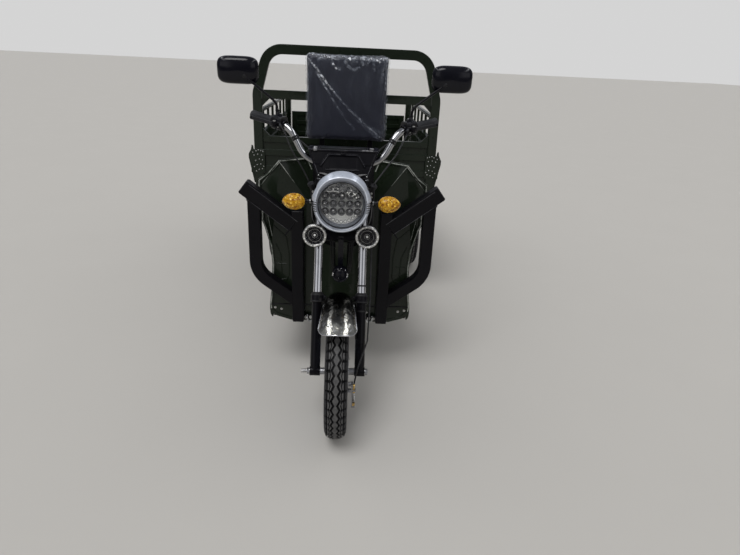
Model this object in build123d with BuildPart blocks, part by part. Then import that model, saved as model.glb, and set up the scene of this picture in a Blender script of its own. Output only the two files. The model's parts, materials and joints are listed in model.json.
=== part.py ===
from build123d import *
import os
from math import atan2, cos, degrees, radians, sin

# An electric cargo tricycle, in millimetres. It faces -Y, +X is the rider's left, and Z = 0 is the
# ground. Lengths along the vehicle are named as distances behind the front axle, and back() turns
# them into Y, so that the origin is below the middle of the whole vehicle.

os.makedirs("parts", exist_ok=True)

# Fits between pieces that are seated on each other, and between pieces that turn
SEAT_GAP = 0.3
RUNNING_GAP = 0.06
PIN_GAP = 0.08
SWING_GAP = 6.0

# Wheels
WHEEL_R = 250.0
WHEELBASE = 1900.0
FRONT_TYRE_W = 82.0
FRONT_RIM_R = 178.0
REAR_TYRE_W = 95.0
REAR_RIM_R = 152.0
REAR_TRACK = 920.0
BEAD_H = 12.0

# Cargo bed
BED_START = 1285.0
BED_END = 2800.0
BED_HALF_W = 510.0
FLOOR_TOP = 620.0
FLOOR_T = 2.0
WALL_TOP = 943.0
WALL_BOTTOM = 600.0
WALL_T = 25.0
WALL_OUT = BED_HALF_W - 2.0
POST_W = 46.0
HOOP_W = 50.0
HOOP_DEPTH = 30.0
HOOP_TOP = 1415.0
CROSSBAR_TOP = 1185.0
CROSSBAR_H = 45.0
CROSSBAR_INSET = 2.0
GUARD_TOP = 1075.0
GUARD_R = 12.5

# Drop-side hinges
HINGE_R = 8.0
HINGE_PIN_R = 4.0
HINGE_STANDOFF = 14.0
HINGE_Z = 592.0

# Fork and steering
RAKE = 25.0
FORK_HALF = 85.0
FORK_TUBE_R = 17.0
FORK_LEG_R = 19.5
FORK_COLLAR_R = 25.0
FORK_LEG_TOP = 292.0
FORK_LEG_LOW = -11.0
FORK_TUBE_TOP = 748.0
STEM_OFFSET = 45.0
STEM_R = 15.0
HEAD_TUBE_R = 26.0
LOWER_CLAMP = (505.0, 538.0)
UPPER_CLAMP = (715.0, 737.0)
AXLE_R = 7.0

# Front lamps: centres as half spread, distance behind the axle, height
HEADLAMP_Y, HEADLAMP_Z, HEADLAMP_R = 100.0, 877.0, 103.0
LENS_R = 84.0
SPOT_HALF, SPOT_Y, SPOT_Z, SPOT_R = 98.0, 150.0, 746.0, 45.0
SIGNAL_HALF, SIGNAL_Y, SIGNAL_Z = 172.0, 122.0, 880.0
SIGNAL_HALF_W, SIGNAL_HALF_H = 41.0, 30.5

# Handlebar and mirrors
BAR_R = 13.0
BAR_LOW_HALF = 142.0
BAR_MID_Y, BAR_MID_Z = 330.0, 985.0
BAR_BEND = (212.0, 370.0, 1113.0)
BAR_END = (365.0, 470.0, 1137.0)
GRIP_R = 19.0
MIRROR_HALF, MIRROR_Y, MIRROR_Z = 410.0, 425.0, 1302.0
MIRROR_W, MIRROR_H, MIRROR_D = 158.0, 102.0, 34.0

# Rider's place
FOOT_TOP = 332.0
FOOT_HALF = 313.0
FOOT_FRONT = 420.0
FOOT_BACK = 860.0
SHEET_T = 3.0
SEAT_BOX_FRONT, SEAT_BOX_BACK = 800.0, 1160.0
SEAT_BOX_HALF = 212.0
SEAT_Z = 690.0
CUSHION_H = 80.0

# Frame
RAIL_X = 280.0
RAIL_W = 40.0
RAIL_H = 60.0
RAIL_LOW_Z = 262.0
RAIL_HIGH_Z = 500.0
BED_RAIL = 38.0

# Crash bars
BAR_FACE = 360.0
BAR_T = 50.0

# Leg shield
SHIELD_FACE = 418.0
SHIELD_T = 2.5
SHIELD_DEPTH = 160.0

REAR_REACH = BED_END - 5.0 + HINGE_STANDOFF + HINGE_R
FRONT_AXLE_Y = (WHEEL_R - REAR_REACH) / 2
SIDES = (("left", 1), ("right", -1))


def back(distance):
    """Y of a station at this distance behind the front axle."""
    return FRONT_AXLE_Y + distance


def write(piece, name):
    """Label a finished piece and write it to its own STEP file."""
    piece.part.label = name
    export_step(piece.part, f"parts/{name}.step")


def block(x_range, y_range, z_range, mode=Mode.ADD):
    """A box between two X values, two distances behind the front axle and two heights."""
    size = [high - low for low, high in (x_range, y_range, z_range)]
    centre = ((x_range[0] + x_range[1]) / 2, back(sum(y_range) / 2), sum(z_range) / 2)
    with Locations(centre):
        return Box(*size, mode=mode)


def front_plane(distance):
    """An upright plane facing forwards, its X to the rider's left and its Y up."""
    return Plane(origin=(0, back(distance), 0), x_dir=(1, 0, 0), z_dir=(0, -1, 0))


def side_plane(x):
    """An upright lengthwise plane, its X to the rear and its Y up."""
    return Plane(origin=(x, back(0), 0), x_dir=(0, 1, 0), z_dir=(1, 0, 0))


def wheel_plane(x, distance):
    """The plane of a wheel's section: its X along the axle and its Y up."""
    return Plane(origin=(x, back(distance), WHEEL_R), x_dir=(1, 0, 0), z_dir=(0, -1, 0))


def axle_plane(x, distance, height=WHEEL_R):
    """A lengthwise plane centred on an axle, facing +X."""
    return Plane(origin=(x, back(distance), height), x_dir=(0, 1, 0), z_dir=(1, 0, 0))


# The fork's own plane stands square to the tubes: X to the left, Y to the rear, Z up the tubes
FORK = Plane(
    origin=(0, back(0), WHEEL_R), x_dir=(1, 0, 0), z_dir=(0, sin(radians(RAKE)), cos(radians(RAKE)))
)


def fork_level(height):
    """The fork's cross plane at a height along the tubes."""
    return FORK.offset(height)


def fork_height(distance, along):
    """Height above the ground of a fork level at a distance behind the front axle."""
    return WHEEL_R + (along - distance * sin(radians(RAKE))) / cos(radians(RAKE))


# Wheels


# columns: share of the half width, share of the height from the rim to the crown
BEAD_SHARE = 0.64
TYRE_WALL = ((0.90, 0.33), (1.0, 0.54), (0.96, 0.72), (0.86, 0.84), (0.64, 0.93), (0.34, 0.983), (0.0, 1.0))


def tyre(x, distance, width, rim_r):
    """A tyre as a closed ring with an upright bead, a bulged wall and a round crown."""
    half = width / 2
    bead = half * BEAD_SHARE
    height = WHEEL_R - rim_r
    outline = [(bead, rim_r), (bead, rim_r + BEAD_H)]
    outline += [(half * across, rim_r + height * up) for across, up in TYRE_WALL]
    outline += [(-across, up) for across, up in reversed(outline[:-1])]
    with BuildPart() as ring:
        with BuildSketch(wheel_plane(x, distance)):
            with BuildLine():
                Polyline(*outline, close=True)
            make_face()
        revolve(axis=Axis((x, back(distance), WHEEL_R), (1, 0, 0)))
    return ring


def ring_section(x_range, r_range):
    """A rectangle in a wheel's section plane."""
    with Locations((sum(x_range) / 2, sum(r_range) / 2)):
        Rectangle(x_range[1] - x_range[0], r_range[1] - r_range[0])


def rim(x, distance, width, rim_r, out, sections, holes):
    """A pressed steel wheel: barrel, two flanges, the sections of disc, drum and hub, and vent holes.

    out is +1 where the wheel's outer side is towards +X. sections are (from, to, inner r, outer r)
    along the axle, measured towards the outer side. holes is (count, radius, pitch radius).
    """
    bead = width / 2 * BEAD_SHARE
    count, hole_r, pitch_r = holes
    with BuildPart() as wheel:
        with BuildSketch(wheel_plane(x, distance)):
            ring_section((-bead - 4, bead + 4), (rim_r - 5, rim_r - SEAT_GAP))
            for side in (-1, 1):
                flange = sorted((side * (bead + 0.4), side * (bead + 4)))
                ring_section(flange, (rim_r - 5, rim_r + BEAD_H - 3))
            for start, end, inner, outer in sections:
                ring_section(sorted((out * start, out * end)), (inner, outer))
        revolve(axis=Axis((x, back(distance), WHEEL_R), (1, 0, 0)))
        with BuildSketch(axle_plane(x, distance)):
            with PolarLocations(pitch_r, count):
                Circle(hole_r)
        extrude(amount=width, both=True, mode=Mode.SUBTRACT)
    return wheel


DRUM_R = 72.0
HUB_HALF = 42.0
front_tyre = tyre(0, 0, FRONT_TYRE_W, FRONT_RIM_R)
front_rim = rim(
    0, 0, FRONT_TYRE_W, FRONT_RIM_R, 1,
    [
        (-HUB_HALF, 30, AXLE_R + RUNNING_GAP, 26),
        (-14, -8, 20, DRUM_R),
        (-14, 32, DRUM_R - 6, DRUM_R),
        (-14, -9, DRUM_R - 6, FRONT_RIM_R - 3),
    ],
    (8, 20, (DRUM_R + FRONT_RIM_R) / 2),
)
write(front_tyre, "front_tyre")
write(front_rim, "front_rim")

SPINDLE_R = 15.0
REAR_DRUM_R = 92.0
REAR_DRUM_W = 44.0
REAR_X = REAR_TRACK / 2
for name, sign in SIDES:
    rear_tyre = tyre(sign * REAR_X, WHEELBASE, REAR_TYRE_W, REAR_RIM_R)
    rear_rim = rim(
        sign * REAR_X, WHEELBASE, REAR_TYRE_W, REAR_RIM_R, sign,
        [
            (-REAR_DRUM_W - 20, 24, SPINDLE_R + RUNNING_GAP, 34),
            (-20, -14, 30, REAR_DRUM_R),
            (-REAR_DRUM_W - 20, -14, REAR_DRUM_R - 8, REAR_DRUM_R),
            (4, 10, 30, REAR_RIM_R - 3),
        ],
        (10, 15, (REAR_DRUM_R + REAR_RIM_R) / 2 - 6),
    )
    write(rear_tyre, f"rear_tyre_{name}")
    write(rear_rim, f"rear_rim_{name}")


# Fork

# Axle bolt with a spacer each side of the hub, its head on the left and a nut on the long thread
LEG_OUT = FORK_HALF + FORK_LEG_R
AXLE_THREAD, AXLE_HEAD = 28.0, 12.0
with BuildPart() as front_axle:
    with BuildSketch(axle_plane(-LEG_OUT - AXLE_THREAD, 0)):
        Circle(AXLE_R)
    extrude(amount=2 * LEG_OUT + AXLE_THREAD + AXLE_HEAD)
    for side in (-1, 1):
        inner = FORK_HALF - FORK_LEG_R - SEAT_GAP
        with BuildSketch(axle_plane(side * (HUB_HALF + 0.5), 0)):
            Circle(AXLE_R + 6)
        extrude(amount=side * (inner - HUB_HALF - 0.5))
        with BuildSketch(axle_plane(side * (LEG_OUT + SEAT_GAP), 0)):
            RegularPolygon(12, 6)
        extrude(amount=side * 10)
write(front_axle, "front_axle")

with BuildPart() as fork_legs:
    for side in (-1, 1):
        with BuildSketch(fork_level(FORK_LEG_LOW)):
            with Locations((side * FORK_HALF, 0)):
                Circle(FORK_LEG_R - 3)
        with BuildSketch(fork_level(30)):
            with Locations((side * FORK_HALF, 0)):
                Circle(FORK_LEG_R)
        loft()
        with BuildSketch(fork_level(30)):
            with Locations((side * FORK_HALF, 0)):
                Circle(FORK_LEG_R)
        extrude(amount=FORK_LEG_TOP - 30)
        with BuildSketch(fork_level(FORK_LEG_TOP - 30)):
            with Locations((side * FORK_HALF, 0)):
                Circle(FORK_COLLAR_R)
        extrude(amount=30)
        with BuildSketch(axle_plane(side * (FORK_HALF - FORK_LEG_R), 0)):
            Circle(FORK_LEG_R - 2)
        extrude(amount=side * 2 * FORK_LEG_R)
        with BuildSketch(fork_level(FORK_LEG_TOP - 90)):
            with Locations((side * FORK_HALF, 0)):
                Circle(FORK_TUBE_R + SEAT_GAP)
        extrude(amount=91, mode=Mode.SUBTRACT)
    with BuildSketch(axle_plane(0, 0)):
        Circle(AXLE_R + SEAT_GAP)
    extrude(amount=LEG_OUT + 10, both=True, mode=Mode.SUBTRACT)
write(fork_legs, "fork_legs")

with BuildPart() as fork_tubes:
    with BuildSketch(fork_level(FORK_LEG_TOP - 90 + SEAT_GAP)):
        with Locations((-FORK_HALF, 0), (FORK_HALF, 0)):
            Circle(FORK_TUBE_R)
    extrude(amount=FORK_TUBE_TOP - FORK_LEG_TOP + 90)
write(fork_tubes, "fork_tubes")


def clamp_outline():
    """The outline of a fork clamp: a hull round both tubes and the stem."""
    with Locations((-FORK_HALF, 0), (FORK_HALF, 0)):
        Circle(FORK_TUBE_R + 9)
    with Locations((0, STEM_OFFSET)):
        Circle(STEM_R + 11)
    make_hull()


# Clamps: the lower one carries the stem and two ears for the spot lamps, the upper one two risers
SPOT_EAR = (SPOT_Y + 36, SPOT_Y + 41)
RISER_HALF = 34.0
RISER_REACH = 18.0
with BuildPart() as lower_clamp:
    with BuildSketch(fork_level(LOWER_CLAMP[0])):
        clamp_outline()
    extrude(amount=LOWER_CLAMP[1] - LOWER_CLAMP[0])
    with BuildSketch(fork_level(LOWER_CLAMP[1])):
        with Locations((0, STEM_OFFSET)):
            Circle(STEM_R)
    extrude(amount=UPPER_CLAMP[1] + 14 - LOWER_CLAMP[1])
    for side in (-1, 1):
        ear_x = sorted((side * (SPOT_HALF - 3), side * (SPOT_HALF + 14)))
        block(ear_x, (SPOT_EAR[0], 232), (700, 712))
        block(ear_x, SPOT_EAR, (700, SPOT_Z + 14))
    with BuildSketch(fork_level(LOWER_CLAMP[0] - 40)):
        with Locations((-FORK_HALF, 0), (FORK_HALF, 0)):
            Circle(FORK_TUBE_R + SEAT_GAP)
    extrude(amount=160, mode=Mode.SUBTRACT)
write(lower_clamp, "lower_clamp")

with BuildPart() as upper_clamp:
    with BuildSketch(fork_level(UPPER_CLAMP[0])):
        clamp_outline()
    extrude(amount=UPPER_CLAMP[1] - UPPER_CLAMP[0])
    with BuildSketch(fork_level(UPPER_CLAMP[0] - 1)):
        with Locations((-FORK_HALF, 0), (FORK_HALF, 0)):
            Circle(FORK_TUBE_R + SEAT_GAP)
        with Locations((0, STEM_OFFSET)):
            Circle(STEM_R + SEAT_GAP)
    extrude(amount=60, mode=Mode.SUBTRACT)
    for side in (-1, 1):
        with BuildSketch(side_plane(side * RISER_HALF - 10)):
            with BuildLine():
                front, rear = BAR_MID_Y - RISER_REACH, BAR_MID_Y + RISER_REACH
                top = BAR_MID_Z + RISER_REACH
                foot = UPPER_CLAMP[0] + 8
                Polyline((front, fork_height(front, foot)), (front, top), (rear, top),
                         (rear, fork_height(rear, foot)), close=True)
            make_face()
        extrude(amount=20)
    with BuildSketch(side_plane(-60)):
        with Locations((BAR_MID_Y, BAR_MID_Z)):
            Circle(BAR_R + SEAT_GAP)
    extrude(amount=120, mode=Mode.SUBTRACT)
write(upper_clamp, "upper_clamp")

# Chrome fender: a domed band round the wheel that widens like a bell to a level front lip, whose
# corners are rounded square to the lip's own slope
FENDER_R = 305.0
FENDER_T = 2.0
FENDER_DROP = 36.0
# columns: degrees forward of straight up, half width
FENDER_SECTIONS = ((40, 69), (28, 67), (12, 61), (-8, 55), (-34, 52), (-62, 52))
LIP_Y, LIP_Z, LIP_SLOPE = -175.0, 500.0, 28.6
LIP_HALF, LIP_CORNER = 67.0, 26.0
LIP = Plane(
    origin=(0, back(LIP_Y), LIP_Z), x_dir=(1, 0, 0),
    z_dir=(0, -cos(radians(LIP_SLOPE)), sin(radians(LIP_SLOPE)))
)


def fender_plane(angle):
    """The radial plane of the fender at an angle forward of straight up: X left, Y outwards."""
    a = radians(angle)
    return Plane(
        origin=(0, back(0), WHEEL_R), x_dir=(1, 0, 0), z_dir=(0, -cos(a), -sin(a))
    )


with BuildPart() as front_fender:
    for angle, half in FENDER_SECTIONS:
        with BuildSketch(fender_plane(angle)):
            with BuildLine():
                low = FENDER_R - FENDER_DROP
                ThreePointArc((-half, low), (0, FENDER_R), (half, low))
                Line((half, low), (half - FENDER_T, low))
                ThreePointArc((half - FENDER_T, low), (0, FENDER_R - FENDER_T), (FENDER_T - half, low))
                Line((FENDER_T - half, low), (-half, low))
            make_face()
    loft()
    with BuildSketch(LIP):
        with Locations((0, FENDER_R / 2)):
            RectangleRounded(2 * LIP_HALF, FENDER_R, LIP_CORNER)
    extrude(amount=2 * FENDER_R, both=True, mode=Mode.INTERSECT)
    for side in (-1, 1):
        with BuildSketch(fork_level(FORK_LEG_TOP - 13)):
            with Locations((side * 51, 0)):
                Rectangle(24, 16)
        extrude(amount=9)
    add(fork_legs.part, mode=Mode.SUBTRACT)
write(front_fender, "front_fender")

# Front brake: the panel that closes the drum, its arm and the cam's boss
PANEL_X = 38.0
with BuildPart() as front_brake:
    with BuildSketch(axle_plane(PANEL_X, 0)):
        Circle(DRUM_R)
        Circle(AXLE_R + SEAT_GAP, mode=Mode.SUBTRACT)
    extrude(amount=4)
    with BuildSketch(axle_plane(PANEL_X + 4, -34, WHEEL_R - 34)):
        Circle(9)
    extrude(amount=14)
    block((PANEL_X + 18, PANEL_X + 23), (-52, -26), (WHEEL_R - 122, WHEEL_R - 26))
write(front_brake, "front_brake")

# Horn under the lower clamp
HORN_Y, HORN_Z, HORN_R = 165.0, 582.0, 31.0
with BuildPart() as horn:
    with BuildSketch(front_plane(HORN_Y + 28)):
        with Locations((0, HORN_Z)):
            Circle(HORN_R)
    extrude(amount=28)
    fillet(horn.faces().sort_by(Axis.Y)[0].edges(), 5)
    block((-10, 10), (HORN_Y + 28, HORN_Y + 31), (HORN_Z - 10, 730))
    add(lower_clamp.part, mode=Mode.SUBTRACT)
write(horn, "horn")


# Headlamp

SHELL_FRONT = HEADLAMP_Y + 22
SHELL_DEPTH, SHELL_RIM_DEPTH, SHELL_RIM_R = 92.0, 26.0, HEADLAMP_R - 8
LAMP_AXIS = Axis((0, back(0), HEADLAMP_Z), (0, 1, 0))
LAMP_SECTION = Plane(origin=(0, back(0), HEADLAMP_Z), x_dir=(0, 1, 0), z_dir=(1, 0, 0))
dome_centre = (SHELL_DEPTH**2 - SHELL_RIM_DEPTH**2 - SHELL_RIM_R**2) / (2 * (SHELL_DEPTH - SHELL_RIM_DEPTH))
dome_r = SHELL_DEPTH - dome_centre
dome_angle = degrees(atan2(SHELL_RIM_R, SHELL_RIM_DEPTH - dome_centre))
with BuildPart() as headlamp_shell:
    with BuildSketch(LAMP_SECTION):
        with BuildLine():
            Polyline((SHELL_FRONT + SHELL_DEPTH, 0), (SHELL_FRONT, 0), (SHELL_FRONT, HEADLAMP_R - 4),
                     (SHELL_FRONT + SHELL_RIM_DEPTH, SHELL_RIM_R))
            CenterArc((SHELL_FRONT + dome_centre, 0), dome_r, 0, dome_angle)
        make_face()
    revolve(axis=LAMP_AXIS)
write(headlamp_shell, "headlamp_shell")

# Silver bezel: a rounded ring with a brow over its upper third
BEZEL_DEPTH = 40.0
BROW_HALF_ANGLE = 52.0
with BuildPart() as headlamp_bezel:
    with BuildSketch(LAMP_SECTION):
        front = SHELL_FRONT - BEZEL_DEPTH
        with BuildLine():
            Polyline((SHELL_FRONT - SEAT_GAP, HEADLAMP_R - 2), (SHELL_FRONT - SEAT_GAP, LENS_R),
                     (front + 8, LENS_R), (front, LENS_R + 6))
            ThreePointArc(
                (front, LENS_R + 6), (front + 9, HEADLAMP_R - 3), (front + 26, HEADLAMP_R)
            )
            Line((front + 26, HEADLAMP_R), (SHELL_FRONT - SEAT_GAP, HEADLAMP_R - 2))
        make_face()
    revolve(axis=LAMP_AXIS)
    tilt = radians(BROW_HALF_ANGLE)
    brow_start = Plane(
        origin=(0, back(0), HEADLAMP_Z), x_dir=(0, 1, 0), z_dir=(cos(tilt), 0, -sin(tilt))
    )
    with BuildSketch(brow_start):
        with Locations((front + 6, HEADLAMP_R + 2)):
            Rectangle(32, 14)
    revolve(axis=Axis((0, back(0), HEADLAMP_Z), (0, -1, 0)), revolution_arc=2 * BROW_HALF_ANGLE)
write(headlamp_bezel, "headlamp_bezel")

# LED insert: a plate with three rows of five reflector cups and an arc of small ones
CUP_PITCH = 29.0
CUP_R = 11.5
CUP_ROWS = (33.0, 4.0, -25.0)
with BuildPart() as headlamp_insert:
    with BuildSketch(front_plane(SHELL_FRONT - SEAT_GAP)):
        with Locations((0, HEADLAMP_Z)):
            Circle(LENS_R - SEAT_GAP)
    extrude(amount=18)
    for row in CUP_ROWS:
        for column in range(-2, 3):
            with Locations(
                Location((column * CUP_PITCH, back(SHELL_FRONT - 18), HEADLAMP_Z + row), (90, 0, 0))
            ):
                Cone(5, CUP_R, 12, align=(Align.CENTER, Align.CENTER, Align.MAX), mode=Mode.SUBTRACT)
write(headlamp_insert, "headlamp_insert")

with BuildPart() as headlamp_lens:
    with BuildSketch(front_plane(SHELL_FRONT - BEZEL_DEPTH + 16)):
        with Locations((0, HEADLAMP_Z)):
            Circle(LENS_R - SEAT_GAP)
    extrude(amount=4)
write(headlamp_lens, "headlamp_lens")

# Brackets from the fork tubes to the headlamp's sides
EAR_S = 690.0
EAR_X = HEADLAMP_R + 2.0
with BuildPart() as lamp_brackets:
    for side in (-1, 1):
        with BuildSketch(fork_level(EAR_S - 14)):
            with Locations((side * FORK_HALF, 0)):
                Circle(FORK_TUBE_R + 5)
        extrude(amount=28)
        with BuildSketch(side_plane(side * EAR_X)):
            with BuildLine():
                Polyline((SHELL_FRONT + 6, HEADLAMP_Z - 14), (SHELL_FRONT + 6, HEADLAMP_Z + 14),
                         (300, HEADLAMP_Z + 6), (300, HEADLAMP_Z - 20), (SHELL_FRONT + 6, HEADLAMP_Z - 14))
            make_face()
        extrude(amount=side * 4)
        block(sorted((side * (HEADLAMP_R - 6.5), side * (EAR_X + 1))), (SHELL_FRONT + 8, SHELL_FRONT + 20),
              (HEADLAMP_Z - 6, HEADLAMP_Z + 6))
        block(sorted((side * (FORK_HALF + 12), side * (EAR_X + 1))), (276, 300),
              (HEADLAMP_Z - 18, HEADLAMP_Z + 4))
        with BuildSketch(fork_level(EAR_S - 60)):
            with Locations((side * FORK_HALF, 0)):
                Circle(FORK_TUBE_R + SEAT_GAP)
        extrude(amount=120, mode=Mode.SUBTRACT)
    with BuildSketch(LAMP_SECTION):
        with BuildLine():
            Polyline((SHELL_FRONT - 20, 0), (SHELL_FRONT - 20, HEADLAMP_R - 4 + SEAT_GAP),
                     (SHELL_FRONT, HEADLAMP_R - 4 + SEAT_GAP), (SHELL_FRONT + 26, HEADLAMP_R - 8 + SEAT_GAP),
                     (SHELL_FRONT + 40, HEADLAMP_R - 16), (SHELL_FRONT + 40, 0), (SHELL_FRONT - 20, 0))
        make_face()
    revolve(axis=LAMP_AXIS, mode=Mode.SUBTRACT)
write(lamp_brackets, "lamp_brackets")

# Spot lamps: black bodies and chrome rings
with BuildPart() as spot_lamps:
    for side in (-1, 1):
        with BuildSketch(front_plane(SPOT_EAR[0] - 6)):
            with Locations((side * SPOT_HALF, SPOT_Z)):
                Circle(SPOT_R - 10)
        with BuildSketch(front_plane(SPOT_Y)):
            with Locations((side * SPOT_HALF, SPOT_Z)):
                Circle(SPOT_R - 5)
        loft()
        with BuildSketch(front_plane(SPOT_EAR[0])):
            with Locations((side * (SPOT_HALF + 5), SPOT_Z)):
                Circle(7)
        extrude(amount=8)
write(spot_lamps, "spot_lamps")

with BuildPart() as spot_rings:
    for side in (-1, 1):
        with BuildSketch(front_plane(SPOT_Y - SEAT_GAP)):
            with Locations((side * SPOT_HALF, SPOT_Z)):
                Circle(SPOT_R)
                Circle(SPOT_R - 11, mode=Mode.SUBTRACT)
        extrude(amount=12)
    fillet(spot_rings.faces().group_by(Axis.Y)[0].edges(), 4)
write(spot_rings, "spot_rings")

# Turn signals: egg-shaped lenses, black backs and bright stalks


def signal_body(keep_front):
    """Both egg-shaped signals with their points outwards, cut at the joint of lens and back."""
    with BuildPart() as signals:
        for side in (-1, 1):
            centre = (side * SIGNAL_HALF, back(SIGNAL_Y), SIGNAL_Z)
            with BuildSketch(Plane(origin=centre, x_dir=(side, 0, 0), z_dir=(0, -side, 0))):
                with BuildLine():
                    ThreePointArc((-SIGNAL_HALF_W, 0), (-28, 21), (-4, SIGNAL_HALF_H))
                    ThreePointArc((-4, SIGNAL_HALF_H), (23, 21.5), (SIGNAL_HALF_W, 0))
                    Line((SIGNAL_HALF_W, 0), (-SIGNAL_HALF_W, 0))
                make_face()
            revolve(axis=Axis(centre, (1, 0, 0)))
        if keep_front:
            cuts = ((SIGNAL_Y - SEAT_GAP, SIGNAL_Y + 60),)
        else:
            cuts = ((SIGNAL_Y - 60, SIGNAL_Y), (SIGNAL_Y + 20, SIGNAL_Y + 60))
        for cut in cuts:
            block((-2 * SIGNAL_HALF, 2 * SIGNAL_HALF), cut, (SIGNAL_Z - 60, SIGNAL_Z + 60),
                  mode=Mode.SUBTRACT)
    return signals


signal_lenses = signal_body(keep_front=True)
write(signal_lenses, "signal_lenses")

# The stalks run from the brackets' arms into the backs of the signals
signal_rear = signal_body(keep_front=False)
with BuildPart() as signal_backs:
    add(signal_rear.part)
    for side in (-1, 1):
        with BuildSketch(axle_plane(side * (EAR_X + 4), SIGNAL_Y + 10, SIGNAL_Z)):
            Circle(6)
        extrude(amount=side * (SIGNAL_HALF - SIGNAL_HALF_W - EAR_X + 6))
write(signal_backs, "signal_backs")


# Handlebar, controls and mirrors

BAR_POINTS = [
    (-BAR_END[0], back(BAR_END[1]), BAR_END[2]),
    (-BAR_BEND[0], back(BAR_BEND[1]), BAR_BEND[2]),
    (-BAR_LOW_HALF, back(BAR_MID_Y), BAR_MID_Z),
    (BAR_LOW_HALF, back(BAR_MID_Y), BAR_MID_Z),
    (BAR_BEND[0], back(BAR_BEND[1]), BAR_BEND[2]),
    (BAR_END[0], back(BAR_END[1]), BAR_END[2]),
]
BAR_BEND_R = 48.0
with BuildPart() as handlebar:
    with BuildLine() as bar_line:
        FilletPolyline(*BAR_POINTS, radius=BAR_BEND_R)
    with BuildSketch(Plane(origin=bar_line.line @ 0, z_dir=bar_line.line % 0)):
        Circle(BAR_R)
    sweep(path=bar_line.line)
write(handlebar, "handlebar")


def bar_plane(side, along):
    """A plane square to the bar's straight end, at a distance from the bend point."""
    start = Vector(side * BAR_BEND[0], back(BAR_BEND[1]), BAR_BEND[2])
    end = Vector(side * BAR_END[0], back(BAR_END[1]), BAR_END[2])
    direction = (end - start).normalized()
    return Plane(origin=start + direction * along, x_dir=(0, 0, 1), z_dir=direction)


SWITCH_START, SWITCH_LENGTH = 26.0, 46.0
GRIP_START, GRIP_LENGTH = SWITCH_START + SWITCH_LENGTH + 4, 112.0
with BuildPart() as grips:
    for side in (-1, 1):
        with BuildSketch(bar_plane(side, GRIP_START)):
            Circle(GRIP_R)
        extrude(amount=GRIP_LENGTH)
        with BuildSketch(bar_plane(side, GRIP_START)):
            Circle(GRIP_R + 5)
        extrude(amount=5)
        with BuildSketch(bar_plane(side, GRIP_START - 1)):
            Circle(BAR_R + SEAT_GAP)
        bar_tip = (Vector(*BAR_END) - Vector(*BAR_BEND)).length
        extrude(amount=bar_tip + SEAT_GAP - GRIP_START + 1, mode=Mode.SUBTRACT)
write(grips, "grips")

# Controls: a switch housing each side with its lever, which runs before the grip
LEVER_POINTS = ((244.0, 374.0, 1116.0), (268.0, 344.0, 1120.0), (362.0, 404.0, 1134.0))
with BuildPart() as hand_controls:
    for side in (-1, 1):
        with BuildSketch(bar_plane(side, SWITCH_START)):
            RectangleRounded(52, 44, 12)
        extrude(amount=SWITCH_LENGTH)
        points = [(side * x, back(y), z) for x, y, z in LEVER_POINTS]
        with BuildLine() as lever_line:
            FilletPolyline(*points, radius=30)
        start = Plane(origin=lever_line.line @ 0, x_dir=(0, 0, 1), z_dir=lever_line.line % 0)
        with BuildSketch(start):
            RectangleRounded(14, 8, 3)
        sweep(path=lever_line.line)
        with BuildSketch(bar_plane(side, SWITCH_START - 1)):
            Circle(BAR_R + SEAT_GAP)
        extrude(amount=SWITCH_LENGTH + 2, mode=Mode.SUBTRACT)
write(hand_controls, "hand_controls")

# Mirrors: a domed housing on a bent stalk that stands on the switch housing
STALK_BASE = (259.0, 400.0, 1138.0)
STALK_POINTS = (
    STALK_BASE, (STALK_BASE[0] + 3, STALK_BASE[1] + 2, 1192.0),
    (MIRROR_HALF - 22, MIRROR_Y + 12, MIRROR_Z - 20)
)
STALK_R = 5.0
MIRROR_X = MIRROR_HALF + 5
with BuildPart() as mirrors:
    for side in (-1, 1):
        points = [(side * x, back(y), z) for x, y, z in STALK_POINTS]
        with BuildLine() as stalk_line:
            FilletPolyline(*points, radius=18)
        with BuildSketch(Plane(origin=stalk_line.line @ 0, z_dir=stalk_line.line % 0)):
            Circle(STALK_R)
        sweep(path=stalk_line.line)
        with BuildSketch(front_plane(MIRROR_Y + MIRROR_D)):
            with Locations((side * MIRROR_X, MIRROR_Z)):
                RectangleRounded(MIRROR_W, MIRROR_H, 30)
        with BuildSketch(front_plane(MIRROR_Y)):
            with Locations((side * MIRROR_X, MIRROR_Z)):
                RectangleRounded(MIRROR_W - 36, MIRROR_H - 30, 26)
        loft()
    add(hand_controls.part, mode=Mode.SUBTRACT)
write(mirrors, "mirrors")

with BuildPart() as mirror_glass:
    with BuildSketch(front_plane(MIRROR_Y + MIRROR_D + 3)):
        for side in (-1, 1):
            with Locations((side * MIRROR_X, MIRROR_Z)):
                RectangleRounded(MIRROR_W - 12, MIRROR_H - 12, 25)
    extrude(amount=3)
write(mirror_glass, "mirror_glass")

# Dash cowl: a tapered hood open below, with notches for the bar and a recessed front
COWL_LOW, COWL_HIGH = 940.0, 1040.0
COWL_HALF_LOW, COWL_HALF_HIGH = 92.0, 135.0
COWL_LOW_Y = (243.0, 372.0)
COWL_HIGH_Y = (290.0, 382.0)
COWL_T = 4.0


def cowl_body(inset):
    """The cowl's outer body, or the same shrunk by a wall on every side but the open one."""
    low, high = COWL_LOW - (1 if inset else 0), COWL_HIGH - inset
    with BuildPart() as body:
        for z, half, y_range in ((low, COWL_HALF_LOW, COWL_LOW_Y), (high, COWL_HALF_HIGH, COWL_HIGH_Y)):
            with BuildSketch(Plane.XY.offset(z)):
                with Locations((0, back(sum(y_range) / 2))):
                    Rectangle(2 * (half - inset), y_range[1] - y_range[0] - 2 * inset)
        loft()
    return body.part


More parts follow.
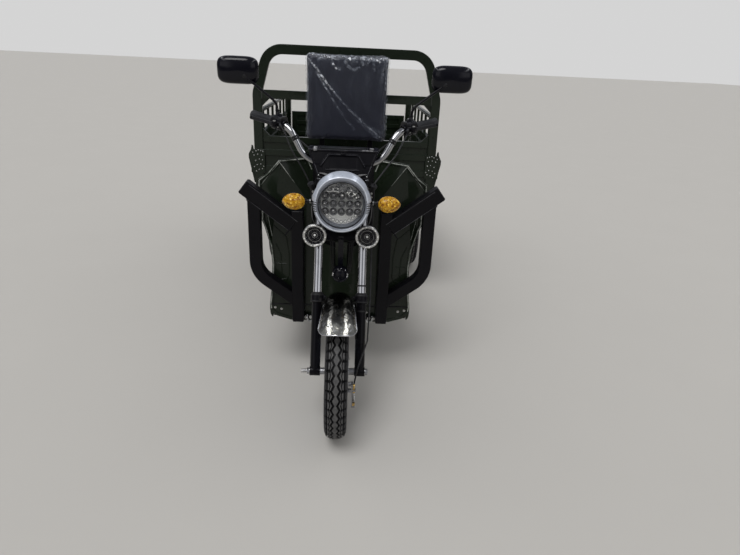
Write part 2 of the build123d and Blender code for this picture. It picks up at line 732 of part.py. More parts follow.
cowl_outer = cowl_body(0)
cowl_inner = cowl_body(COWL_T)
with BuildPart() as dash_cowl:
    add(cowl_outer)
    add(cowl_inner, mode=Mode.SUBTRACT)
    with BuildSketch(side_plane(-2 * COWL_HALF_HIGH)):
        with Locations((BAR_MID_Y, BAR_MID_Z)):
            Circle(BAR_R + SEAT_GAP + 3)
        with Locations((BAR_MID_Y, BAR_MID_Z - 30)):
            Rectangle(2 * (BAR_R + SEAT_GAP + 3), 60)
    extrude(amount=4 * COWL_HALF_HIGH, mode=Mode.SUBTRACT)
    for side in (-1, 1):
        block((side * RISER_HALF - 8, side * RISER_HALF + 8), (BAR_MID_Y - 14, BAR_MID_Y + 14),
              (BAR_MID_Z + 18, COWL_HIGH - 1))
write(dash_cowl, "dash_cowl")


# Frame

# Neck: the head tube and the spine that runs down behind the leg shield to the foot floor
NECK_HALF = 25.0
NECK_FOOT = (469.0, 520.0)
HEAD_LOW = LOWER_CLAMP[1] + 3
HEAD_HIGH = UPPER_CLAMP[0] - 3
with BuildPart() as frame_neck:
    with BuildSketch(side_plane(-NECK_HALF)):
        with BuildLine():
            Polyline((286, 748), (350, 858), (470, 600), (520, 420), (NECK_FOOT[1], RAIL_LOW_Z),
                     (NECK_FOOT[0], RAIL_LOW_Z), (NECK_FOOT[0], 400), (420, 560), (286, 748))
        make_face()
    extrude(amount=2 * NECK_HALF)
    with BuildSketch(fork_level(HEAD_LOW)):
        with Locations((0, STEM_OFFSET)):
            Circle(HEAD_TUBE_R)
    extrude(amount=HEAD_HIGH - HEAD_LOW)
    with BuildSketch(fork_level(LOWER_CLAMP[1])):
        with Locations((0, STEM_OFFSET)):
            Circle(STEM_R + RUNNING_GAP)
    extrude(amount=UPPER_CLAMP[1] + 20 - LOWER_CLAMP[1], mode=Mode.SUBTRACT)
write(frame_neck, "frame_neck")

# Main frame: two rails low under the foot floor, up behind the seat and level under the bed, with
# cross-members and the bar for the tail lamps
KICK_LOW, KICK_HIGH = 1000.0, 1180.0
RAIL_FRONT, RAIL_END = 440.0, 2740.0
RAIL_INNER = RAIL_X - RAIL_W / 2
# columns: start behind the axle, lower edge, height
CROSS_MEMBERS = (
    (RAIL_FRONT + 5, RAIL_LOW_Z, 50),
    (FOOT_BACK - 45, RAIL_LOW_Z, 50),
    (SEAT_BOX_BACK + 12, 508, 34),
    (1500, RAIL_HIGH_Z, 50),
    (2300, RAIL_HIGH_Z, 50),
)
LAMP_IN, LAMP_OUT = 350.0, 462.0
SPRING_HALF = 450.0
SPRING_EYE_R = 15.0
SPRING_EYE_Z = 408.0
SPRING_W = 50.0
with BuildPart() as frame_rails:
    for side in (-1, 1):
        with BuildSketch(side_plane(side * RAIL_X - RAIL_W / 2)):
            with BuildLine():
                Polyline(
                    (RAIL_FRONT, RAIL_LOW_Z), (RAIL_FRONT, RAIL_LOW_Z + RAIL_H),
                    (KICK_LOW - 12, RAIL_LOW_Z + RAIL_H), (KICK_HIGH - 12, RAIL_HIGH_Z + RAIL_H),
                    (RAIL_END, RAIL_HIGH_Z + RAIL_H), (RAIL_END, RAIL_HIGH_Z),
                    (KICK_HIGH + 12, RAIL_HIGH_Z), (KICK_LOW + 12, RAIL_LOW_Z), (RAIL_FRONT, RAIL_LOW_Z)
                )
            make_face()
        extrude(amount=RAIL_W)
    for start, low, height in CROSS_MEMBERS:
        block((-RAIL_INNER, RAIL_INNER), (start, start + 24), (low, low + height))
    block((-LAMP_OUT - 8, LAMP_OUT + 8), (RAIL_END, RAIL_END + 20), (RAIL_HIGH_Z + 8, RAIL_HIGH_Z + 50))
write(frame_rails, "frame_rails")

# Spring hangers below the rails: a top plate, two cheeks and the pin through the spring's eye
HANGER_HALF = 20.0
HANGER_T = 5.0
EYE_PIN_R = 6.0
with BuildPart() as spring_hangers:
    reach = SPRING_W / 2 + 1
    for side in (-1, 1):
        middle = side * RAIL_X
        for eye in (WHEELBASE - SPRING_HALF, WHEELBASE + SPRING_HALF):
            span = (eye - HANGER_HALF, eye + HANGER_HALF)
            plate_low = RAIL_HIGH_Z - HANGER_T
            block((middle - reach - HANGER_T, middle + reach + HANGER_T), span, (plate_low, RAIL_HIGH_Z))
            for cheek in (middle - reach - HANGER_T, middle + reach):
                block((cheek, cheek + HANGER_T), span, (SPRING_EYE_Z - 18, plate_low))
            with BuildSketch(axle_plane(middle - reach - HANGER_T, eye, SPRING_EYE_Z)):
                Circle(EYE_PIN_R)
            extrude(amount=2 * (reach + HANGER_T))
write(spring_hangers, "spring_hangers")

# Leg shield: a folded sheet whose facets all lean back from the middle, with a raised rim
SHIELD_LEAN = (450.0 - SHIELD_FACE) / 520.0
SHIELD_FOOT = 330.0
RIM_W, RIM_RISE = 12.0, 5.0
SHIELD_OUTLINE = (
    (0, 258), (220, 258), (281, 276), (313, 301), (313, 330), (303, 420), (299, 520), (306, 600),
    (333, 680), (345, 705), (345, 812), (360, 833), (359, 875), (318, 908), (268, 966), (150, 975),
    (128, 930), (128, 640), (32, 600), (32, 500), (0, 500),
)


def shield_point(x, z, drop=0.0):
    """A point on the shield's main face, or dropped behind it."""
    return Vector(x, back(SHIELD_FACE + SHIELD_LEAN * (z - SHIELD_FOOT) + drop), z)


# The facets on the left side, each by three points counted so that its normal faces forwards
SHIELD_FACETS = (
    (shield_point(0, 330), shield_point(100, 330), shield_point(0, 900)),
    (shield_point(198, 870), shield_point(268, 966), shield_point(150, 975, 40)),
    (shield_point(298, 640), shield_point(360, 850, 38), shield_point(262, 966)),
)


def facet_plane(points, shift):
    """The plane through three points, moved back by a shift."""
    first, second, third = points
    normal = (second - first).cross(third - first)
    return Plane(origin=first + Vector(0, shift, 0), z_dir=normal)


def whole_outline(half_outline):
    """A closed outline from its left half, which starts and ends on the middle line."""
    mirrored = [(-x, z) for x, z in reversed(half_outline) if x > 0]
    return [Vector(x, z) for x, z in list(half_outline) + mirrored]


def inset_outline(points, amount):
    """A closed outline, counted anticlockwise, with every edge moved inwards by an amount."""
    result = []
    for before, here, after in zip(points[-1:] + points[:-1], points, points[1:] + points[:1]):
        first = (here - before).normalized()
        second = (after - here).normalized()
        inwards = Vector(-first.Y - second.Y, first.X + second.X)
        result.append(here + inwards * (amount / (1 + first.dot(second))))
    return result


def behind_shield(outline, shift, rear, band=0.0):
    """The left half of a prism on an outline, cut to lie behind the shield's facets moved back by a
    shift. With a band width only a band along the outline is kept."""
    whole = whole_outline(outline)
    with BuildPart() as half:
        with BuildSketch(front_plane(rear)):
            with BuildLine():
                Polyline(*whole, close=True)
            make_face()
            if band:
                with BuildLine():
                    Polyline(*inset_outline(whole, band), close=True)
                make_face(mode=Mode.SUBTRACT)
        extrude(amount=rear - SHIELD_FACE + 60)
        split(bisect_by=Plane.YZ, keep=Keep.TOP)
        for points in SHIELD_FACETS:
            split(bisect_by=facet_plane(points, shift), keep=Keep.BOTTOM)
    return half.part


shield_front = behind_shield(SHIELD_OUTLINE, 0, 560)
shield_back = behind_shield(SHIELD_OUTLINE, SHIELD_T, 560)
shield_rim = behind_shield(SHIELD_OUTLINE, -RIM_RISE, 560, band=RIM_W)
with BuildPart() as leg_shield:
    add(shield_front)
    add(shield_rim)
    add(shield_back, mode=Mode.SUBTRACT)
    mirror(about=Plane.YZ)
write(leg_shield, "leg_shield")

# Inner shield: the panel before the rider's knees, open to the front behind the leg shield
INNER_HALF = 200.0
INNER_BACK = 533.0
INNER_TOP = 940.0
inner_outline = ((0, FOOT_TOP), (INNER_HALF, FOOT_TOP), (INNER_HALF, INNER_TOP), (0, INNER_TOP))
inner_body = behind_shield(inner_outline, SHIELD_T, INNER_BACK)
with BuildPart() as inner_shield:
    add(inner_body)
    mirror(about=Plane.YZ)
    block((SHEET_T - INNER_HALF, INNER_HALF - SHEET_T), (300, INNER_BACK - SHEET_T),
          (0, 2 * INNER_TOP), mode=Mode.SUBTRACT)
write(inner_shield, "inner_shield")

# Foot floor: a shallow tray turned down at the front and the sides
FOOT_DEPTH = 74.0
with BuildPart() as foot_floor:
    with BuildSketch(front_plane(FOOT_BACK)) as tray_section:
        with Locations((0, FOOT_TOP - FOOT_DEPTH / 2)):
            Rectangle(2 * FOOT_HALF, FOOT_DEPTH)
        fillet(tray_section.vertices().group_by(Axis.Y)[0], 34)
        with Locations((0, FOOT_TOP - FOOT_DEPTH)):
            Rectangle(2 * RAIL_X + RAIL_W + 2, 2 * (FOOT_DEPTH - SHEET_T), mode=Mode.SUBTRACT)
    extrude(amount=FOOT_BACK - SHIELD_FACE + 20)
    split(bisect_by=facet_plane(SHIELD_FACETS[0], SHIELD_T), keep=Keep.BOTTOM)
    block((-NECK_HALF - SEAT_GAP, NECK_HALF + SEAT_GAP), (NECK_FOOT[0] - 5, NECK_FOOT[1] + SEAT_GAP),
          (0, 2 * FOOT_TOP), mode=Mode.SUBTRACT)
write(foot_floor, "foot_floor")

# Crash bars: a sloping top bar, a bent outer tube and an upright post each side
TOP_BAR = ((400.0, 868.0), (196.0, 714.0))
OUTER_X, OUTER_LOW, OUTER_TOP, TUBE_END_Z = 360.0, 499.0, 820.0, 367.0
POST_X, POST_LOW, POST_TOP = 183.0, 274.0, 776.0
POST_FOOT = 40.0
with BuildPart() as crash_bars:
    for side in (-1, 1):
        with BuildSketch(front_plane(BAR_FACE + BAR_T)):
            with BuildLine():
                FilletPolyline(
                    (side * OUTER_X, OUTER_TOP), (side * OUTER_X, OUTER_LOW), (side * POST_X, TUBE_END_Z),
                    radius=110
                )
            trace(line_width=BAR_T)
            with BuildLine():
                Line(*[(side * x, z) for x, z in TOP_BAR])
            trace(line_width=60)
            with BuildLine():
                Line((side * POST_X, POST_LOW), (side * POST_X, POST_TOP))
            trace(line_width=BAR_T)
        extrude(amount=BAR_T)
        block((side * POST_X - 16, side * POST_X + 16), (BAR_FACE + BAR_T - 5, 470),
              (POST_LOW + 4, POST_LOW + 40))
        foot = POST_X - BAR_T / 2
        block(sorted((side * (foot - POST_FOOT), side * foot)), (BAR_FACE + BAR_T - 18, BAR_FACE + BAR_T),
              (POST_LOW, POST_LOW + 16))
    split(bisect_by=facet_plane(SHIELD_FACETS[0], 0), keep=Keep.TOP)
write(crash_bars, "crash_bars")

# Brake pedal on the foot floor at the rider's right
with BuildPart() as brake_pedal:
    block((-232, -220), (600, 660), (FOOT_TOP, FOOT_TOP + 5))
    with BuildSketch(side_plane(-231)):
        with BuildLine():
            Polyline((628, FOOT_TOP + 4), (640, FOOT_TOP + 4), (600, 392), (588, 386), (628, FOOT_TOP + 4))
        make_face()
    extrude(amount=10)
    block((-256, -198), (560, 602), (386, 394))
write(brake_pedal, "brake_pedal")

# Seat box round the battery, open on top, with the fixed half of the seat hinge
SEAT_AXIS_Y, SEAT_AXIS_Z = SEAT_BOX_FRONT - 10, SEAT_Z + 4
SEAT_KNUCKLE_R, SEAT_PIN_R = 6.0, 3.0
with BuildPart() as seat_box:
    block((-SEAT_BOX_HALF, SEAT_BOX_HALF), (SEAT_BOX_FRONT, SEAT_BOX_BACK), (FOOT_TOP, SEAT_Z))
    block((SHEET_T - SEAT_BOX_HALF, SEAT_BOX_HALF - SHEET_T),
          (SEAT_BOX_FRONT + SHEET_T, SEAT_BOX_BACK - SHEET_T), (FOOT_TOP + SHEET_T, SEAT_Z + 1),
          mode=Mode.SUBTRACT)
    for side in (-1, 1):
        knuckle = sorted((side * 110, side * 140))
        with BuildSketch(axle_plane(knuckle[0], SEAT_AXIS_Y, SEAT_AXIS_Z)):
            Circle(SEAT_KNUCKLE_R)
        extrude(amount=30)
        block(knuckle, (SEAT_AXIS_Y - 5, SEAT_BOX_FRONT), (SEAT_Z - 10, SEAT_Z))
        pin = sorted((side * 74, side * 112))
        with BuildSketch(axle_plane(pin[0], SEAT_AXIS_Y, SEAT_AXIS_Z)):
            Circle(SEAT_PIN_R)
        extrude(amount=pin[1] - pin[0])
write(seat_box, "seat_box")

with BuildPart() as battery_pack:
    block((-180, 180), (SEAT_BOX_FRONT + 30, SEAT_BOX_BACK - 30), (FOOT_TOP + SHEET_T, 610))
write(battery_pack, "battery_pack")

# Seat: a pan on its hinge straps and a cushion
PAN_Z = SEAT_Z + 6
with BuildPart() as seat_pan:
    block((4 - SEAT_BOX_HALF, SEAT_BOX_HALF - 4), (SEAT_AXIS_Y, SEAT_BOX_BACK), (PAN_Z, PAN_Z + 6))
    for side in (-1, 1):
        knuckle = sorted((side * 76, side * 106))
        with BuildSketch(axle_plane(knuckle[0], SEAT_AXIS_Y, SEAT_AXIS_Z)):
            Circle(SEAT_KNUCKLE_R)
            with Locations((SEAT_KNUCKLE_R / 2, SEAT_KNUCKLE_R / 2)):
                Rectangle(SEAT_KNUCKLE_R, SEAT_KNUCKLE_R)
            Circle(SEAT_PIN_R + PIN_GAP, mode=Mode.SUBTRACT)
        extrude(amount=30)
        with BuildSketch(axle_plane(side * 70, SEAT_AXIS_Y, SEAT_AXIS_Z)):
            Circle(SEAT_PIN_R + PIN_GAP)
        extrude(amount=side * 44, mode=Mode.SUBTRACT)
        block((side * 125 - 17, side * 125 + 17), (SEAT_AXIS_Y - 1, SEAT_AXIS_Y + 9), (PAN_Z - 1, PAN_Z + 7),
              mode=Mode.SUBTRACT)
write(seat_pan, "seat_pan")

with BuildPart() as seat_cushion:
    with BuildSketch(Plane.XY.offset(PAN_Z + 6 + SEAT_GAP)):
        with Locations((0, back((SEAT_AXIS_Y + SEAT_BOX_BACK + 6) / 2))):
            RectangleRounded(440, SEAT_BOX_BACK + 6 - SEAT_AXIS_Y, 40)
    extrude(amount=CUSHION_H)
    fillet(seat_cushion.faces().sort_by(Axis.Z)[-1].edges(), 25)
write(seat_cushion, "seat_cushion")

# Backrest on two uprights from the frame
PAD_BACK = 1196.0
BACKREST_HALF, BACKREST_LOW, BACKREST_HIGH, BACKREST_T = 205.0, 957.0, 1375.0, 56.0
with BuildPart() as backrest_frame:
    for x in (-130, 130):
        block((x - 14, x + 14), (PAD_BACK, PAD_BACK + 20), (508, 1300))
    for low in (1010, 1250):
        block((-144, 144), (PAD_BACK, PAD_BACK + 20), (low, low + 30))
write(backrest_frame, "backrest_frame")

with BuildPart() as seat_backrest:
    with BuildSketch(front_plane(PAD_BACK - SEAT_GAP)):
        with Locations((0, (BACKREST_LOW + BACKREST_HIGH) / 2)):
            RectangleRounded(2 * BACKREST_HALF, BACKREST_HIGH - BACKREST_LOW, 26)
    extrude(amount=BACKREST_T)
    fillet(seat_backrest.faces().sort_by(Axis.Y)[0].edges(), 18)
write(seat_backrest, "seat_backrest")


# Cargo bed

BED_SIDE = WALL_OUT - WALL_T - 5
BEARER_LOW = RAIL_HIGH_Z + RAIL_H
BEARER_H = 22.0
POST_IN, POST_OUT = BED_HALF_W - POST_W, BED_HALF_W
FRONT_POST = (BED_START, BED_START + HOOP_DEPTH)
REAR_POST = (BED_END - POST_W, BED_END)
BEARER_STARTS = (FRONT_POST[0], 1690, 1880, 2120, 2440, REAR_POST[0])
with BuildPart() as bed_frame:
    for start in BEARER_STARTS:
        block((-BED_SIDE, BED_SIDE), (start, start + 40), (BEARER_LOW, BEARER_LOW + BEARER_H))
    for side in (-1, 1):
        block(sorted((side * (BED_SIDE - BED_RAIL), side * BED_SIDE)), (FRONT_POST[1], REAR_POST[0]),
              (BEARER_LOW + BEARER_H, FLOOR_TOP - FLOOR_T))
        block(sorted((side * POST_IN, side * POST_OUT)), REAR_POST, (BEARER_LOW, GUARD_TOP))
    block((-POST_IN, POST_IN), (REAR_POST[0], REAR_POST[0] + 8), (BEARER_LOW + BEARER_H, FLOOR_TOP - FLOOR_T))
write(bed_frame, "bed_frame")

# Bed floor with lengthwise ribs pressed up
FLOOR_RIBS = 6
RIB_W, RIB_H = 40.0, 6.0
with BuildPart() as bed_floor:
    block((-BED_SIDE, BED_SIDE), (FRONT_POST[1], REAR_POST[0]), (FLOOR_TOP - FLOOR_T, FLOOR_TOP))
    block((-POST_IN + 2, POST_IN - 2), (REAR_POST[0], REAR_POST[0] + 8), (FLOOR_TOP - FLOOR_T, FLOOR_TOP))
    with Locations((0, back((FRONT_POST[1] + REAR_POST[0]) / 2), FLOOR_TOP + RIB_H / 2)):
        with GridLocations(2 * BED_SIDE / FLOOR_RIBS, 1, FLOOR_RIBS, 1):
            Box(RIB_W, REAR_POST[0] - FRONT_POST[1] - 60, RIB_H)
write(bed_floor, "bed_floor")

# Bed front: a framed panel with horizontal ribs, between the posts of the hoop
PANEL_T = 24.0


def rib_heights(low, high, ribs, rib_h):
    """The height ranges of a panel's lower and upper frame members and the ribs between them."""
    step = (high - low) / (ribs + 1)
    members = [(low, low + rib_h), (high - rib_h, high)]
    members += [(low + step * i - rib_h / 2, low + step * i + rib_h / 2) for i in range(1, ribs + 1)]
    return members


with BuildPart() as bed_front:
    inner = BED_HALF_W - HOOP_W
    block((-inner, inner), (FRONT_POST[0] + 12, FRONT_POST[0] + 15), (BEARER_LOW + BEARER_H, WALL_TOP))
    for low, high in rib_heights(BEARER_LOW + BEARER_H, WALL_TOP, 3, 34):
        block((-inner, inner), (FRONT_POST[0] + 4, FRONT_POST[0] + 4 + PANEL_T), (low, high))
write(bed_front, "bed_front")

# Hoop over the bed front: posts, leaning corners, crossbar and small gussets
HOOP_X = BED_HALF_W - HOOP_W / 2
HOOP_LINE = (
    (HOOP_X, BEARER_LOW + BEARER_H), (HOOP_X, 1165), (HOOP_X - 62, HOOP_TOP - HOOP_W / 2),
)
HOOP_BEND_R = 100.0
GUSSET = 42.0
with BuildPart() as bed_hoop:
    middle = back(BED_START + HOOP_DEPTH / 2)
    right = [(-x, middle, z) for x, z in HOOP_LINE]
    left = [(x, middle, z) for x, z in reversed(HOOP_LINE)]
    with BuildLine() as hoop_line:
        FilletPolyline(*right, *left, radius=HOOP_BEND_R)
    with BuildSketch(Plane(origin=right[0], x_dir=(1, 0, 0), z_dir=(0, 0, 1))):
        RectangleRounded(HOOP_W, HOOP_DEPTH, 4)
    sweep(path=hoop_line.line)
    inside = BED_HALF_W - HOOP_W + 2
    block((-inside, inside), (FRONT_POST[0] + CROSSBAR_INSET, FRONT_POST[1] - CROSSBAR_INSET),
          (CROSSBAR_TOP - CROSSBAR_H, CROSSBAR_TOP))
    for side in (-1, 1):
        for base, step in ((CROSSBAR_TOP - CROSSBAR_H + 1, -GUSSET), (WALL_TOP, GUSSET)):
            with BuildSketch(front_plane(FRONT_POST[1] - 8)):
                with BuildLine():
                    Polyline((side * inside, base), (side * (inside - GUSSET), base),
                             (side * inside, base + step), (side * inside, base))
                make_face()
            extrude(amount=14)
write(bed_hoop, "bed_hoop")

# Corner latches: a plate on each post with a lever beside it
LATCH_LOW = 680.0
LATCH_PLATE = (-58.0, 20.0)
# columns: distance outside the post, height above the latch's foot
LATCH_LEVER = ((0, 0), (6, 0), (34, 140), (34, 162), (20, 188), (16, 211), (9, 206), (0, 140))
with BuildPart() as corner_latches:
    for side in (-1, 1):
        plate = sorted(side * (BED_HALF_W + edge) for edge in LATCH_PLATE)
        block(plate, (BED_START - 3, BED_START), (LATCH_LOW + 60, LATCH_LOW + 190))
        block(sorted((side * BED_HALF_W, side * (BED_HALF_W + 16))), (BED_START, BED_START + 26),
              (LATCH_LOW + 80, LATCH_LOW + 170))
        with BuildSketch(front_plane(BED_START + 20)):
            with BuildLine():
                Polyline(*[(side * (BED_HALF_W + out), LATCH_LOW + up) for out, up in LATCH_LEVER],
                         close=True)
            make_face()
        extrude(amount=14)
write(corner_latches, "corner_latches")

# Drop sides and tailgate: hinge stations and the fixed leaves with their pins
SIDE_START, SIDE_END = FRONT_POST[1] + 7, REAR_POST[0] - 7
SIDE_AXIS = WALL_OUT + HINGE_STANDOFF
TAIL_OUT = BED_END - 5
TAIL_AXIS = TAIL_OUT + HINGE_STANDOFF
TAIL_HALF = POST_IN - 7
SIDE_HINGES = (1500.0, 2035.0, 2570.0)
TAIL_HINGES = (-330.0, 0.0, 330.0)
LEAF_W = 40.0
LEAF_T = 8.0
KNUCKLE_GAP = 1.0
LEAF_TOP = HINGE_Z - 6


def pin_section(frame, along):
    """The plane across a hinge pin at a distance along it: X outwards, Y up."""
    across = Plane(origin=frame.origin, x_dir=frame.y_dir, z_dir=frame.x_dir)
    return across.offset(along)


def fixed_leaf(frame, reach):
    """A plate that reaches inwards from a knuckle, and a pin standing out to both sides."""
    with BuildPart() as leaf:
        with BuildSketch(frame.offset(-HINGE_R)):
            with Locations((0, -reach / 2)):
                Rectangle(LEAF_W, reach)
        extrude(amount=-LEAF_T)
        with BuildSketch(pin_section(frame, -LEAF_W / 2)):
            Circle(HINGE_R)
        extrude(amount=LEAF_W)
        with BuildSketch(pin_section(frame, -LEAF_W / 2 - 26)):
            Circle(HINGE_PIN_R)
        extrude(amount=LEAF_W + 52)
        with BuildSketch(pin_section(frame, -LEAF_W / 2)):
            with Locations((0, -HINGE_R / 2 - 2)):
                Rectangle(10, HINGE_R + 4)
        extrude(amount=LEAF_W)
    return leaf.part


def moving_leaf(frame, strap_h):
    """The two knuckles on the moving side and their straps up the wall's outer face."""
    with BuildPart() as leaf:
        for start in (-LEAF_W / 2 - KNUCKLE_GAP - 24, LEAF_W / 2 + KNUCKLE_GAP):
            with BuildSketch(pin_section(frame, start)):
                Circle(HINGE_R)
                with Locations((3 - HINGE_STANDOFF, strap_h / 2)):
                    Rectangle(6, strap_h)
                with Locations((-HINGE_STANDOFF / 2, HINGE_R / 2)):
                    Rectangle(HINGE_STANDOFF, HINGE_R)
                Circle(HINGE_PIN_R + PIN_GAP, mode=Mode.SUBTRACT)
            extrude(amount=24)
    return leaf.part


def side_hinge(side, distance):
    """The frame of a hinge on a drop side."""
    return Plane(origin=(side * SIDE_AXIS, back(distance), HINGE_Z), x_dir=(0, -side, 0), z_dir=(0, 0, 1))


def tail_hinge(x):
    """The frame of a hinge on the tailgate."""
    return Plane(origin=(x, back(TAIL_AXIS), HINGE_Z), x_dir=(1, 0, 0), z_dir=(0, 0, 1))


with BuildPart() as bed_hinges:
    for side in (-1, 1):
        for distance in SIDE_HINGES:
            add(fixed_leaf(side_hinge(side, distance), SIDE_AXIS - BED_SIDE))
    for x in TAIL_HINGES:
        add(fixed_leaf(tail_hinge(x), TAIL_AXIS - REAR_POST[0] - 40))
write(bed_hinges, "bed_hinges")

# Drop sides: a ribbed panel with a guard rail above it on a row of upright posts
GUARD_POSTS = 8
GUARD_POST_R = 8.0
WALL_RIBS = 3
WALL_RIB_H = 30.0
WEB_T = 3.0
STRAP_H = 70.0
for name, side in SIDES:
    inner_x, outer_x = WALL_OUT - WALL_T, WALL_OUT
    guard_x = side * (inner_x + outer_x) / 2
    guard_z = GUARD_TOP - GUARD_R
    with BuildPart() as side_wall:
        block(sorted((side * (inner_x + 6), side * (inner_x + 6 + WEB_T))), (SIDE_START, SIDE_END),
              (WALL_BOTTOM, WALL_TOP))
        for low, high in rib_heights(WALL_BOTTOM, WALL_TOP, WALL_RIBS, WALL_RIB_H):
            block(sorted((side * inner_x, side * outer_x)), (SIDE_START, SIDE_END), (low, high))
        for start in (SIDE_START, SIDE_END - 40):
            block(sorted((side * inner_x, side * outer_x)), (start, start + 40), (WALL_BOTTOM, WALL_TOP))
        with BuildSketch(front_plane(SIDE_END)):
            with Locations((guard_x, guard_z)):
                Circle(GUARD_R)
        extrude(amount=SIDE_END - SIDE_START)
        for distance in SIDE_HINGES:
            add(moving_leaf(side_hinge(side, distance), STRAP_H))
    write(side_wall, f"side_wall_{name}")

    with BuildPart() as guard_posts:
        middle = back((SIDE_START + SIDE_END) / 2)
        with BuildSketch(Plane(origin=(guard_x, middle, WALL_TOP))):
            with GridLocations(1, (SIDE_END - SIDE_START - 30) / (GUARD_POSTS - 1), 1, GUARD_POSTS):
                Circle(GUARD_POST_R)
        extrude(amount=guard_z - WALL_TOP)
        with BuildSketch(front_plane(SIDE_END)):
            with Locations((guard_x, guard_z)):
                Circle(GUARD_R + SEAT_GAP)
        extrude(amount=SIDE_END - SIDE_START, mode=Mode.SUBTRACT)
    write(guard_posts, f"guard_posts_{name}")

with BuildPart() as tailgate:
    face = TAIL_OUT - WALL_T
    block((-TAIL_HALF, TAIL_HALF), (face + 6, face + 6 + WEB_T), (WALL_BOTTOM, WALL_TOP))
    for low, high in rib_heights(WALL_BOTTOM, WALL_TOP, WALL_RIBS, WALL_RIB_H):
        block((-TAIL_HALF, TAIL_HALF), (face, TAIL_OUT), (low, high))
    for start in (-TAIL_HALF, TAIL_HALF - 40):
        block((start, start + 40), (face, TAIL_OUT), (WALL_BOTTOM, WALL_TOP))
    for x in TAIL_HINGES:
        add(moving_leaf(tail_hinge(x), STRAP_H))
write(tailgate, "tailgate")


# Rear axle, springs, mudguards and lamps

AXLE_TUBE_R = 30.0
PLATE_X = 386.0
SPRING_TOP_Z = 330.0
LEAF_THICK = 8.0
LEAF_HALVES = (SPRING_HALF, 370.0, 280.0, 190.0)
SPRING_R = (SPRING_HALF**2 + (SPRING_EYE_Z - SPRING_TOP_Z - 8)**2) / (2 * (SPRING_EYE_Z - SPRING_TOP_Z - 8))
PAD_TOP = SPRING_TOP_Z - LEAF_THICK * len(LEAF_HALVES)
with BuildPart() as rear_axle:
    with BuildSketch(axle_plane(-PLATE_X, WHEELBASE)):
        Circle(AXLE_TUBE_R)
    extrude(amount=2 * PLATE_X)
    with BuildSketch(axle_plane(-90, WHEELBASE)):
        Circle(92)
    extrude(amount=130)
    with BuildSketch(axle_plane(40, WHEELBASE - 95, WHEEL_R + 10)):
        Circle(74)
    extrude(amount=-190)
    for side in (-1, 1):
        with BuildSketch(axle_plane(side * (PLATE_X - 4), WHEELBASE)):
            Circle(REAR_DRUM_R + 4)
        extrude(amount=side * 8)
        with BuildSketch(axle_plane(side * PLATE_X, WHEELBASE)):
            Circle(SPINDLE_R)
        extrude(amount=side * (REAR_X + 24.5 - PLATE_X))
        with BuildSketch(axle_plane(side * (REAR_X + 24.5), WHEELBASE)):
            RegularPolygon(20, 6)
        extrude(amount=side * 12)
        block(sorted((side * (RAIL_X - 30), side * (RAIL_X + 30))), (WHEELBASE - 45, WHEELBASE + 45),
              (WHEEL_R, PAD_TOP))
write(rear_axle, "rear_axle")

with BuildPart() as leaf_springs:
    for side in (-1, 1):
        for i, half in enumerate(LEAF_HALVES):
            outer = SPRING_R + LEAF_THICK * (i + 1)
            centre = (WHEELBASE, SPRING_TOP_Z + SPRING_R)
            with BuildSketch(side_plane(side * RAIL_X - SPRING_W / 2)):
                with Locations(centre):
                    Circle(outer)
                    Circle(outer - LEAF_THICK, mode=Mode.SUBTRACT)
                with Locations((WHEELBASE, SPRING_TOP_Z)):
                    Rectangle(2 * half, 300, mode=Mode.INTERSECT)
            extrude(amount=SPRING_W)
        for eye in (-SPRING_HALF, SPRING_HALF):
            with BuildSketch(axle_plane(side * RAIL_X - SPRING_W / 2, WHEELBASE + eye, SPRING_EYE_Z)):
                Circle(SPRING_EYE_R)
            extrude(amount=SPRING_W)
            with BuildSketch(axle_plane(side * RAIL_X - SPRING_W / 2, WHEELBASE + eye, SPRING_EYE_Z)):
                Circle(EYE_PIN_R + SEAT_GAP)
            extrude(amount=SPRING_W, mode=Mode.SUBTRACT)
write(leaf_springs, "leaf_springs")

# Mudguards: an arched band with a turned-down outer edge, on a bracket below the bed
GUARD_ARC_R = 288.0
GUARD_BAND = (REAR_X - 55, REAR_X + REAR_TYRE_W / 2 + 3.5)
with BuildPart() as rear_mudguards:
    for side in (-1, 1):
        start_x = side * GUARD_BAND[0]
        with BuildSketch(axle_plane(start_x, WHEELBASE)):
            Circle(GUARD_ARC_R)
            Circle(GUARD_ARC_R - 3, mode=Mode.SUBTRACT)
            with Locations((0, 100 - GUARD_ARC_R)):
                Rectangle(2.2 * GUARD_ARC_R, 2 * GUARD_ARC_R, mode=Mode.SUBTRACT)
        extrude(amount=side * (GUARD_BAND[1] - GUARD_BAND[0]))
        with BuildSketch(axle_plane(side * (GUARD_BAND[1] - 3), WHEELBASE)):
            Circle(GUARD_ARC_R)
            Circle(GUARD_ARC_R - 16, mode=Mode.SUBTRACT)
            with Locations((0, 100 - GUARD_ARC_R)):
                Rectangle(2.2 * GUARD_ARC_R, 2 * GUARD_ARC_R, mode=Mode.SUBTRACT)
        extrude(amount=side * 3)
        block(sorted((side * (BED_SIDE - 48), side * (BED_SIDE - 8))), (WHEELBASE - 14, WHEELBASE + 14),
              (WHEEL_R + GUARD_ARC_R - 2, BEARER_LOW))
write(rear_mudguards, "rear_mudguards")

with BuildPart() as tail_lamps:
    for side in (-1, 1):
        block(sorted((side * LAMP_IN, side * LAMP_OUT)), (RAIL_END + 20, RAIL_END + 44),
              (RAIL_HIGH_Z + 4, RAIL_HIGH_Z + 54))
write(tail_lamps, "tail_lamps")

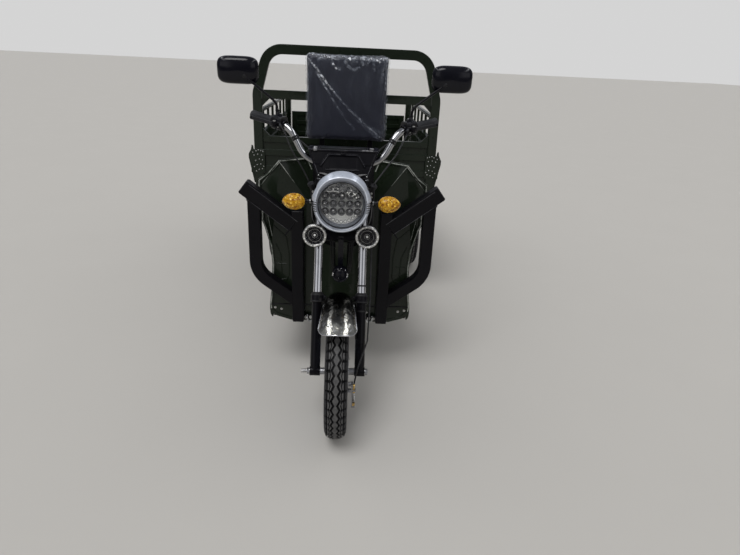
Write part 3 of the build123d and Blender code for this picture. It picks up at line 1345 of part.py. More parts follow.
# Front brake cable along the fork from the left lever to the arm
CABLE_R = 3.0
CABLE_POINTS = (
    (250, 360, 1110), (200, 285, 1030), (119, 226, 930), (119, 232, 742), (119, 118, 500),
    (112, 34, 366), (76, -44, 290), (64.3, -44, 215), (64.3, -44, 132),
)
with BuildPart() as brake_cable:
    with BuildLine() as cable_line:
        FilletPolyline(*[(x, back(y), z) for x, y, z in CABLE_POINTS], radius=20)
    with BuildSketch(Plane(origin=cable_line.line @ 0, z_dir=cable_line.line % 0)):
        Circle(CABLE_R)
    sweep(path=cable_line.line)
write(brake_cable, "brake_cable")
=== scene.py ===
import json
import math

import bmesh
import bpy
from mathutils import Matrix, Vector, noise
from mathutils.bvhtree import BVHTree


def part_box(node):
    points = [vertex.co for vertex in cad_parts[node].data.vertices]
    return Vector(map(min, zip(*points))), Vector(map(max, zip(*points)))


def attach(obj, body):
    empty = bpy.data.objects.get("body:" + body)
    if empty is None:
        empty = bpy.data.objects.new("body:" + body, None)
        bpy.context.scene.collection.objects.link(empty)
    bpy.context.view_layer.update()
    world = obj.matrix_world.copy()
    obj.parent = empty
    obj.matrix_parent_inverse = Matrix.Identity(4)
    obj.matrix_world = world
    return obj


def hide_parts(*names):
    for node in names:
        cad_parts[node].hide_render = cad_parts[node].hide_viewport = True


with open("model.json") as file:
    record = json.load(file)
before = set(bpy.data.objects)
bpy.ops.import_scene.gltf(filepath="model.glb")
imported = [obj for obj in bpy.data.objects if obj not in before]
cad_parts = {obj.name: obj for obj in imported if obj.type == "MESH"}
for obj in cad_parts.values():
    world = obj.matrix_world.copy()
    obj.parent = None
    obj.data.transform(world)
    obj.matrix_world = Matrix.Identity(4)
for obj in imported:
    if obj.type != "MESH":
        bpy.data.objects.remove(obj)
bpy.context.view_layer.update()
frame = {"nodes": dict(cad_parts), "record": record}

bl_info = {
    "name": "Cargo Tricycle Dressing",
    "version": (1, 0, 0),
    "blender": (4, 5, 0),
    "location": "View3D > Sidebar > Tricycle",
    "description": "Tyres, lamps, upholstery, hardware and finishes for an electric cargo tricycle",
    "category": "Add Mesh",
}

# Lengths in the pieces below are in millimetres: left of the middle, behind the front axle, above the
# ground. The vehicle faces -Y.
AXLE_Y = -1283.5
WHEEL_R = 250.0
WHEELBASE = 1900.0
RAKE = math.radians(25)
STEM_OFF = 45.0  # the head tube's middle, behind the plane of the fork tubes
REAR_X = 460.0
SPRING_X = 280.0
HINGE_X = 522.0
HINGES = (1500, 2035, 2570)  # the middles of a side's hinges, behind the front axle
WALL_X = 508.5
SIDES = (("left", 1), ("right", -1))


def at(x, behind, z):
    """A point in the model's frame, in metres."""
    return Vector((x, AXLE_Y + behind, z)) / 1000


def fork(x, level, off=0.0):
    """A point along the fork tubes: left, up the tubes from the axle, and behind their plane."""
    return at(x, level * math.sin(RAKE) + off * math.cos(RAKE),
              WHEEL_R + level * math.cos(RAKE) - off * math.sin(RAKE))


FORK_UP = Vector((0, math.sin(RAKE), math.cos(RAKE)))
FORK_BACK = Vector((0, math.cos(RAKE), -math.sin(RAKE)))
LEFT, BACK, UP = Vector((1, 0, 0)), Vector((0, 1, 0)), Vector((0, 0, 1))


# Shapes


def square_to(axis):
    """Two directions square to an axis, the first as near to level as it can be."""
    axis = axis.normalized()
    across = axis.cross(UP if abs(axis.z) < 0.9 else BACK).normalized()
    return across, axis.cross(across).normalized()


class Shape:
    """Collects the faces of one piece. Radii and sizes are in millimetres, points in metres."""

    def __init__(self):
        self.points = []
        self.faces = []

    def add(self, points, faces):
        base = len(self.points)
        self.points += points
        self.faces += [[base + i for i in face] for face in faces]

    def rows(self, rows, closed=True, ends=(False, False), joined=False):
        """A skin over rows of points. closed joins each row's ends, joined the last row to the first."""
        count = len(rows[0])
        points = [p for row in rows for p in row]
        faces = []
        for r in range(len(rows) if joined else len(rows) - 1):
            low, high = r * count, (r + 1) % len(rows) * count
            for c in range(count if closed else count - 1):
                d = (c + 1) % count
                faces.append([low + c, low + d, high + d, high + c])
        if ends[0]:
            faces.append(list(range(count))[::-1])
        if ends[1]:
            faces.append([len(points) - count + i for i in range(count)])
        self.add(points, faces)

    def lathe(self, origin, axis, profile, steps=48, joined=False):
        """Turns (radius, along) pairs round an axis through origin."""
        axis = axis.normalized()
        across, over = square_to(axis)
        rows = []
        for radius, along in profile:
            centre = origin + axis * along / 1000
            rows.append([
                centre + (across * math.cos(a) + over * math.sin(a)) * max(radius, 0.02) / 1000
                for a in (math.tau * i / steps for i in range(steps))
            ])
        ends = (False, False) if joined else (True, True)
        self.rows(rows, ends=ends, joined=joined)

    def tube(self, path, radius, sides=14, ends=(True, True)):
        """A round bar along points, without twist. radius may be one for each point."""
        path = [Vector(p) for p in path]
        radii = radius if isinstance(radius, (list, tuple)) else [radius] * len(path)
        heading = (path[1] - path[0]).normalized()
        across, over = square_to(heading)
        rows = []
        for i, point in enumerate(path):
            before = path[max(i - 1, 0)]
            after = path[min(i + 1, len(path) - 1)]
            new = (after - before).normalized()
            turn = heading.rotation_difference(new)
            across, over, heading = turn @ across, turn @ over, new
            rows.append([
                point + (across * math.cos(a) + over * math.sin(a)) * radii[i] / 1000
                for a in (math.tau * k / sides for k in range(sides))
            ])
        self.rows(rows, ends=ends)

    def block(self, low, high, round_off=1.5, turn=None, segments=2):
        """A box between two corners with rounded edges, turned about its centre by a matrix."""
        low, high = Vector(low), Vector(high)
        centre, size = (low + high) / 2, high - low
        bm = bmesh.new()
        bmesh.ops.create_cube(bm, size=1)
        for v in bm.verts:
            v.co = Vector(v.co[i] * abs(size[i]) for i in range(3))
        edge = min(round_off / 1000, min(abs(s) for s in size) * 0.45)
        bmesh.ops.bevel(bm, geom=bm.edges, offset=edge, segments=segments, profile=0.5, affect="EDGES")
        bm.verts.index_update()
        self.add([centre + (turn @ v.co if turn else v.co) for v in bm.verts],
                 [[v.index for v in f.verts] for f in bm.faces])
        bm.free()

    def cuboid(self, middle, half, *more):
        """A rounded box about its middle, with half its sizes in millimetres."""
        half = Vector(half) / 1000
        self.block(middle - half, middle + half, *more)

    def prism(self, outline, offset, round_off=0.0):
        """A plate on a flat outline of points, thickened by an offset vector."""
        bm = bmesh.new()
        ring = [bm.verts.new(p) for p in outline]
        face = bm.faces.new(ring)
        far = bmesh.ops.extrude_face_region(bm, geom=[face])
        for v in (g for g in far["geom"] if isinstance(g, bmesh.types.BMVert)):
            v.co += offset
        if round_off:
            bmesh.ops.bevel(bm, geom=bm.edges, offset=round_off / 1000, segments=2, profile=0.5, affect="EDGES")
        bm.verts.index_update()
        self.add([v.co.copy() for v in bm.verts], [[v.index for v in f.verts] for f in bm.faces])
        bm.free()

    def mesh(self, name, sharp=35.0, merge=0.01):
        bm = bmesh.new()
        verts = [bm.verts.new(p) for p in self.points]
        for face in self.faces:
            corners = [verts[i] for i in dict.fromkeys(face)]
            if len(corners) > 2:
                try:
                    bm.faces.new(corners)
                except ValueError:
                    pass
        bmesh.ops.remove_doubles(bm, verts=bm.verts, dist=merge / 1000)
        bmesh.ops.dissolve_degenerate(bm, dist=merge / 1000, edges=bm.edges)
        bmesh.ops.recalc_face_normals(bm, faces=bm.faces)
        mesh = bpy.data.meshes.new(name)
        bm.to_mesh(mesh)
        bm.free()
        return smooth(mesh, sharp)

    def done(self, name, body, finish, sharp=35.0, replaces=(), merge=0.01):
        """The finished piece, which rides on a body and wears a finish."""
        return dress(linked(name, self.mesh(name, sharp, merge)), body, finish, replaces)


def smooth(mesh, sharp):
    mesh.shade_smooth()
    mesh.set_sharp_from_angle(angle=math.radians(sharp))
    return mesh


def settle(obj, modifier):
    """Keeps what a modifier makes as the object's own mesh."""
    made = bpy.data.meshes.new_from_object(obj.evaluated_get(bpy.context.evaluated_depsgraph_get()))
    obj.modifiers.remove(modifier)
    obj.data = made


def linked(name, mesh):
    obj = bpy.data.objects.new(name, mesh)
    bpy.context.scene.collection.objects.link(obj)
    return obj


def dress(obj, body, finish, replaces=()):
    """Gives a piece its finish and slot, puts it on its body and hides what it stands for."""
    obj.data.materials.clear()
    obj.data.materials.append(FINISHES[finish])
    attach(obj, body)
    if replaces:
        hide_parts(*replaces)
    return obj


def rounded(points, radius, steps=5):
    """A path through points with its corners rounded."""
    points = [Vector(p) for p in points]
    path = [points[0]]
    for before, corner, after in zip(points, points[1:], points[2:]):
        to_before, to_after = before - corner, after - corner
        reach = min(radius / 1000, to_before.length * 0.48, to_after.length * 0.48)
        first = corner + to_before.normalized() * reach
        last = corner + to_after.normalized() * reach
        for i in range(steps + 1):
            t = i / steps
            path.append(first * (1 - t) ** 2 + corner * 2 * t * (1 - t) + last * t * t)
    return path + [points[-1]]


def ramp(value, low, high):
    """0 below low, 1 above high and a soft step between."""
    t = min(max((value - low) / (high - low), 0.0), 1.0)
    return t * t * (3 - 2 * t)


# Finishes

FINISHES = {}


class Tree:
    """A node tree, with the nodes that every tree here is made of."""

    def __init__(self, tree):
        self.tree = tree

    def node(self, kind, inputs=None, **settings):
        """A node with its settings and its inputs, each a value or another node's output."""
        made = self.tree.nodes.new(kind)
        for key, value in settings.items():
            setattr(made, key, value)
        for key, value in (inputs or {}).items():
            if isinstance(value, bpy.types.NodeSocket):
                self.tree.links.new(value, made.inputs[key])
            else:
                made.inputs[key].default_value = value
        return made

    def maths(self, operation, *values):
        return self.node("ShaderNodeMath", dict(enumerate(values)), operation=operation).outputs[0]

    def range(self, value, low, high, to_low=0.0, to_high=1.0):
        return self.node("ShaderNodeMapRange", {
            "Value": value, "From Min": low, "From Max": high, "To Min": to_low, "To Max": to_high,
        }).outputs[0]

    def mix(self, factor, first, second):
        """Two colours mixed, each of three numbers or a node's output."""
        colours = [c if isinstance(c, bpy.types.NodeSocket) else (*c, 1) for c in (first, second)]
        return self.node("ShaderNodeMix", {0: factor, 6: colours[0], 7: colours[1]},
                         data_type="RGBA").outputs[2]


class Finish(Tree):
    """A Principled material that is built up layer by layer in object coordinates."""

    def __init__(self, name, colour, rough, **shader):
        self.material = bpy.data.materials.new(name)
        self.material.use_nodes = True
        super().__init__(self.material.node_tree)
        self.tree.nodes.clear()
        out = self.node("ShaderNodeOutputMaterial")
        self.shader = self.node("ShaderNodeBsdfPrincipled", {"Base Color": (*colour, 1), "Roughness": rough})
        for key, value in shader.items():
            self.shader.inputs[key.replace("_", " ").title().replace("Ior", "IOR")].default_value = value
        self.tree.links.new(self.shader.outputs[0], out.inputs[0])
        self.place = self.node("ShaderNodeTexCoord").outputs["Object"]
        self.colour, self.rough = colour, rough
        self.normal = None
        FINISHES[name] = self.material

    def noise(self, scale, detail=4.0, rough=0.55, place=None):
        return self.node("ShaderNodeTexNoise", {
            "Vector": place or self.place, "Scale": scale, "Detail": detail, "Roughness": rough,
        }).outputs["Fac"]

    def cells(self, scale, feature="F1", output="Distance"):
        return self.node("ShaderNodeTexVoronoi", {"Vector": self.place, "Scale": scale},
                         feature=feature).outputs[output]

    def stretched(self, scale, turn=(0, 0, 0)):
        return self.node("ShaderNodeMapping",
                         {"Vector": self.place, "Scale": scale, "Rotation": turn}).outputs[0]

    def pattern(self, first, *more):
        """Noise of a scale, detail and roughness or, after the name of an output, cells of a scale."""
        return self.cells(*more, output=first) if isinstance(first, str) else self.noise(first, *more)

    def height(self):
        return self.node("ShaderNodeSeparateXYZ", {0: self.place}).outputs["Z"]

    def marked(self, name):
        """The share that a mesh attribute gives each point."""
        return self.node("ShaderNodeAttribute", attribute_name=name).outputs["Fac"]

    def tint(self, factor, other):
        """Mixes another colour over the base colour by a factor."""
        base = self.shader.inputs["Base Color"]
        first = base.links[0].from_socket if base.is_linked else self.colour
        self.tree.links.new(self.mix(factor, first, other), base)
        return self

    def mottle(self, pattern, low, high, amount, colour, least=0.0):
        """Tints by a pattern, from least below its value low to amount above high."""
        return self.tint(self.range(self.pattern(*pattern), low, high, least, amount), colour)

    def wear(self, scale, spread, detail=5.0):
        """Varies the roughness over the surface."""
        value = self.range(self.noise(scale, detail), 0.3, 0.7, max(self.rough - spread, 0.02),
                           self.rough + spread)
        self.tree.links.new(value, self.shader.inputs["Roughness"])
        return self

    def bump(self, height, strength, distance):
        """Adds relief, with its depth in metres."""
        inputs = {"Height": height, "Strength": strength, "Distance": distance}
        if self.normal is not None:
            inputs["Normal"] = self.normal
        self.normal = self.node("ShaderNodeBump", inputs).outputs[0]
        self.tree.links.new(self.normal, self.shader.inputs["Normal"])
        return self

    def relief(self, pattern, strength, distance):
        return self.bump(self.pattern(*pattern), strength, distance)

    def dust(self, amount, colour=(0.23, 0.21, 0.18)):
        """Fine dust in patches, thicker near the ground."""
        low = self.range(self.height(), 0.1, 1.2, 1.0, 0.25)
        patches = self.range(self.noise(9, 6, 0.65), 0.42, 0.72, 0.0, amount)
        return self.tint(self.maths("MULTIPLY", low, patches), colour)


def make_finishes(colours):
    """Every finish on the vehicle, from the colours in the panel."""
    (Finish("body_paint", colours.body, 0.3, specular_ior_level=0.12, coat_weight=0.32, coat_roughness=0.07)
     .mottle((3.5, 2), 0.3, 0.7, 0.4, tuple(c * 1.45 for c in colours.body)).dust(0.02).wear(14, 0.07)
     .relief((420, 2), 0.05, 0.0004))
    # Painted highlight: a lighter green with bright patches, for lines along the leg shield's rim and creases.
    (Finish("rubbed_paint", tuple(c * 3.2 + 0.02 for c in colours.body), 0.22, coat_weight=0.7,
            coat_roughness=0.08)
     .mottle((24, 5, 0.7), 0.4, 0.6, 0.95, (0.5, 0.52, 0.48), 0.1).wear(30, 0.06))
    # Painted highlight: near black with light grey patches, for thin lines along the dash and the crash bars'
    # edges.
    (Finish("rubbed_black", (0.02, 0.02, 0.026), 0.3, coat_weight=0.5, coat_roughness=0.08)
     .mottle((20, 5, 0.7), 0.48, 0.7, 0.9, (0.12, 0.12, 0.13)).wear(30, 0.06))
    (Finish("weld", tuple(c * 0.9 for c in colours.body), 0.36, coat_weight=0.2, coat_roughness=0.12)
     .mottle((60, 3), 0.45, 0.75, 0.4, (0.02, 0.022, 0.018)).relief((300, 3), 0.4, 0.0006))
    (Finish("black_paint", (0.0028, 0.0026, 0.004), 0.34, specular_ior_level=0.08, coat_weight=0.12,
            coat_roughness=0.08)
     .mottle((6, 4), 0.45, 0.8, 0.3, (0.007, 0.0065, 0.009)).dust(0.012).wear(18, 0.08)
     .relief((350, 2), 0.06, 0.0004))
    (Finish("chassis_paint", (0.007, 0.007, 0.008), 0.5, specular_ior_level=0.25)
     .mottle((11, 6, 0.7), 0.55, 0.8, 0.35, (0.03, 0.026, 0.021)).dust(0.14).wear(25, 0.1)
     .relief((180, 4), 0.15, 0.0006))
    chrome = Finish("chrome", (0.56, 0.56, 0.57), 0.13, metallic=1.0)
    chrome.mottle((14, 5, 0.7), 0.5, 0.8, 0.55, (0.34, 0.34, 0.34))
    # Painted darker reflection: chrome above about 0.9 m, mostly the handlebar, is darkened.
    level = chrome.height()
    chrome.tint(chrome.range(level, 0.9, 0.96, 0.0, 0.55), (0.16, 0.16, 0.16))
    chrome.wear(30, 0.04)
    chrome.relief((11, 2), 0.1, 0.003)

    # The warm base colour stands in for the floor's reflection in the fender's lower part.
    pressed = Finish("pressed_chrome", (0.66, 0.64, 0.56), 0.17, metallic=1.0,
                     specular_tint=(0.4, 0.4, 0.4, 1.0))
    # Dark patches and bright white spots are painted reflections and glints.
    pressed.mottle((26, 5, 0.7), 0.42, 0.68, 0.75, (0.1, 0.1, 0.1))
    spots = pressed.noise(90, 3, 0.6)
    pressed.tint(pressed.range(spots, 0.58, 0.63, 0.0, 0.8), (1.0, 0.99, 0.95))
    # Painted dark reflection over the fender's top, from about 0.51 m up, with a ragged edge.
    level = pressed.height()
    level = pressed.maths("ADD", level, pressed.range(pressed.noise(40, 4), 0.3, 0.7, -0.012, 0.012))
    pressed.tint(pressed.range(level, 0.508, 0.535, 0.0, 0.9), (0.03, 0.03, 0.03))
    pressed.wear(40, 0.03)
    pressed.relief((38, 3), 0.55, 0.006)

    (Finish("zinc", (0.5, 0.5, 0.5), 0.3, metallic=0.9)
     .mottle(("Color", 260), 0.2, 0.8, 0.35, (0.6, 0.58, 0.5)).wear(90, 0.09).relief((500, 3), 0.1, 0.0003))
    steel = Finish("steel", (0.34, 0.34, 0.35), 0.38, metallic=0.85)
    steel.mottle((40, 6, 0.7), 0.5, 0.8, 0.55, (0.2, 0.18, 0.15))
    steel.wear(60, 0.1)
    steel.bump(steel.noise(8, 3, place=steel.stretched((1, 60, 60))), 0.08, 0.0003)

    (Finish("brass", (0.62, 0.42, 0.15), 0.3, metallic=0.9)
     .mottle((120, 4), 0.45, 0.8, 0.5, (0.36, 0.24, 0.1)).wear(150, 0.1))
    silver = Finish("silver", (0.42, 0.46, 0.54), 0.3, metallic=0.2, coat_weight=0.3, coat_roughness=0.12)
    silver.mottle((700, 2), 0.35, 0.75, 0.35, (0.54, 0.58, 0.66))
    # Painted shade inside the bezel's brow, within about 90 mm of the lamp's axis at the sides and about 100 mm
    # at the top, and a painted highlight in a thin ring just outside it, along the brow's lower edge.
    axis = silver.node("ShaderNodeSeparateXYZ", {0: silver.place})
    over = silver.maths("SUBTRACT", axis.outputs["Z"], 0.877)
    far = silver.maths("POWER",
                       silver.maths("ADD", silver.maths("POWER", axis.outputs["X"], 2.0),
                                    silver.maths("POWER", over, 2.0)), 0.5)
    far = silver.maths("SUBTRACT", far, silver.range(over, 0.02, 0.09, 0.0, 0.012))
    silver.tint(silver.range(far, 0.0895, 0.0915, 0.9, 0.0), (0.19, 0.205, 0.24))
    silver.tint(silver.maths("MULTIPLY", silver.range(far, 0.0905, 0.092, 0.0, 0.7),
                             silver.range(far, 0.093, 0.0955, 1.0, 0.0)), (0.8, 0.84, 0.92))
    silver.dust(0.12)
    silver.wear(40, 0.06)
    silver.relief((900, 2), 0.05, 0.0002)

    (Finish("black_plastic", (0.007, 0.007, 0.009), 0.42, specular_ior_level=0.3)
     .mottle((20, 5), 0.45, 0.8, 0.4, (0.016, 0.016, 0.018)).dust(0.1).wear(45, 0.08)
     .relief(("Distance", 900), 0.25, 0.0003))
    (Finish("gloss_black", (0.0035, 0.0035, 0.0065), 0.16, specular_ior_level=0.16, coat_weight=0.16,
            coat_roughness=0.05)
     .mottle((30, 6, 0.7), 0.55, 0.85, 0.3, (0.018, 0.018, 0.022)).wear(35, 0.05)
     .relief((30, 2), 0.06, 0.001))
    (Finish("battery_case", (0.02, 0.02, 0.022), 0.5).mottle((15, 5), 0.4, 0.8, 0.5, (0.05, 0.045, 0.04))
     .wear(30, 0.1).relief(("Distance", 500), 0.2, 0.0003))
    (Finish("lamp_plate", (0.95, 0.95, 0.93), 0.3, coat_weight=0.3, coat_roughness=0.08)
     .mottle(("Color", 420), 0.1, 0.9, 0.5, (0.7, 0.7, 0.69)).wear(80, 0.08)
     .relief(("Distance", 300), 0.3, 0.001))
    (Finish("reflector", (0.15, 0.155, 0.165), 0.22, metallic=0.4, coat_weight=0.3)
     .mottle(("Color", 300), 0.1, 0.9, 0.7, (0.34, 0.345, 0.35)).wear(80, 0.08)
     .relief(("Distance", 330), 0.3, 0.001))
    (Finish("cup_grey", (0.085, 0.087, 0.092), 0.35, metallic=0.2, coat_weight=0.2)
     .mottle((160, 4, 0.7), 0.4, 0.62, 0.9, (0.17, 0.172, 0.178)).wear(80, 0.08))
    (Finish("lamp_bowl", (0.003, 0.003, 0.006), 0.2, specular_ior_level=0.2, coat_weight=0.1)
     .mottle((60, 4), 0.4, 0.8, 0.5, (0.008, 0.008, 0.013)).wear(70, 0.05))
    # A bright white for small lamp parts and the reversing lenses, also used for painted glints and streaks on
    # the lamps.
    (Finish("led", (0.75, 0.75, 0.75), 0.15, coat_weight=0.6, coat_roughness=0.04)
     .mottle(("Distance", 520), 0.0, 0.5, 0.6, (0.95, 0.95, 0.9)).wear(200, 0.05))
    for name, clear, edge in (("clear_lens", 0.03, 0.2), ("lamp_glass", 0.01, 0.12)):
        lens = Finish(name, (0.1, 0.105, 0.11), 0.05, specular_ior_level=0.9, coat_weight=1.0,
                      coat_roughness=0.03)
        lens.mottle((25, 5), 0.5, 0.8, 0.2, (0.16, 0.17, 0.18))
        facing = lens.node("ShaderNodeLayerWeight", {"Blend": 0.35}).outputs["Facing"]
        lens.tree.links.new(lens.range(facing, 0.0, 1.0, clear, clear + edge), lens.shader.inputs["Alpha"])
        lens.wear(30, 0.02)

    amber = Finish("amber_lens", colours.amber, 0.2, specular_ior_level=0.2, coat_weight=0.2,
                   coat_roughness=0.05)
    # The facets' light and shade are painted: dark brown and bright yellow patches by noise.
    facets = amber.noise(85, 3, 0.6)
    amber.tint(amber.range(facets, 0.4, 0.52, 1.0, 0.0), (0.2, 0.065, 0.002))
    amber.mottle((110, 4, 0.7), 0.55, 0.62, 0.95, (1.0, 0.7, 0.12))
    rim = amber.marked("rim")
    amber.tint(rim, (0.95, 0.52, 0.1))
    amber.relief(("Distance", 88), 0.6, 0.004)
    amber.wear(60, 0.05)

    (Finish("red_lens", (0.3, 0.006, 0.008), 0.16, coat_weight=0.4, coat_roughness=0.05)
     .mottle(("Color", 160), 0.2, 0.8, 0.0, (0.12, 0.002, 0.003), 0.5).relief(("Distance", 160), 0.4, 0.003)
     .wear(50, 0.05))
    (Finish("red_button", (0.42, 0.015, 0.012), 0.35).mottle((90, 3), 0.4, 0.8, 0.5, (0.25, 0.015, 0.015))
     .wear(100, 0.08))
    (Finish("mirror_face", (0.78, 0.8, 0.82), 0.02, metallic=1.0)
     .mottle((40, 5), 0.55, 0.85, 0.15, (0.6, 0.62, 0.62)).wear(60, 0.015))
    (Finish("grip_rubber", (0.022, 0.023, 0.027), 0.62, specular_ior_level=0.3)
     .mottle((50, 5), 0.4, 0.8, 0.5, (0.042, 0.042, 0.046)).wear(70, 0.1).relief((700, 3), 0.25, 0.0004))
    (Finish("seal_rubber", (0.006, 0.006, 0.007), 0.5, specular_ior_level=0.3)
     .mottle((60, 5), 0.4, 0.8, 0.4, (0.018, 0.018, 0.018)).wear(60, 0.1).relief((500, 3), 0.2, 0.0003))
    (Finish("foot_mat", (0.012, 0.012, 0.013), 0.7, specular_ior_level=0.3)
     .mottle((12, 6, 0.7), 0.45, 0.75, 0.5, (0.04, 0.037, 0.032)).wear(40, 0.1)
     .relief((400, 3), 0.4, 0.0005))
    for name, scuff in (("tyre_rubber", 0.3), ("front_tread", 0.35), ("rear_tread", 0.4)):
        tyre = Finish(name, (0.021, 0.021, 0.024), 0.66, specular_ior_level=0.3)
        tyre.tint(tyre.range(tyre.noise(14, 6, 0.7), 0.42, 0.75, 0.0, scuff), (0.06, 0.057, 0.053))
        # Lighter on the tread's top faces in patches: partly scuffing, partly a painted highlight.
        worn = tyre.marked("edge")
        tyre.tint(tyre.maths("MULTIPLY", worn, tyre.range(tyre.noise(60, 4), 0.3, 0.7, 0.3, 0.9)),
                  (0.11, 0.108, 0.106))
        # Painted shade: darker down in the grooves, by their depth.
        groove = tyre.marked("groove")
        tyre.tint(groove, (0.0025, 0.0025, 0.003))
        tyre.wear(45, 0.1)
        tyre.relief((260, 5), 0.35, 0.0008)

    for name, grain in (("vinyl", 620), ("seat_vinyl", 480)):
        vinyl = Finish(name, colours.vinyl, 0.44, specular_ior_level=0.35)
        vinyl.mottle((7, 5), 0.35, 0.75, 0.5, tuple(c * 1.5 for c in colours.vinyl))
        vinyl.wear(20, 0.07)
        vinyl.bump(vinyl.cells(grain, feature="DISTANCE_TO_EDGE"), 0.35, 0.0006)
        vinyl.relief((16, 3), 0.12, 0.004)

    (Finish("piping", tuple(c * 0.7 for c in colours.vinyl), 0.4)
     .mottle((60, 3), 0.4, 0.8, 0.5, (0.02, 0.02, 0.024)).relief((300, 3), 0.3, 0.0004))
    film = Finish("seat_film", (0.34, 0.4, 0.52), 0.12, specular_ior_level=0.9, coat_weight=1.0,
                  coat_roughness=0.04)
    # Painted highlights: along the film's creases, side fins and top band its colour turns near white and its
    # alpha rises, flecked by the glint noise below.
    crease = film.marked("crease")
    streaks = film.noise(16, 6, 0.7, place=film.stretched((2.2, 1, 0.7), (0, math.radians(40), 0)))
    # Painted light: the haze rises from 0.15 at 0.95 m to full at 1.38 m, so the film's upper part reads
    # lighter.
    high = film.range(film.height(), 0.95, 1.38, 0.15, 1.0)
    haze_with_painted_top_light = film.maths("MULTIPLY", film.range(streaks, 0.42, 0.72, 0.02, 0.1), high)
    glints = film.range(film.noise(60, 4, 0.7), 0.44, 0.64, 0.06, 1.0)
    alpha = film.maths("ADD", film.maths("MULTIPLY", crease, glints), haze_with_painted_top_light)
    film.tree.links.new(alpha, film.shader.inputs["Alpha"])
    film.tint(crease, (0.9, 0.93, 1.0))
    film.wear(40, 0.05)
    film.relief((34, 6, 0.7), 0.6, 0.004)

    (Finish("blank_plate", (0.5, 0.5, 0.48), 0.35, coat_weight=0.2)
     .mottle((25, 6), 0.4, 0.8, 0.4, (0.34, 0.33, 0.3)).wear(40, 0.08))
    (Finish("display", (0.004, 0.005, 0.007), 0.3, specular_ior_level=0.12)
     .mottle((60, 4), 0.5, 0.8, 0.3, (0.014, 0.016, 0.02)).wear(60, 0.03))
    (Finish("grey_cable", (0.16, 0.16, 0.165), 0.42).mottle((70, 4), 0.4, 0.8, 0.5, (0.09, 0.088, 0.085))
     .wear(80, 0.1))


CAD_FINISHES = {"rear_axle": "chassis_paint", "bed_hinges": "body_paint", "rear_mudguards": "black_plastic"}
# The width of the rounded edges that a carried-over sheet or bar gets, in millimetres
EDGES = {
    "leg_shield": 2.2, "inner_shield": 1.5, "foot_floor": 2.0, "crash_bars": 7.0, "bed_hoop": 3.0,
    "bed_front": 3.0, "bed_frame": 2.0, "side_wall_left": 2.5, "side_wall_right": 2.5, "tailgate": 2.5,
    "corner_latches": 1.5, "frame_rails": 3.0, "seat_box": 2.5, "dash_cowl": 4.0, "upper_clamp": 2.0,
    "lower_clamp": 2.0, "frame_neck": 2.5, "lamp_brackets": 1.2, "fork_legs": 1.5, "backrest_frame": 2.0,
    "rear_mudguards": 1.0, "front_brake": 1.2,
}


def finish_cad_nodes():
    """Each CAD node that stays gets the finish its slot in the record names, and soft edges."""
    slots = {part["node"]: part["material_slot"] for part in frame["record"]["subparts"]}
    for name, obj in frame["nodes"].items():
        material = FINISHES[CAD_FINISHES.get(name, slots[name])]
        for slot in obj.material_slots:
            slot.material = material
        if name in EDGES:
            joint = obj.modifiers.new("joined corners", "WELD")
            joint.merge_threshold = 0.00005
            edge = obj.modifiers.new("soft edges", "BEVEL")
            edge.width, edge.segments, edge.limit_method = EDGES[name] / 1000, 3, "ANGLE"
            edge.angle_limit, edge.harden_normals = math.radians(28), False


# Repeated pieces


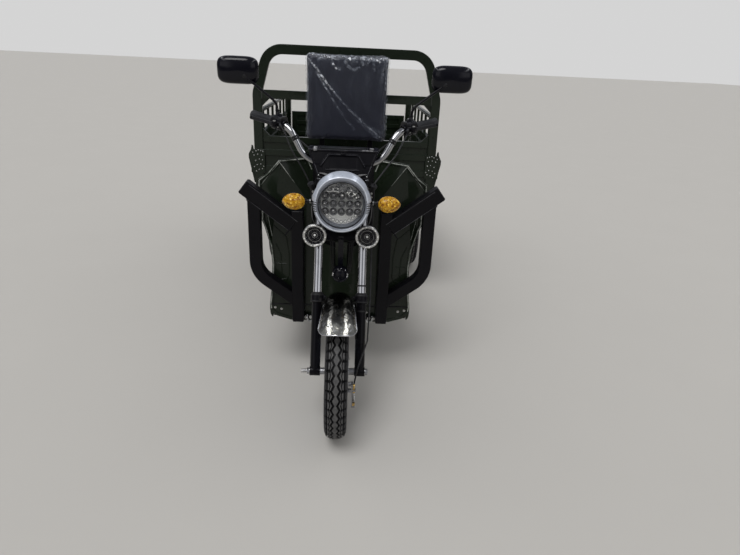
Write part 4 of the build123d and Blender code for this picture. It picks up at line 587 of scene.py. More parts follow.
class Repeat(Tree):
    """A node tree that puts one small shape at every point, its Z turned along the point's facing."""

    def __init__(self, name, **sizes):
        super().__init__(bpy.data.node_groups.new(name, "GeometryNodeTree"))
        face = self.tree.interface
        face.new_socket("Geometry", in_out="INPUT", socket_type="NodeSocketGeometry")
        face.new_socket("Geometry", in_out="OUTPUT", socket_type="NodeSocketGeometry")
        self.sockets = {}
        for label, value in sizes.items():
            socket = face.new_socket(label, in_out="INPUT", socket_type="NodeSocketFloat")
            socket.default_value, socket.subtype = value, "DISTANCE"
            self.sockets[label] = socket.identifier
        material = face.new_socket("finish", in_out="INPUT", socket_type="NodeSocketMaterial")
        self.sockets["finish"] = material.identifier
        self.start = self.node("NodeGroupInput")

    def size(self, label):
        return self.start.outputs[label]

    def cylinder(self, radius, depth, sides):
        """A cylinder that stands on the point."""
        made = self.node("GeometryNodeMeshCylinder", {"Vertices": sides, "Radius": radius, "Depth": depth})
        return self.moved(made.outputs["Mesh"], z=self.maths("MULTIPLY", depth, 0.5))

    def ring(self, radius, thickness, sides):
        """A round bar bent into a ring."""
        circle = self.node("GeometryNodeCurvePrimitiveCircle", {"Resolution": sides, "Radius": radius})
        section = self.node("GeometryNodeCurvePrimitiveCircle", {"Resolution": 6, "Radius": thickness})
        return self.node("GeometryNodeCurveToMesh", {
            "Curve": circle.outputs["Curve"], "Profile Curve": section.outputs["Curve"],
        }).outputs["Mesh"]

    def dome(self, radius, flat, segments, rings):
        """A flattened ball."""
        ball = self.node("GeometryNodeMeshUVSphere", {"Segments": segments, "Rings": rings, "Radius": radius})
        size = self.node("ShaderNodeCombineXYZ", {"X": 1.0, "Y": 1.0, "Z": flat})
        return self.node("GeometryNodeTransform",
                         {"Geometry": ball.outputs["Mesh"], "Scale": size.outputs[0]}).outputs[0]

    def moved(self, geometry, z):
        shift = self.node("ShaderNodeCombineXYZ", {"Z": z}).outputs[0]
        return self.node("GeometryNodeTransform", {"Geometry": geometry, "Translation": shift}).outputs[0]

    def joined(self, *geometry):
        made = self.node("GeometryNodeJoinGeometry")
        for part in geometry:
            self.tree.links.new(part, made.inputs[0])
        return made.outputs[0]

    def end(self, shape):
        """Puts the shape on the points, realizes it and sets its finish."""
        facing = self.node("GeometryNodeInputNamedAttribute", {"Name": "facing"}, data_type="FLOAT_VECTOR")
        turn = self.node("FunctionNodeAlignRotationToVector", {"Vector": facing.outputs[0]}, axis="Z")
        along = self.node("GeometryNodeInputNamedAttribute", {"Name": "along"}, data_type="FLOAT_VECTOR")
        turn = self.node("FunctionNodeAlignRotationToVector", {
            "Rotation": turn.outputs[0], "Vector": along.outputs[0],
        }, axis="X", pivot_axis="Z")
        placed = self.node("GeometryNodeInstanceOnPoints", {
            "Points": self.start.outputs["Geometry"], "Instance": shape, "Rotation": turn.outputs[0],
        })
        real = self.node("GeometryNodeRealizeInstances", {"Geometry": placed.outputs[0]})
        worn = self.node("GeometryNodeSetMaterial",
                         {"Geometry": real.outputs[0], "Material": self.size("finish")})
        self.node("NodeGroupOutput", {0: worn.outputs[0]})
        return self

    def piece(self, name, body, finish, spots, sizes, sharp):
        """Runs the tree on spots of (point, facing, along) and keeps the result as one plain mesh."""
        spots = [tuple(s) + (LEFT,) * (3 - len(s)) for s in spots]
        mesh = bpy.data.meshes.new(name + "_points")
        mesh.from_pydata([tuple(s[0]) for s in spots], [], [])
        for index, label in ((1, "facing"), (2, "along")):
            layer = mesh.attributes.new(label, "FLOAT_VECTOR", "POINT")
            for i, spot in enumerate(spots):
                layer.data[i].vector = tuple(Vector(spot[index]).normalized())
        obj = linked(name, mesh)
        modifier = obj.modifiers.new("repeat", "NODES")
        modifier.node_group = self.tree
        for socket, value in zip(self.sockets.values(), sizes):
            modifier[socket] = value / 1000
        modifier[self.sockets["finish"]] = FINISHES[finish]
        settle(obj, modifier)
        obj.data.name = name
        smooth(obj.data, sharp)
        return dress(obj, body, finish)


TREES = {}


def repeat(kind, name, body, finish, spots, *sizes, sharp=35.0):
    """Puts a repeated form on spots of (point, facing, along), with its sizes in millimetres."""
    TREES[kind].piece(name, body, finish, spots, sizes, sharp)


def make_trees():
    """One tree for each kind of repeated fastener or form."""
    bolt = Repeat("hex_bolts", radius=0.005, height=0.004, washer=0.008)
    head = bolt.cylinder(bolt.size("radius"), bolt.size("height"), 6)
    top = bolt.moved(bolt.dome(bolt.maths("MULTIPLY", bolt.size("radius"), 0.72), 0.35, 12, 5),
                     z=bolt.size("height"))
    washer = bolt.cylinder(bolt.size("washer"), bolt.maths("MULTIPLY", bolt.size("height"), 0.3), 18)
    TREES["bolts"] = bolt.end(bolt.joined(head, top, washer))

    screw = Repeat("round_screws", radius=0.004)
    TREES["rivets"] = screw.end(screw.dome(screw.size("radius"), 0.55, 12, 8))

    nut = Repeat("nuts_on_studs", radius=0.007, height=0.007, stud=0.004)
    studs = nut.cylinder(nut.size("stud"), nut.maths("MULTIPLY", nut.size("height"), 1.7), 12)
    body = nut.cylinder(nut.size("radius"), nut.size("height"), 6)
    plate = nut.cylinder(nut.maths("MULTIPLY", nut.size("radius"), 1.35), 0.0015, 18)
    TREES["nuts"] = nut.end(nut.joined(studs, body, plate))

    bead = Repeat("weld_beads", radius=0.003)
    TREES["welds"] = bead.end(bead.dome(bead.size("radius"), 0.6, 8, 5))

    rib = Repeat("rings_on_a_bar", radius=0.0175, thickness=0.001)
    TREES["rings"] = rib.end(rib.ring(rib.size("radius"), rib.size("thickness"), 28))

    cup = Repeat("reflector_cups", radius=0.012, depth=0.01)
    bowl = cup.node("GeometryNodeMeshCone", {
        "Vertices": 24, "Side Segments": 3, "Radius Top": cup.size("radius"),
        "Radius Bottom": cup.maths("MULTIPLY", cup.size("radius"), 0.45), "Depth": cup.size("depth"),
    }, fill_type="NONE")
    bowl = cup.moved(bowl.outputs["Mesh"], z=cup.maths("MULTIPLY", cup.size("depth"), -1.0))
    edge = cup.ring(cup.size("radius"), 0.0007, 24)
    low = cup.moved(cup.dome(cup.maths("MULTIPLY", cup.size("radius"), 0.62), 0.5, 16, 8),
                    z=cup.maths("MULTIPLY", cup.size("depth"), -0.85))
    TREES["cups"] = cup.end(cup.joined(bowl, edge, low))

    bar = Repeat("flat_slats", length=0.1, width=0.006, height=0.002)
    slat = bar.node("ShaderNodeCombineXYZ",
                    {"X": bar.size("length"), "Y": bar.size("width"), "Z": bar.size("height")})
    block = bar.node("GeometryNodeMeshCube", {"Size": slat.outputs[0]})
    TREES["slats"] = bar.end(bar.moved(block.outputs["Mesh"], z=bar.maths("MULTIPLY", bar.size("height"), 0.5)))

    hook = Repeat("rope_hooks", reach=0.018, thickness=0.004)
    bend = hook.node("GeometryNodeCurveArc", {
        "Resolution": 14, "Radius": hook.size("reach"), "Start Angle": math.radians(-80),
        "Sweep Angle": math.radians(200),
    })
    wire = hook.node("GeometryNodeCurvePrimitiveCircle", {"Resolution": 8, "Radius": hook.size("thickness")})
    made = hook.node("GeometryNodeCurveToMesh", {
        "Curve": bend.outputs["Curve"], "Profile Curve": wire.outputs["Curve"], "Fill Caps": True,
    })
    TREES["hooks"] = hook.end(made.outputs["Mesh"])


def line_of(start, end, pitch, facing):
    """Spots at even steps on a line, with the pitch in millimetres."""
    start, end = Vector(start), Vector(end)
    steps = max(1, round((end - start).length * 1000 / pitch))
    return [(start.lerp(end, i / steps), facing) for i in range(steps + 1)]


# Tyres and wheels

def both_sides(half, flip):
    """The columns of a crown's right half and middle, and those of its left half, mirrored."""
    return half + tuple((-across, height, follows * flip) for across, height, follows in half[-2::-1])


# columns: distance across from the middle, height above the rim's seat, follows the zigzag
FRONT_COLUMNS = both_sides((
    (-37, 53, 0), (-35.5, 58.6, 0), (-31, 62.8, 0), (-30, 57.4, 0), (-27.6, 58.4, 0), (-26.8, 65.8, 0),
    (-22.6, 67.3, 0.5), (-21.8, 62.8, 0.5), (-19.8, 63.4, 0.5), (-19, 68.8, 0.5), (-15.6, 69.8, 1),
    (-14.4, 61, 1), (-7.8, 62, 1), (-6.4, 71.5, 1), (0, 72, 0),
), -1)
REAR_COLUMNS = both_sides((
    (-41, 82, 0), (-39, 85, 0), (-31, 90.6, 1), (-29, 84.5, 1), (-25.5, 85.5, 1), (-23.5, 94, 1),
    (-13, 96.6, 1), (-11.5, 90, 1), (-8, 90.4, 1), (-6.5, 97.8, 1), (0, 98, 0),
), 1)


def tyre_wall(width, rim_r, shoulder, sign):
    """One side wall from the bead to the shoulder, with moulded rings on it."""
    half, bead = width / 2, width * 0.32
    wall = []
    for i in range(13):
        t = i / 12
        across = bead + (half - bead) * math.sin(math.pi * min(t * 1.18, 1.0) * 0.62) ** 0.8
        if t >= 0.75:
            across = half - 0.6 - (half - 0.6 - shoulder[0]) * ((t - 0.75) / 0.25) ** 2
        ring = 0.5 if i in (3, 8) else 0.0
        wall.append((sign * (min(across, half - 0.6) + ring), rim_r + 12 + (shoulder[1] - 12) * t * 0.985))
    return wall


def tyre(name, body, x, width, rim_r, columns, pitches, zig, notches, finish, node_name):
    """A tyre as one closed ring: zigzag grooves round it and notches across its blocks.

    notches are (steps of each pitch that are cut, depth, from this share of the half width).
    """
    behind = 0 if x == 0 else WHEELBASE
    shoulder = columns[-1][:2]
    bead = width * 0.32
    wall = tyre_wall(width, rim_r, shoulder, 1)
    section = [(-bead, rim_r + 0.2, 0, 0)] + [(-a, h, 0, 0) for a, h in wall]
    section += [(a, rim_r + h, follows, 1) for a, h, follows in columns]
    section += [(a, h, 0, 0) for a, h in reversed(wall)] + [(bead, rim_r + 0.2, 0, 0)]
    per = 8
    centre = at(x, behind, WHEEL_R)
    shape, rows, marks = Shape(), [], {}
    for i in range(pitches * per):
        wave = zig * (1 - 4 * abs((i % per) / per - 0.5))
        angle = math.tau * i / (pitches * per)
        row = []
        for across, height, follows, crown in section:
            drop = 0.0
            for cut, depth, start in notches:
                if crown and i % per in cut and start[0] <= abs(across) / shoulder[0] <= start[1]:
                    drop = depth
            r = height - drop
            place = centre + Vector((across + wave * follows, -math.sin(angle) * r, math.cos(angle) * r)) / 1000
            flank = 238 + 12 * math.sqrt(max(0.0, 1 - (across / shoulder[0]) ** 2)) - r
            if crown:
                marks[tuple(round(c, 6) for c in place)] = min(max((flank - 2.5) / 3.5, 0.0), 1.0)
            row.append(place)
        rows.append(row)
    shape.rows(rows, joined=True)
    mesh = shape.mesh(name, sharp=38)
    # Each crown point's depth below the tread is kept for painted shade in the grooves, and the tread's top
    # faces are marked as edge.
    groove = mesh.attributes.new("groove", "FLOAT", "POINT")
    edge = mesh.attributes.new("edge", "FLOAT", "POINT")
    for i, vertex in enumerate(mesh.vertices):
        depth = marks.get(tuple(round(c, 6) for c in vertex.co))
        groove.data[i].value = 0.0 if depth is None else depth
        edge.data[i].value = 1.0 if depth is not None and depth < 0.2 else 0.0
    return dress(linked(name, mesh), body, finish, (node_name,))


class TRIKE_PG_tyres(bpy.types.PropertyGroup):
    """Sizes of the tread"""

    front_pitches: bpy.props.IntProperty(
        name="Front pitches", description="Zigzags round the front tyre", default=44, min=12, max=80)
    rear_pitches: bpy.props.IntProperty(
        name="Rear pitches", description="Blocks round each rear tyre", default=40, min=12, max=80)
    zigzag: bpy.props.FloatProperty(
        name="Zigzag", description="How far the front grooves swing to each side, in millimetres",
        default=4.3, min=0.0, max=6.0)


class TRIKE_OT_tyres(bpy.types.Operator):
    """Front tyre with two zigzag grooves and rear tyres with blocks"""

    bl_idname = "trike.tyres"
    bl_label = "Tyres"

    def execute(self, context):
        sizes = context.scene.trike_tyres
        front_cuts = (((0, 1), 7.0, (0.46, 0.98)),)
        rear_cuts = (((0, 1), 6.0, (0.72, 1.0)), ((3,), 5.0, (0.2, 0.7)))
        tyre("front_tread", "front_wheel", 0, 82, 178, FRONT_COLUMNS, sizes.front_pitches,
             sizes.zigzag, front_cuts, "front_tread", "front_tyre")
        for side, sign in SIDES:
            tyre(f"rear_tread_{side}", f"rear_wheel_{side}", sign * REAR_X, 95, 152, REAR_COLUMNS,
                 sizes.rear_pitches, 2.2, rear_cuts, "rear_tread", f"rear_tyre_{side}")
        return {"FINISHED"}


def ring_spots(x, behind, radius, count, facing, turn=0.0):
    """Spots evenly round an axle, at a distance from the middle of the vehicle."""
    centre = at(x, behind, WHEEL_R)
    spots = []
    for i in range(count):
        a = math.tau * (i + turn) / count
        out = Vector((0, math.cos(a), math.sin(a)))
        spots.append((centre + out * radius / 1000, facing, out))
    return spots


class TRIKE_OT_wheel_hardware(bpy.types.Operator):
    """Wheel nuts, drum ribs, hub seals and valves"""

    bl_idname = "trike.wheel_hardware"
    bl_label = "Wheel hardware"

    def execute(self, context):
        repeat("bolts", "front_hub_bolts", "front_wheel", "zinc",
               ring_spots(-14, 0, 58, 6, -LEFT, 0.5) + ring_spots(-8, 0, 58, 6, LEFT, 0.5), 5.0, 4.5, 8.0)
        repeat("rings", "front_drum_ribs", "front_wheel", "silver",
               [(at(x, 0, WHEEL_R), LEFT, BACK) for x in (-4, 4, 12, 20)], 72.2, 1.6)
        hub = Shape()
        hub.lathe(at(-42.2, 0, WHEEL_R), -LEFT,
                  [(8, -6), (25, -6), (25, 0), (22, 1.2), (12, 1.2), (9, 0.6), (8, 0)])
        hub.done("front_hub_seal", "front_wheel", "seal_rubber")
        valve = Shape()
        out = Vector((0, math.cos(math.radians(205)), math.sin(math.radians(205))))
        base = at(-18, 0, WHEEL_R) + out * 0.17
        valve.tube([base, base - out * 0.014 - LEFT * 0.008, base - out * 0.03 - LEFT * 0.012], [4.5, 4, 3.4])
        valve.done("front_valve", "front_wheel", "seal_rubber")
        for side, sign in SIDES:
            body, face = f"rear_wheel_{side}", sign * 470
            repeat("nuts", f"wheel_nuts_{side}", body, "zinc",
                   ring_spots(face, WHEELBASE, 55, 5, LEFT * sign), 9.0, 8.0, 5.0)
            repeat("rings", f"drum_ribs_{side}", body, "steel",
                   [(at(sign * x, WHEELBASE, WHEEL_R), LEFT, BACK) for x in (412, 420, 428)], 92.3, 2.0)
            dish = Shape()
            dish.lathe(at(face, WHEELBASE, WHEEL_R), LEFT * sign,
                       [(70, -2), (82, -2), (84, 0), (82, 2.6), (78, 3.4), (74, 2.6), (72, 0)], joined=True)
            dish.lathe(at(sign * 484.2, WHEELBASE, WHEEL_R), LEFT * sign,
                       [(34, -6), (34.3, 0), (31, 1.6), (24, 1.6), (21, 0.6), (21, -6)], joined=True)
            dish.done(f"wheel_dish_{side}", body, "silver")
            base = at(face + sign * 4, WHEELBASE, WHEEL_R) + UP * 0.147
            valve = Shape()
            valve.tube([base, base - UP * 0.012 + LEFT * sign * 0.008, base - UP * 0.03 + LEFT * sign * 0.012],
                       [4.5, 4, 3.4])
            valve.done(f"rear_valve_{side}", body, "seal_rubber")
        return {"FINISHED"}


# Fork and fender


class TRIKE_OT_fork_hardware(bpy.types.Operator):
    """Chrome tubes, dust seals, clamp bolts and the front axle's fittings"""

    bl_idname = "trike.fork_hardware"
    bl_label = "Fork hardware"

    def execute(self, context):
        tubes, seals, washers = Shape(), Shape(), Shape()
        bolts = []
        for sign in (-1, 1):
            x = sign * 85
            tubes.lathe(fork(x, 203), FORK_UP,
                        [(14, 0), (16.9, 0.6), (16.9, 541.5), (15, 544), (9, 544.6), (8, 543), (4, 543)], 48)
            seals.lathe(fork(x, 292), FORK_UP,
                        [(25, -3), (25.8, 0), (25, 2.4), (22.4, 4), (23, 7), (20.5, 9), (18.2, 10.4),
                         (17.1, 10.4), (17.1, -3)], 44, joined=True)
            seals.lathe(fork(x, 264), FORK_UP, [(24.9, 0), (26.2, 1.6), (26.2, 3.4), (24.9, 5)], 44,
                        joined=True)
            bolts += [(fork(sign * 66, level, -26), -FORK_BACK) for level in (512.0, 531.0, 726.0)]
            washers.lathe(at(sign * 105, 0, WHEEL_R), LEFT * sign, [(8, 0), (15, 0), (15, 1.4), (8, 1.4)],
                          28, joined=True)
        for end in (1.5, 8, 14.5, 21):
            washers.lathe(at(-113 - end, 0, WHEEL_R), -LEFT, [(7, 0), (7.7, 1.2), (7.7, 2.4), (7, 3.6)],
                          24, joined=True)
        tubes.done("fork_stanchions", "steering", "chrome", replaces=("fork_tubes",))
        seals.done("fork_seals", "steering", "black_plastic")
        washers.done("axle_washers", "steering", "zinc")
        repeat("bolts", "clamp_bolts", "steering", "zinc", bolts, 4.6, 5.0, 7.0)
        repeat("bolts", "stem_cap", "steering", "zinc", [(fork(0, 752, STEM_OFF), FORK_UP)], 13.0, 9.0, 17.0)
        # The head tube's two races show between the fork tubes
        collar = Shape()
        collar.lathe(fork(0, 541, STEM_OFF), FORK_UP, [(26.2, 0), (30, 1), (30, 9), (28, 12), (26.2, 12)],
                     40, joined=True)
        collar.lathe(fork(0, 702, STEM_OFF), FORK_UP, [(26.2, -4), (29.5, -2), (29.5, 7), (26.2, 9)], 40,
                     joined=True)
        collar.done("head_races", "frame", "steel")
        return {"FINISHED"}


# columns: degrees forward of straight up, half width
FENDER_ROWS = ((46, 69.5), (40, 69), (28, 67), (12, 61), (-8, 55), (-34, 52), (-62, 52))
FENDER_DROP = 36.0
LIP_SLOPE = math.radians(28.6)


def fender_point(angle, across, lift=0.0):
    """A point of the fender's outer skin: degrees forward of straight up, and -1 to 1 across."""
    rows = FENDER_ROWS
    pair = next((p for p in zip(rows, rows[1:]) if p[0][0] >= angle >= p[1][0]), rows[:2] if angle > 0
                else rows[-2:])
    t = (pair[0][0] - angle) / (pair[0][0] - pair[1][0])
    t = min(max(t * t * (3 - 2 * t), 0), 1)
    half = pair[0][1] * (1 - t) + pair[1][1] * t
    bend = (half**2 + FENDER_DROP**2) / (2 * FENDER_DROP)
    swing = across * math.asin(half / bend)
    x = bend * math.sin(swing)
    r = 305 - bend * (1 - math.cos(swing)) + lift
    a = math.radians(angle)
    return at(x, -math.sin(a) * r, WHEEL_R + math.cos(a) * r)


def lip_angle(across):
    """The angle at which the fender's rounded front lip cuts its skin."""
    low, high = 0.0, 46.0
    for _ in range(26):
        middle = (low + high) / 2
        place = fender_point(middle, across)
        x = abs(place.x * 1000)
        back, up = place.y * 1000 - AXLE_Y + 175, place.z * 1000 - 500
        above = back * math.sin(LIP_SLOPE) + up * math.cos(LIP_SLOPE)
        corner = min(x, 67.0) - 41
        edge = 26 - math.sqrt(max(0.0, 26**2 - corner**2)) if corner > 0 else 0.0
        low, high = (middle, high) if above > edge else (low, middle)
    return low


class TRIKE_OT_fender(bpy.types.Operator):
    """The chrome fender as one smooth pressing with rolled edges and its stays"""

    bl_idname = "trike.fender"
    bl_label = "Front fender"

    def execute(self, context):
        steps, across = 80, 36
        outer = []
        for j in range(across + 1):
            t = math.sin((2 * j / across - 1) * math.pi / 2) * 0.995
            front = lip_angle(t)
            outer.append([fender_point(front + (-61.5 - front) * (i / steps) ** 1.25, t)
                          for i in range(steps + 1)])
        shape = Shape()
        shape.rows(outer, closed=False)
        skin = linked("fender_skin", shape.mesh("fender_skin", sharp=80))
        solid = skin.modifiers.new("sheet", "SOLIDIFY")
        solid.thickness, solid.offset = 0.0016, -1.0
        settle(skin, solid)
        smooth(skin.data, 60)
        dress(skin, "steering", "pressed_chrome", ("front_fender",))
        edge = Shape()
        rim = (outer[0] + [row[-1] for row in outer[1:]] + outer[-1][::-1][1:]
               + [row[0] for row in outer[::-1]][1:-1])
        edge.tube(rim + rim[:2], 2.5, 8, ends=(False, False))
        edge.done("fender_edge", "steering", "chrome", sharp=80)
        stays, bolts = Shape(), []
        for sign in (-1, 1):
            stays.tube(rounded([at(sign * 58, 122, 498), at(sign * 64, 122, 470), at(sign * 66, 60, 404),
                                at(sign * 68, 34, 372)], 18, 5), 3.4, 10)
            bolts.append((fork(sign * 56, 283, -9), -FORK_BACK))
        stays.done("fender_stays", "steering", "black_paint")
        repeat("bolts", "fender_bolts", "steering", "black_paint", bolts, 4.5, 4.0, 7.5)
        return {"FINISHED"}


class TRIKE_OT_front_brake(bpy.types.Operator):
    """The brake arm's spring and brass adjuster, the cable's ends and clips"""

    bl_idname = "trike.front_brake"
    bl_label = "Front brake fittings"

    def execute(self, context):
        brass, spring, lug, bands = Shape(), Shape(), Shape(), Shape()
        x, back = 64.3, -44.0
        brass.lathe(at(x, back, 128), UP, [(3, 0), (7, 0), (7, 11), (3, 11)], 6)
        brass.lathe(at(x, back, 186), UP, [(3, 0), (6.5, 0), (6.5, 9), (4.5, 12), (4.5, 26), (6, 27), (6, 34),
                                           (3.4, 36)], 20)
        brass.lathe(at(x, back, 146), UP, [(2.2, 0), (2.6, 1), (2.6, 40), (2.2, 41)], 14)
        brass.done("brake_adjuster", "steering", "brass", sharp=25)
        coil = [at(x + 5.4 * math.cos(math.tau * i / 14), back + 5.4 * math.sin(math.tau * i / 14),
                   144 + 40 * i / 126) for i in range(127)]
        spring.tube(coil, 0.9, 7)
        spring.done("brake_spring", "steering", "zinc")
        lug.block(at(56, -52, 192), at(74, -36, 199), 1.5)
        lug.block(at(42, -50, 188), at(60, -38, 200), 1.5)
        lug.block(at(57, -50, 118), at(72, -38, 126), 2)
        lug.done("brake_lugs", "steering", "steel")
        repeat("bolts", "brake_bolts", "steering", "zinc",
               [(at(61, -34, 216), LEFT, UP), (at(42.2, 30, 226), LEFT, UP), (at(42.2, 24, 292), LEFT, UP)],
               5.0, 5.0, 8.0)
        for level in (330.0, 232.0):
            radius = 17.1 if level > 300 else 19.6
            bands.lathe(fork(85, level), FORK_UP,
                        [(radius, -3), (radius + 2.4, -3), (radius + 2.4, 3), (radius, 3)], 24, joined=True)
        bands.done("cable_bands", "steering", "seal_rubber")
        repeat("rings", "brake_panel_ring", "steering", "steel", [(at(42.1, 0, WHEEL_R), LEFT, BACK)], 64.0,
               1.6)
        return {"FINISHED"}


# Lamps

LAMP = at(0, 100, 877)
SPOT_X, SPOT_BACK, SPOT_Z = 98, 150, 746
SIGNAL_X, SIGNAL_BACK, SIGNAL_Z = 172, 121.5, 880


def lamp_face(x, z, depth=0.0):
    """A point of the headlamp's face: left, above its centre, and behind its front."""
    return LAMP + Vector((x, -18 + depth, z)) / 1000


# columns: radius, depth behind the front, how far the brow lifts it, how far the brow brings it forward
BEZEL = (
    (84.2, 38, 0, 0), (84.2, 16, 0, 0), (84.8, 9, 0, 0), (86.6, 5, 0, 0), (89, 3, 0, 0), (90.6, 2.4, 0, -1),
    (91.4, 2.2, 0.5, -9), (92.6, 2, 2.5, -13), (95, 2.6, 9, -13.5), (98, 7, 15.5, -9), (101, 14, 18.5, -4),
    (102.8, 23, 18.5, -1), (102.8, 30, 17, 0), (101, 38, 14, 0),
)


class TRIKE_OT_headlamp(bpy.types.Operator):
    """Silver bezel with its brow and side grooves, the insert of round reflectors with painted glints and
    streaks, and the lens
    """

    bl_idname = "trike.headlamp"
    bl_label = "Headlamp"

    def execute(self, context):
        bezel, rows = Shape(), []
        for i in range(192):
            turn = 360 * i / 192
            off = abs((turn + 180) % 360 - 180)
            brow = 0.7 * max(0.0, math.cos(math.radians(min(off * 1.62, 90)))) ** 0.55
            brow += 0.3 * (1.0 - ramp(off, 80, 85))
            a = math.radians(turn)
            rows.append([lamp_face(math.sin(a) * (r + lift * brow), math.cos(a) * (r + lift * brow),
                                   depth + ahead * brow) for r, depth, lift, ahead in BEZEL])
        bezel.rows(rows, joined=True)
        bezel.done("headlamp_ring", "steering", "silver", sharp=28, replaces=("headlamp_bezel",))
        spots = []
        for side in (-1, 1):
            for k in range(6):
                z = -21 + 8.2 * k
                spots.append((lamp_face(side * math.sqrt(95.6**2 - z * z), z, 3.4),
                              (LEFT * side * 0.7 - BACK), BACK + LEFT * side))
        repeat("slats", "headlamp_grooves", "steering", "chassis_paint", spots, 15.0, 2.6, 1.6, sharp=25)
        inner = Shape()
        inner.lathe(LAMP + BACK * 0.0217, -BACK,
                    [(77, 0.4), (83.6, 13.5), (84, 15), (82.6, 16.2), (80.5, 12), (75.5, 0.4)], 96, joined=True)
        inner.done("headlamp_inner_ring", "steering", "silver", sharp=40)
        plate = Shape()
        plate.lathe(LAMP + BACK * 0.0397, -BACK,
                    [(60, 0), (83.6, 0.2), (83.6, 17.6), (82, 18), (60, 18), (30, 18)], 72)
        plate.done("headlamp_plate", "steering", "lamp_plate", replaces=("headlamp_insert",))
        cups = [(lamp_face(c * 29, r, 20.6), -BACK, LEFT) for r in (33, 4, -25) for c in range(-2, 3)]
        repeat("cups", "headlamp_cups", "steering", "cup_grey", cups, 14.0, 9.5, sharp=20)
        repeat("rivets", "headlamp_leds", "steering", "cup_grey",
               [(p + BACK * 0.004, f, a) for p, f, a in cups], 8.0, sharp=12)
        # Painted glints: small white domes on some of the cups.
        repeat("rivets", "headlamp_glints", "steering", "led",
               [(p + LEFT * 0.002 * ((i * 7) % 5 - 2) + UP * 0.002 * ((i * 5) % 4 - 1) - BACK * 0.0006, f,
                 a) for i, (p, f, a) in enumerate(cups) if i in (0, 2, 3, 4, 5, 9, 11)], 1.8)
        small = []
        for i in range(9):
            a = math.radians(-142 + 104 * i / 8)
            small.append((lamp_face(math.cos(a) * 66, math.sin(a) * 64 + 2, 20.6), -BACK))
        repeat("rings", "headlamp_small_rings", "steering", "reflector", small, 5.6, 0.8)
        repeat("rivets", "headlamp_small_leds", "steering", "led", small, 2.6)
        facets = Shape()
        for r in range(3):
            for c in range(14):
                x0, z0 = -63 + 9 * c, 46 + 10 * r
                if math.hypot(max(abs(x0), abs(x0 + 9)), z0 + 10) > 79:
                    continue
                peak = 7.0 if (c * 5 + r * 3) % 4 == 0 else 1.6
                corners = [lamp_face(x0, z0, 21.3), lamp_face(x0 + 9, z0, 21.3),
                           lamp_face(x0 + 9, z0 + 10, 21.3), lamp_face(x0, z0 + 10, 21.3)]
                tip = lamp_face(x0 + (6 if c % 3 else 2.5), z0 + (7 if r % 2 else 3.5), 21.3 - peak)
                back = lamp_face(x0 + 4.5, z0 + 5, 23)
                facets.add(corners + [tip, back], [[0, 1, 4], [1, 2, 4], [2, 3, 4], [3, 0, 4],
                                                   [1, 0, 5], [2, 1, 5], [3, 2, 5], [0, 3, 5]])
        facets.prism([lamp_face(x, z, 19) for x, z in ((-52, 47), (-6, 46), (-8, 51), (-26, 54), (-50, 51))],
                     -BACK * 0.003, 0.6)
        # Painted highlights: white dots and streaks over the insert's upper part.
        streaks = [lamp_face(x, z, 14)
                   for x, z in ((-30, 58), (2, 37), (20, 47), (42, 45), (47, 41), (52, 30), (-14, 60),
                                (33, 56))]
        repeat("rivets", "headlamp_sparks", "steering", "led", [(p, -BACK) for p in streaks], 3.0)
        streak = Shape()
        for line in (((-52, 49), (-30, 52), (-10, 48)), ((36, 34), (44, 40), (54, 46)), ((22, 40), (30, 50))):
            streak.tube([lamp_face(x, z, 14) for x, z in line], 1.3, 6)
        streak.done("headlamp_streaks", "steering", "led", sharp=60)
        facets.done("headlamp_facets", "steering", "reflector", merge=0.0001, sharp=5)
        lens = Shape()
        dome = [(83.8 * math.cos(math.pi / 2 * i / 8), 4.5 + 5.5 * math.sin(math.pi / 2 * i / 8))
                for i in range(9)]
        hollow = [(max(r - 1.6, 0.05), a - 2.2) for r, a in reversed(dome)]
        lens.lathe(LAMP, -BACK, dome + hollow, 72, joined=True)
        lens.done("headlamp_glass", "steering", "lamp_glass", sharp=60, replaces=("headlamp_lens",))
        seal = Shape()
        seal.lathe(LAMP, -BACK, [(82.4, 2), (84.1, 2), (84.1, 8.6), (82.4, 8.6)], 72, joined=True)
        seal.done("headlamp_seal", "steering", "seal_rubber")
        repeat("bolts", "headlamp_side_bolts", "steering", "zinc",
               [(at(s * 109, behind, z), LEFT * s, UP) for s in (-1, 1)
                for behind, z in ((136, 877), (285, 872))], 5.5, 4.0, 8.5)
        knobs, caps = Shape(), []
        for sign in (-1, 1):
            spot, lean = at(sign * 108, 240, 886), LEFT * sign * 0.3 - BACK * 0.3 + UP
            knobs.tube([spot, spot + lean.normalized() * 0.032], [9, 10.5], 18)
            knobs.lathe(spot + lean.normalized() * 0.03, lean,
                        [(9, 0), (13, 2), (13.5, 9), (11, 13), (3, 14)], 20)
            knobs.block(at(sign * 112 - 8, 232, 868), at(sign * 112 + 8, 262, 892), 3)
            caps += [(at(sign * 110, 228, 884 + k), -BACK, UP) for k in (-6, 8)]
        knobs.done("bracket_dampers", "steering", "black_plastic")
        repeat("nuts", "damper_nuts", "steering", "zinc", caps, 3.4, 3.0, 1.8)
        return {"FINISHED"}


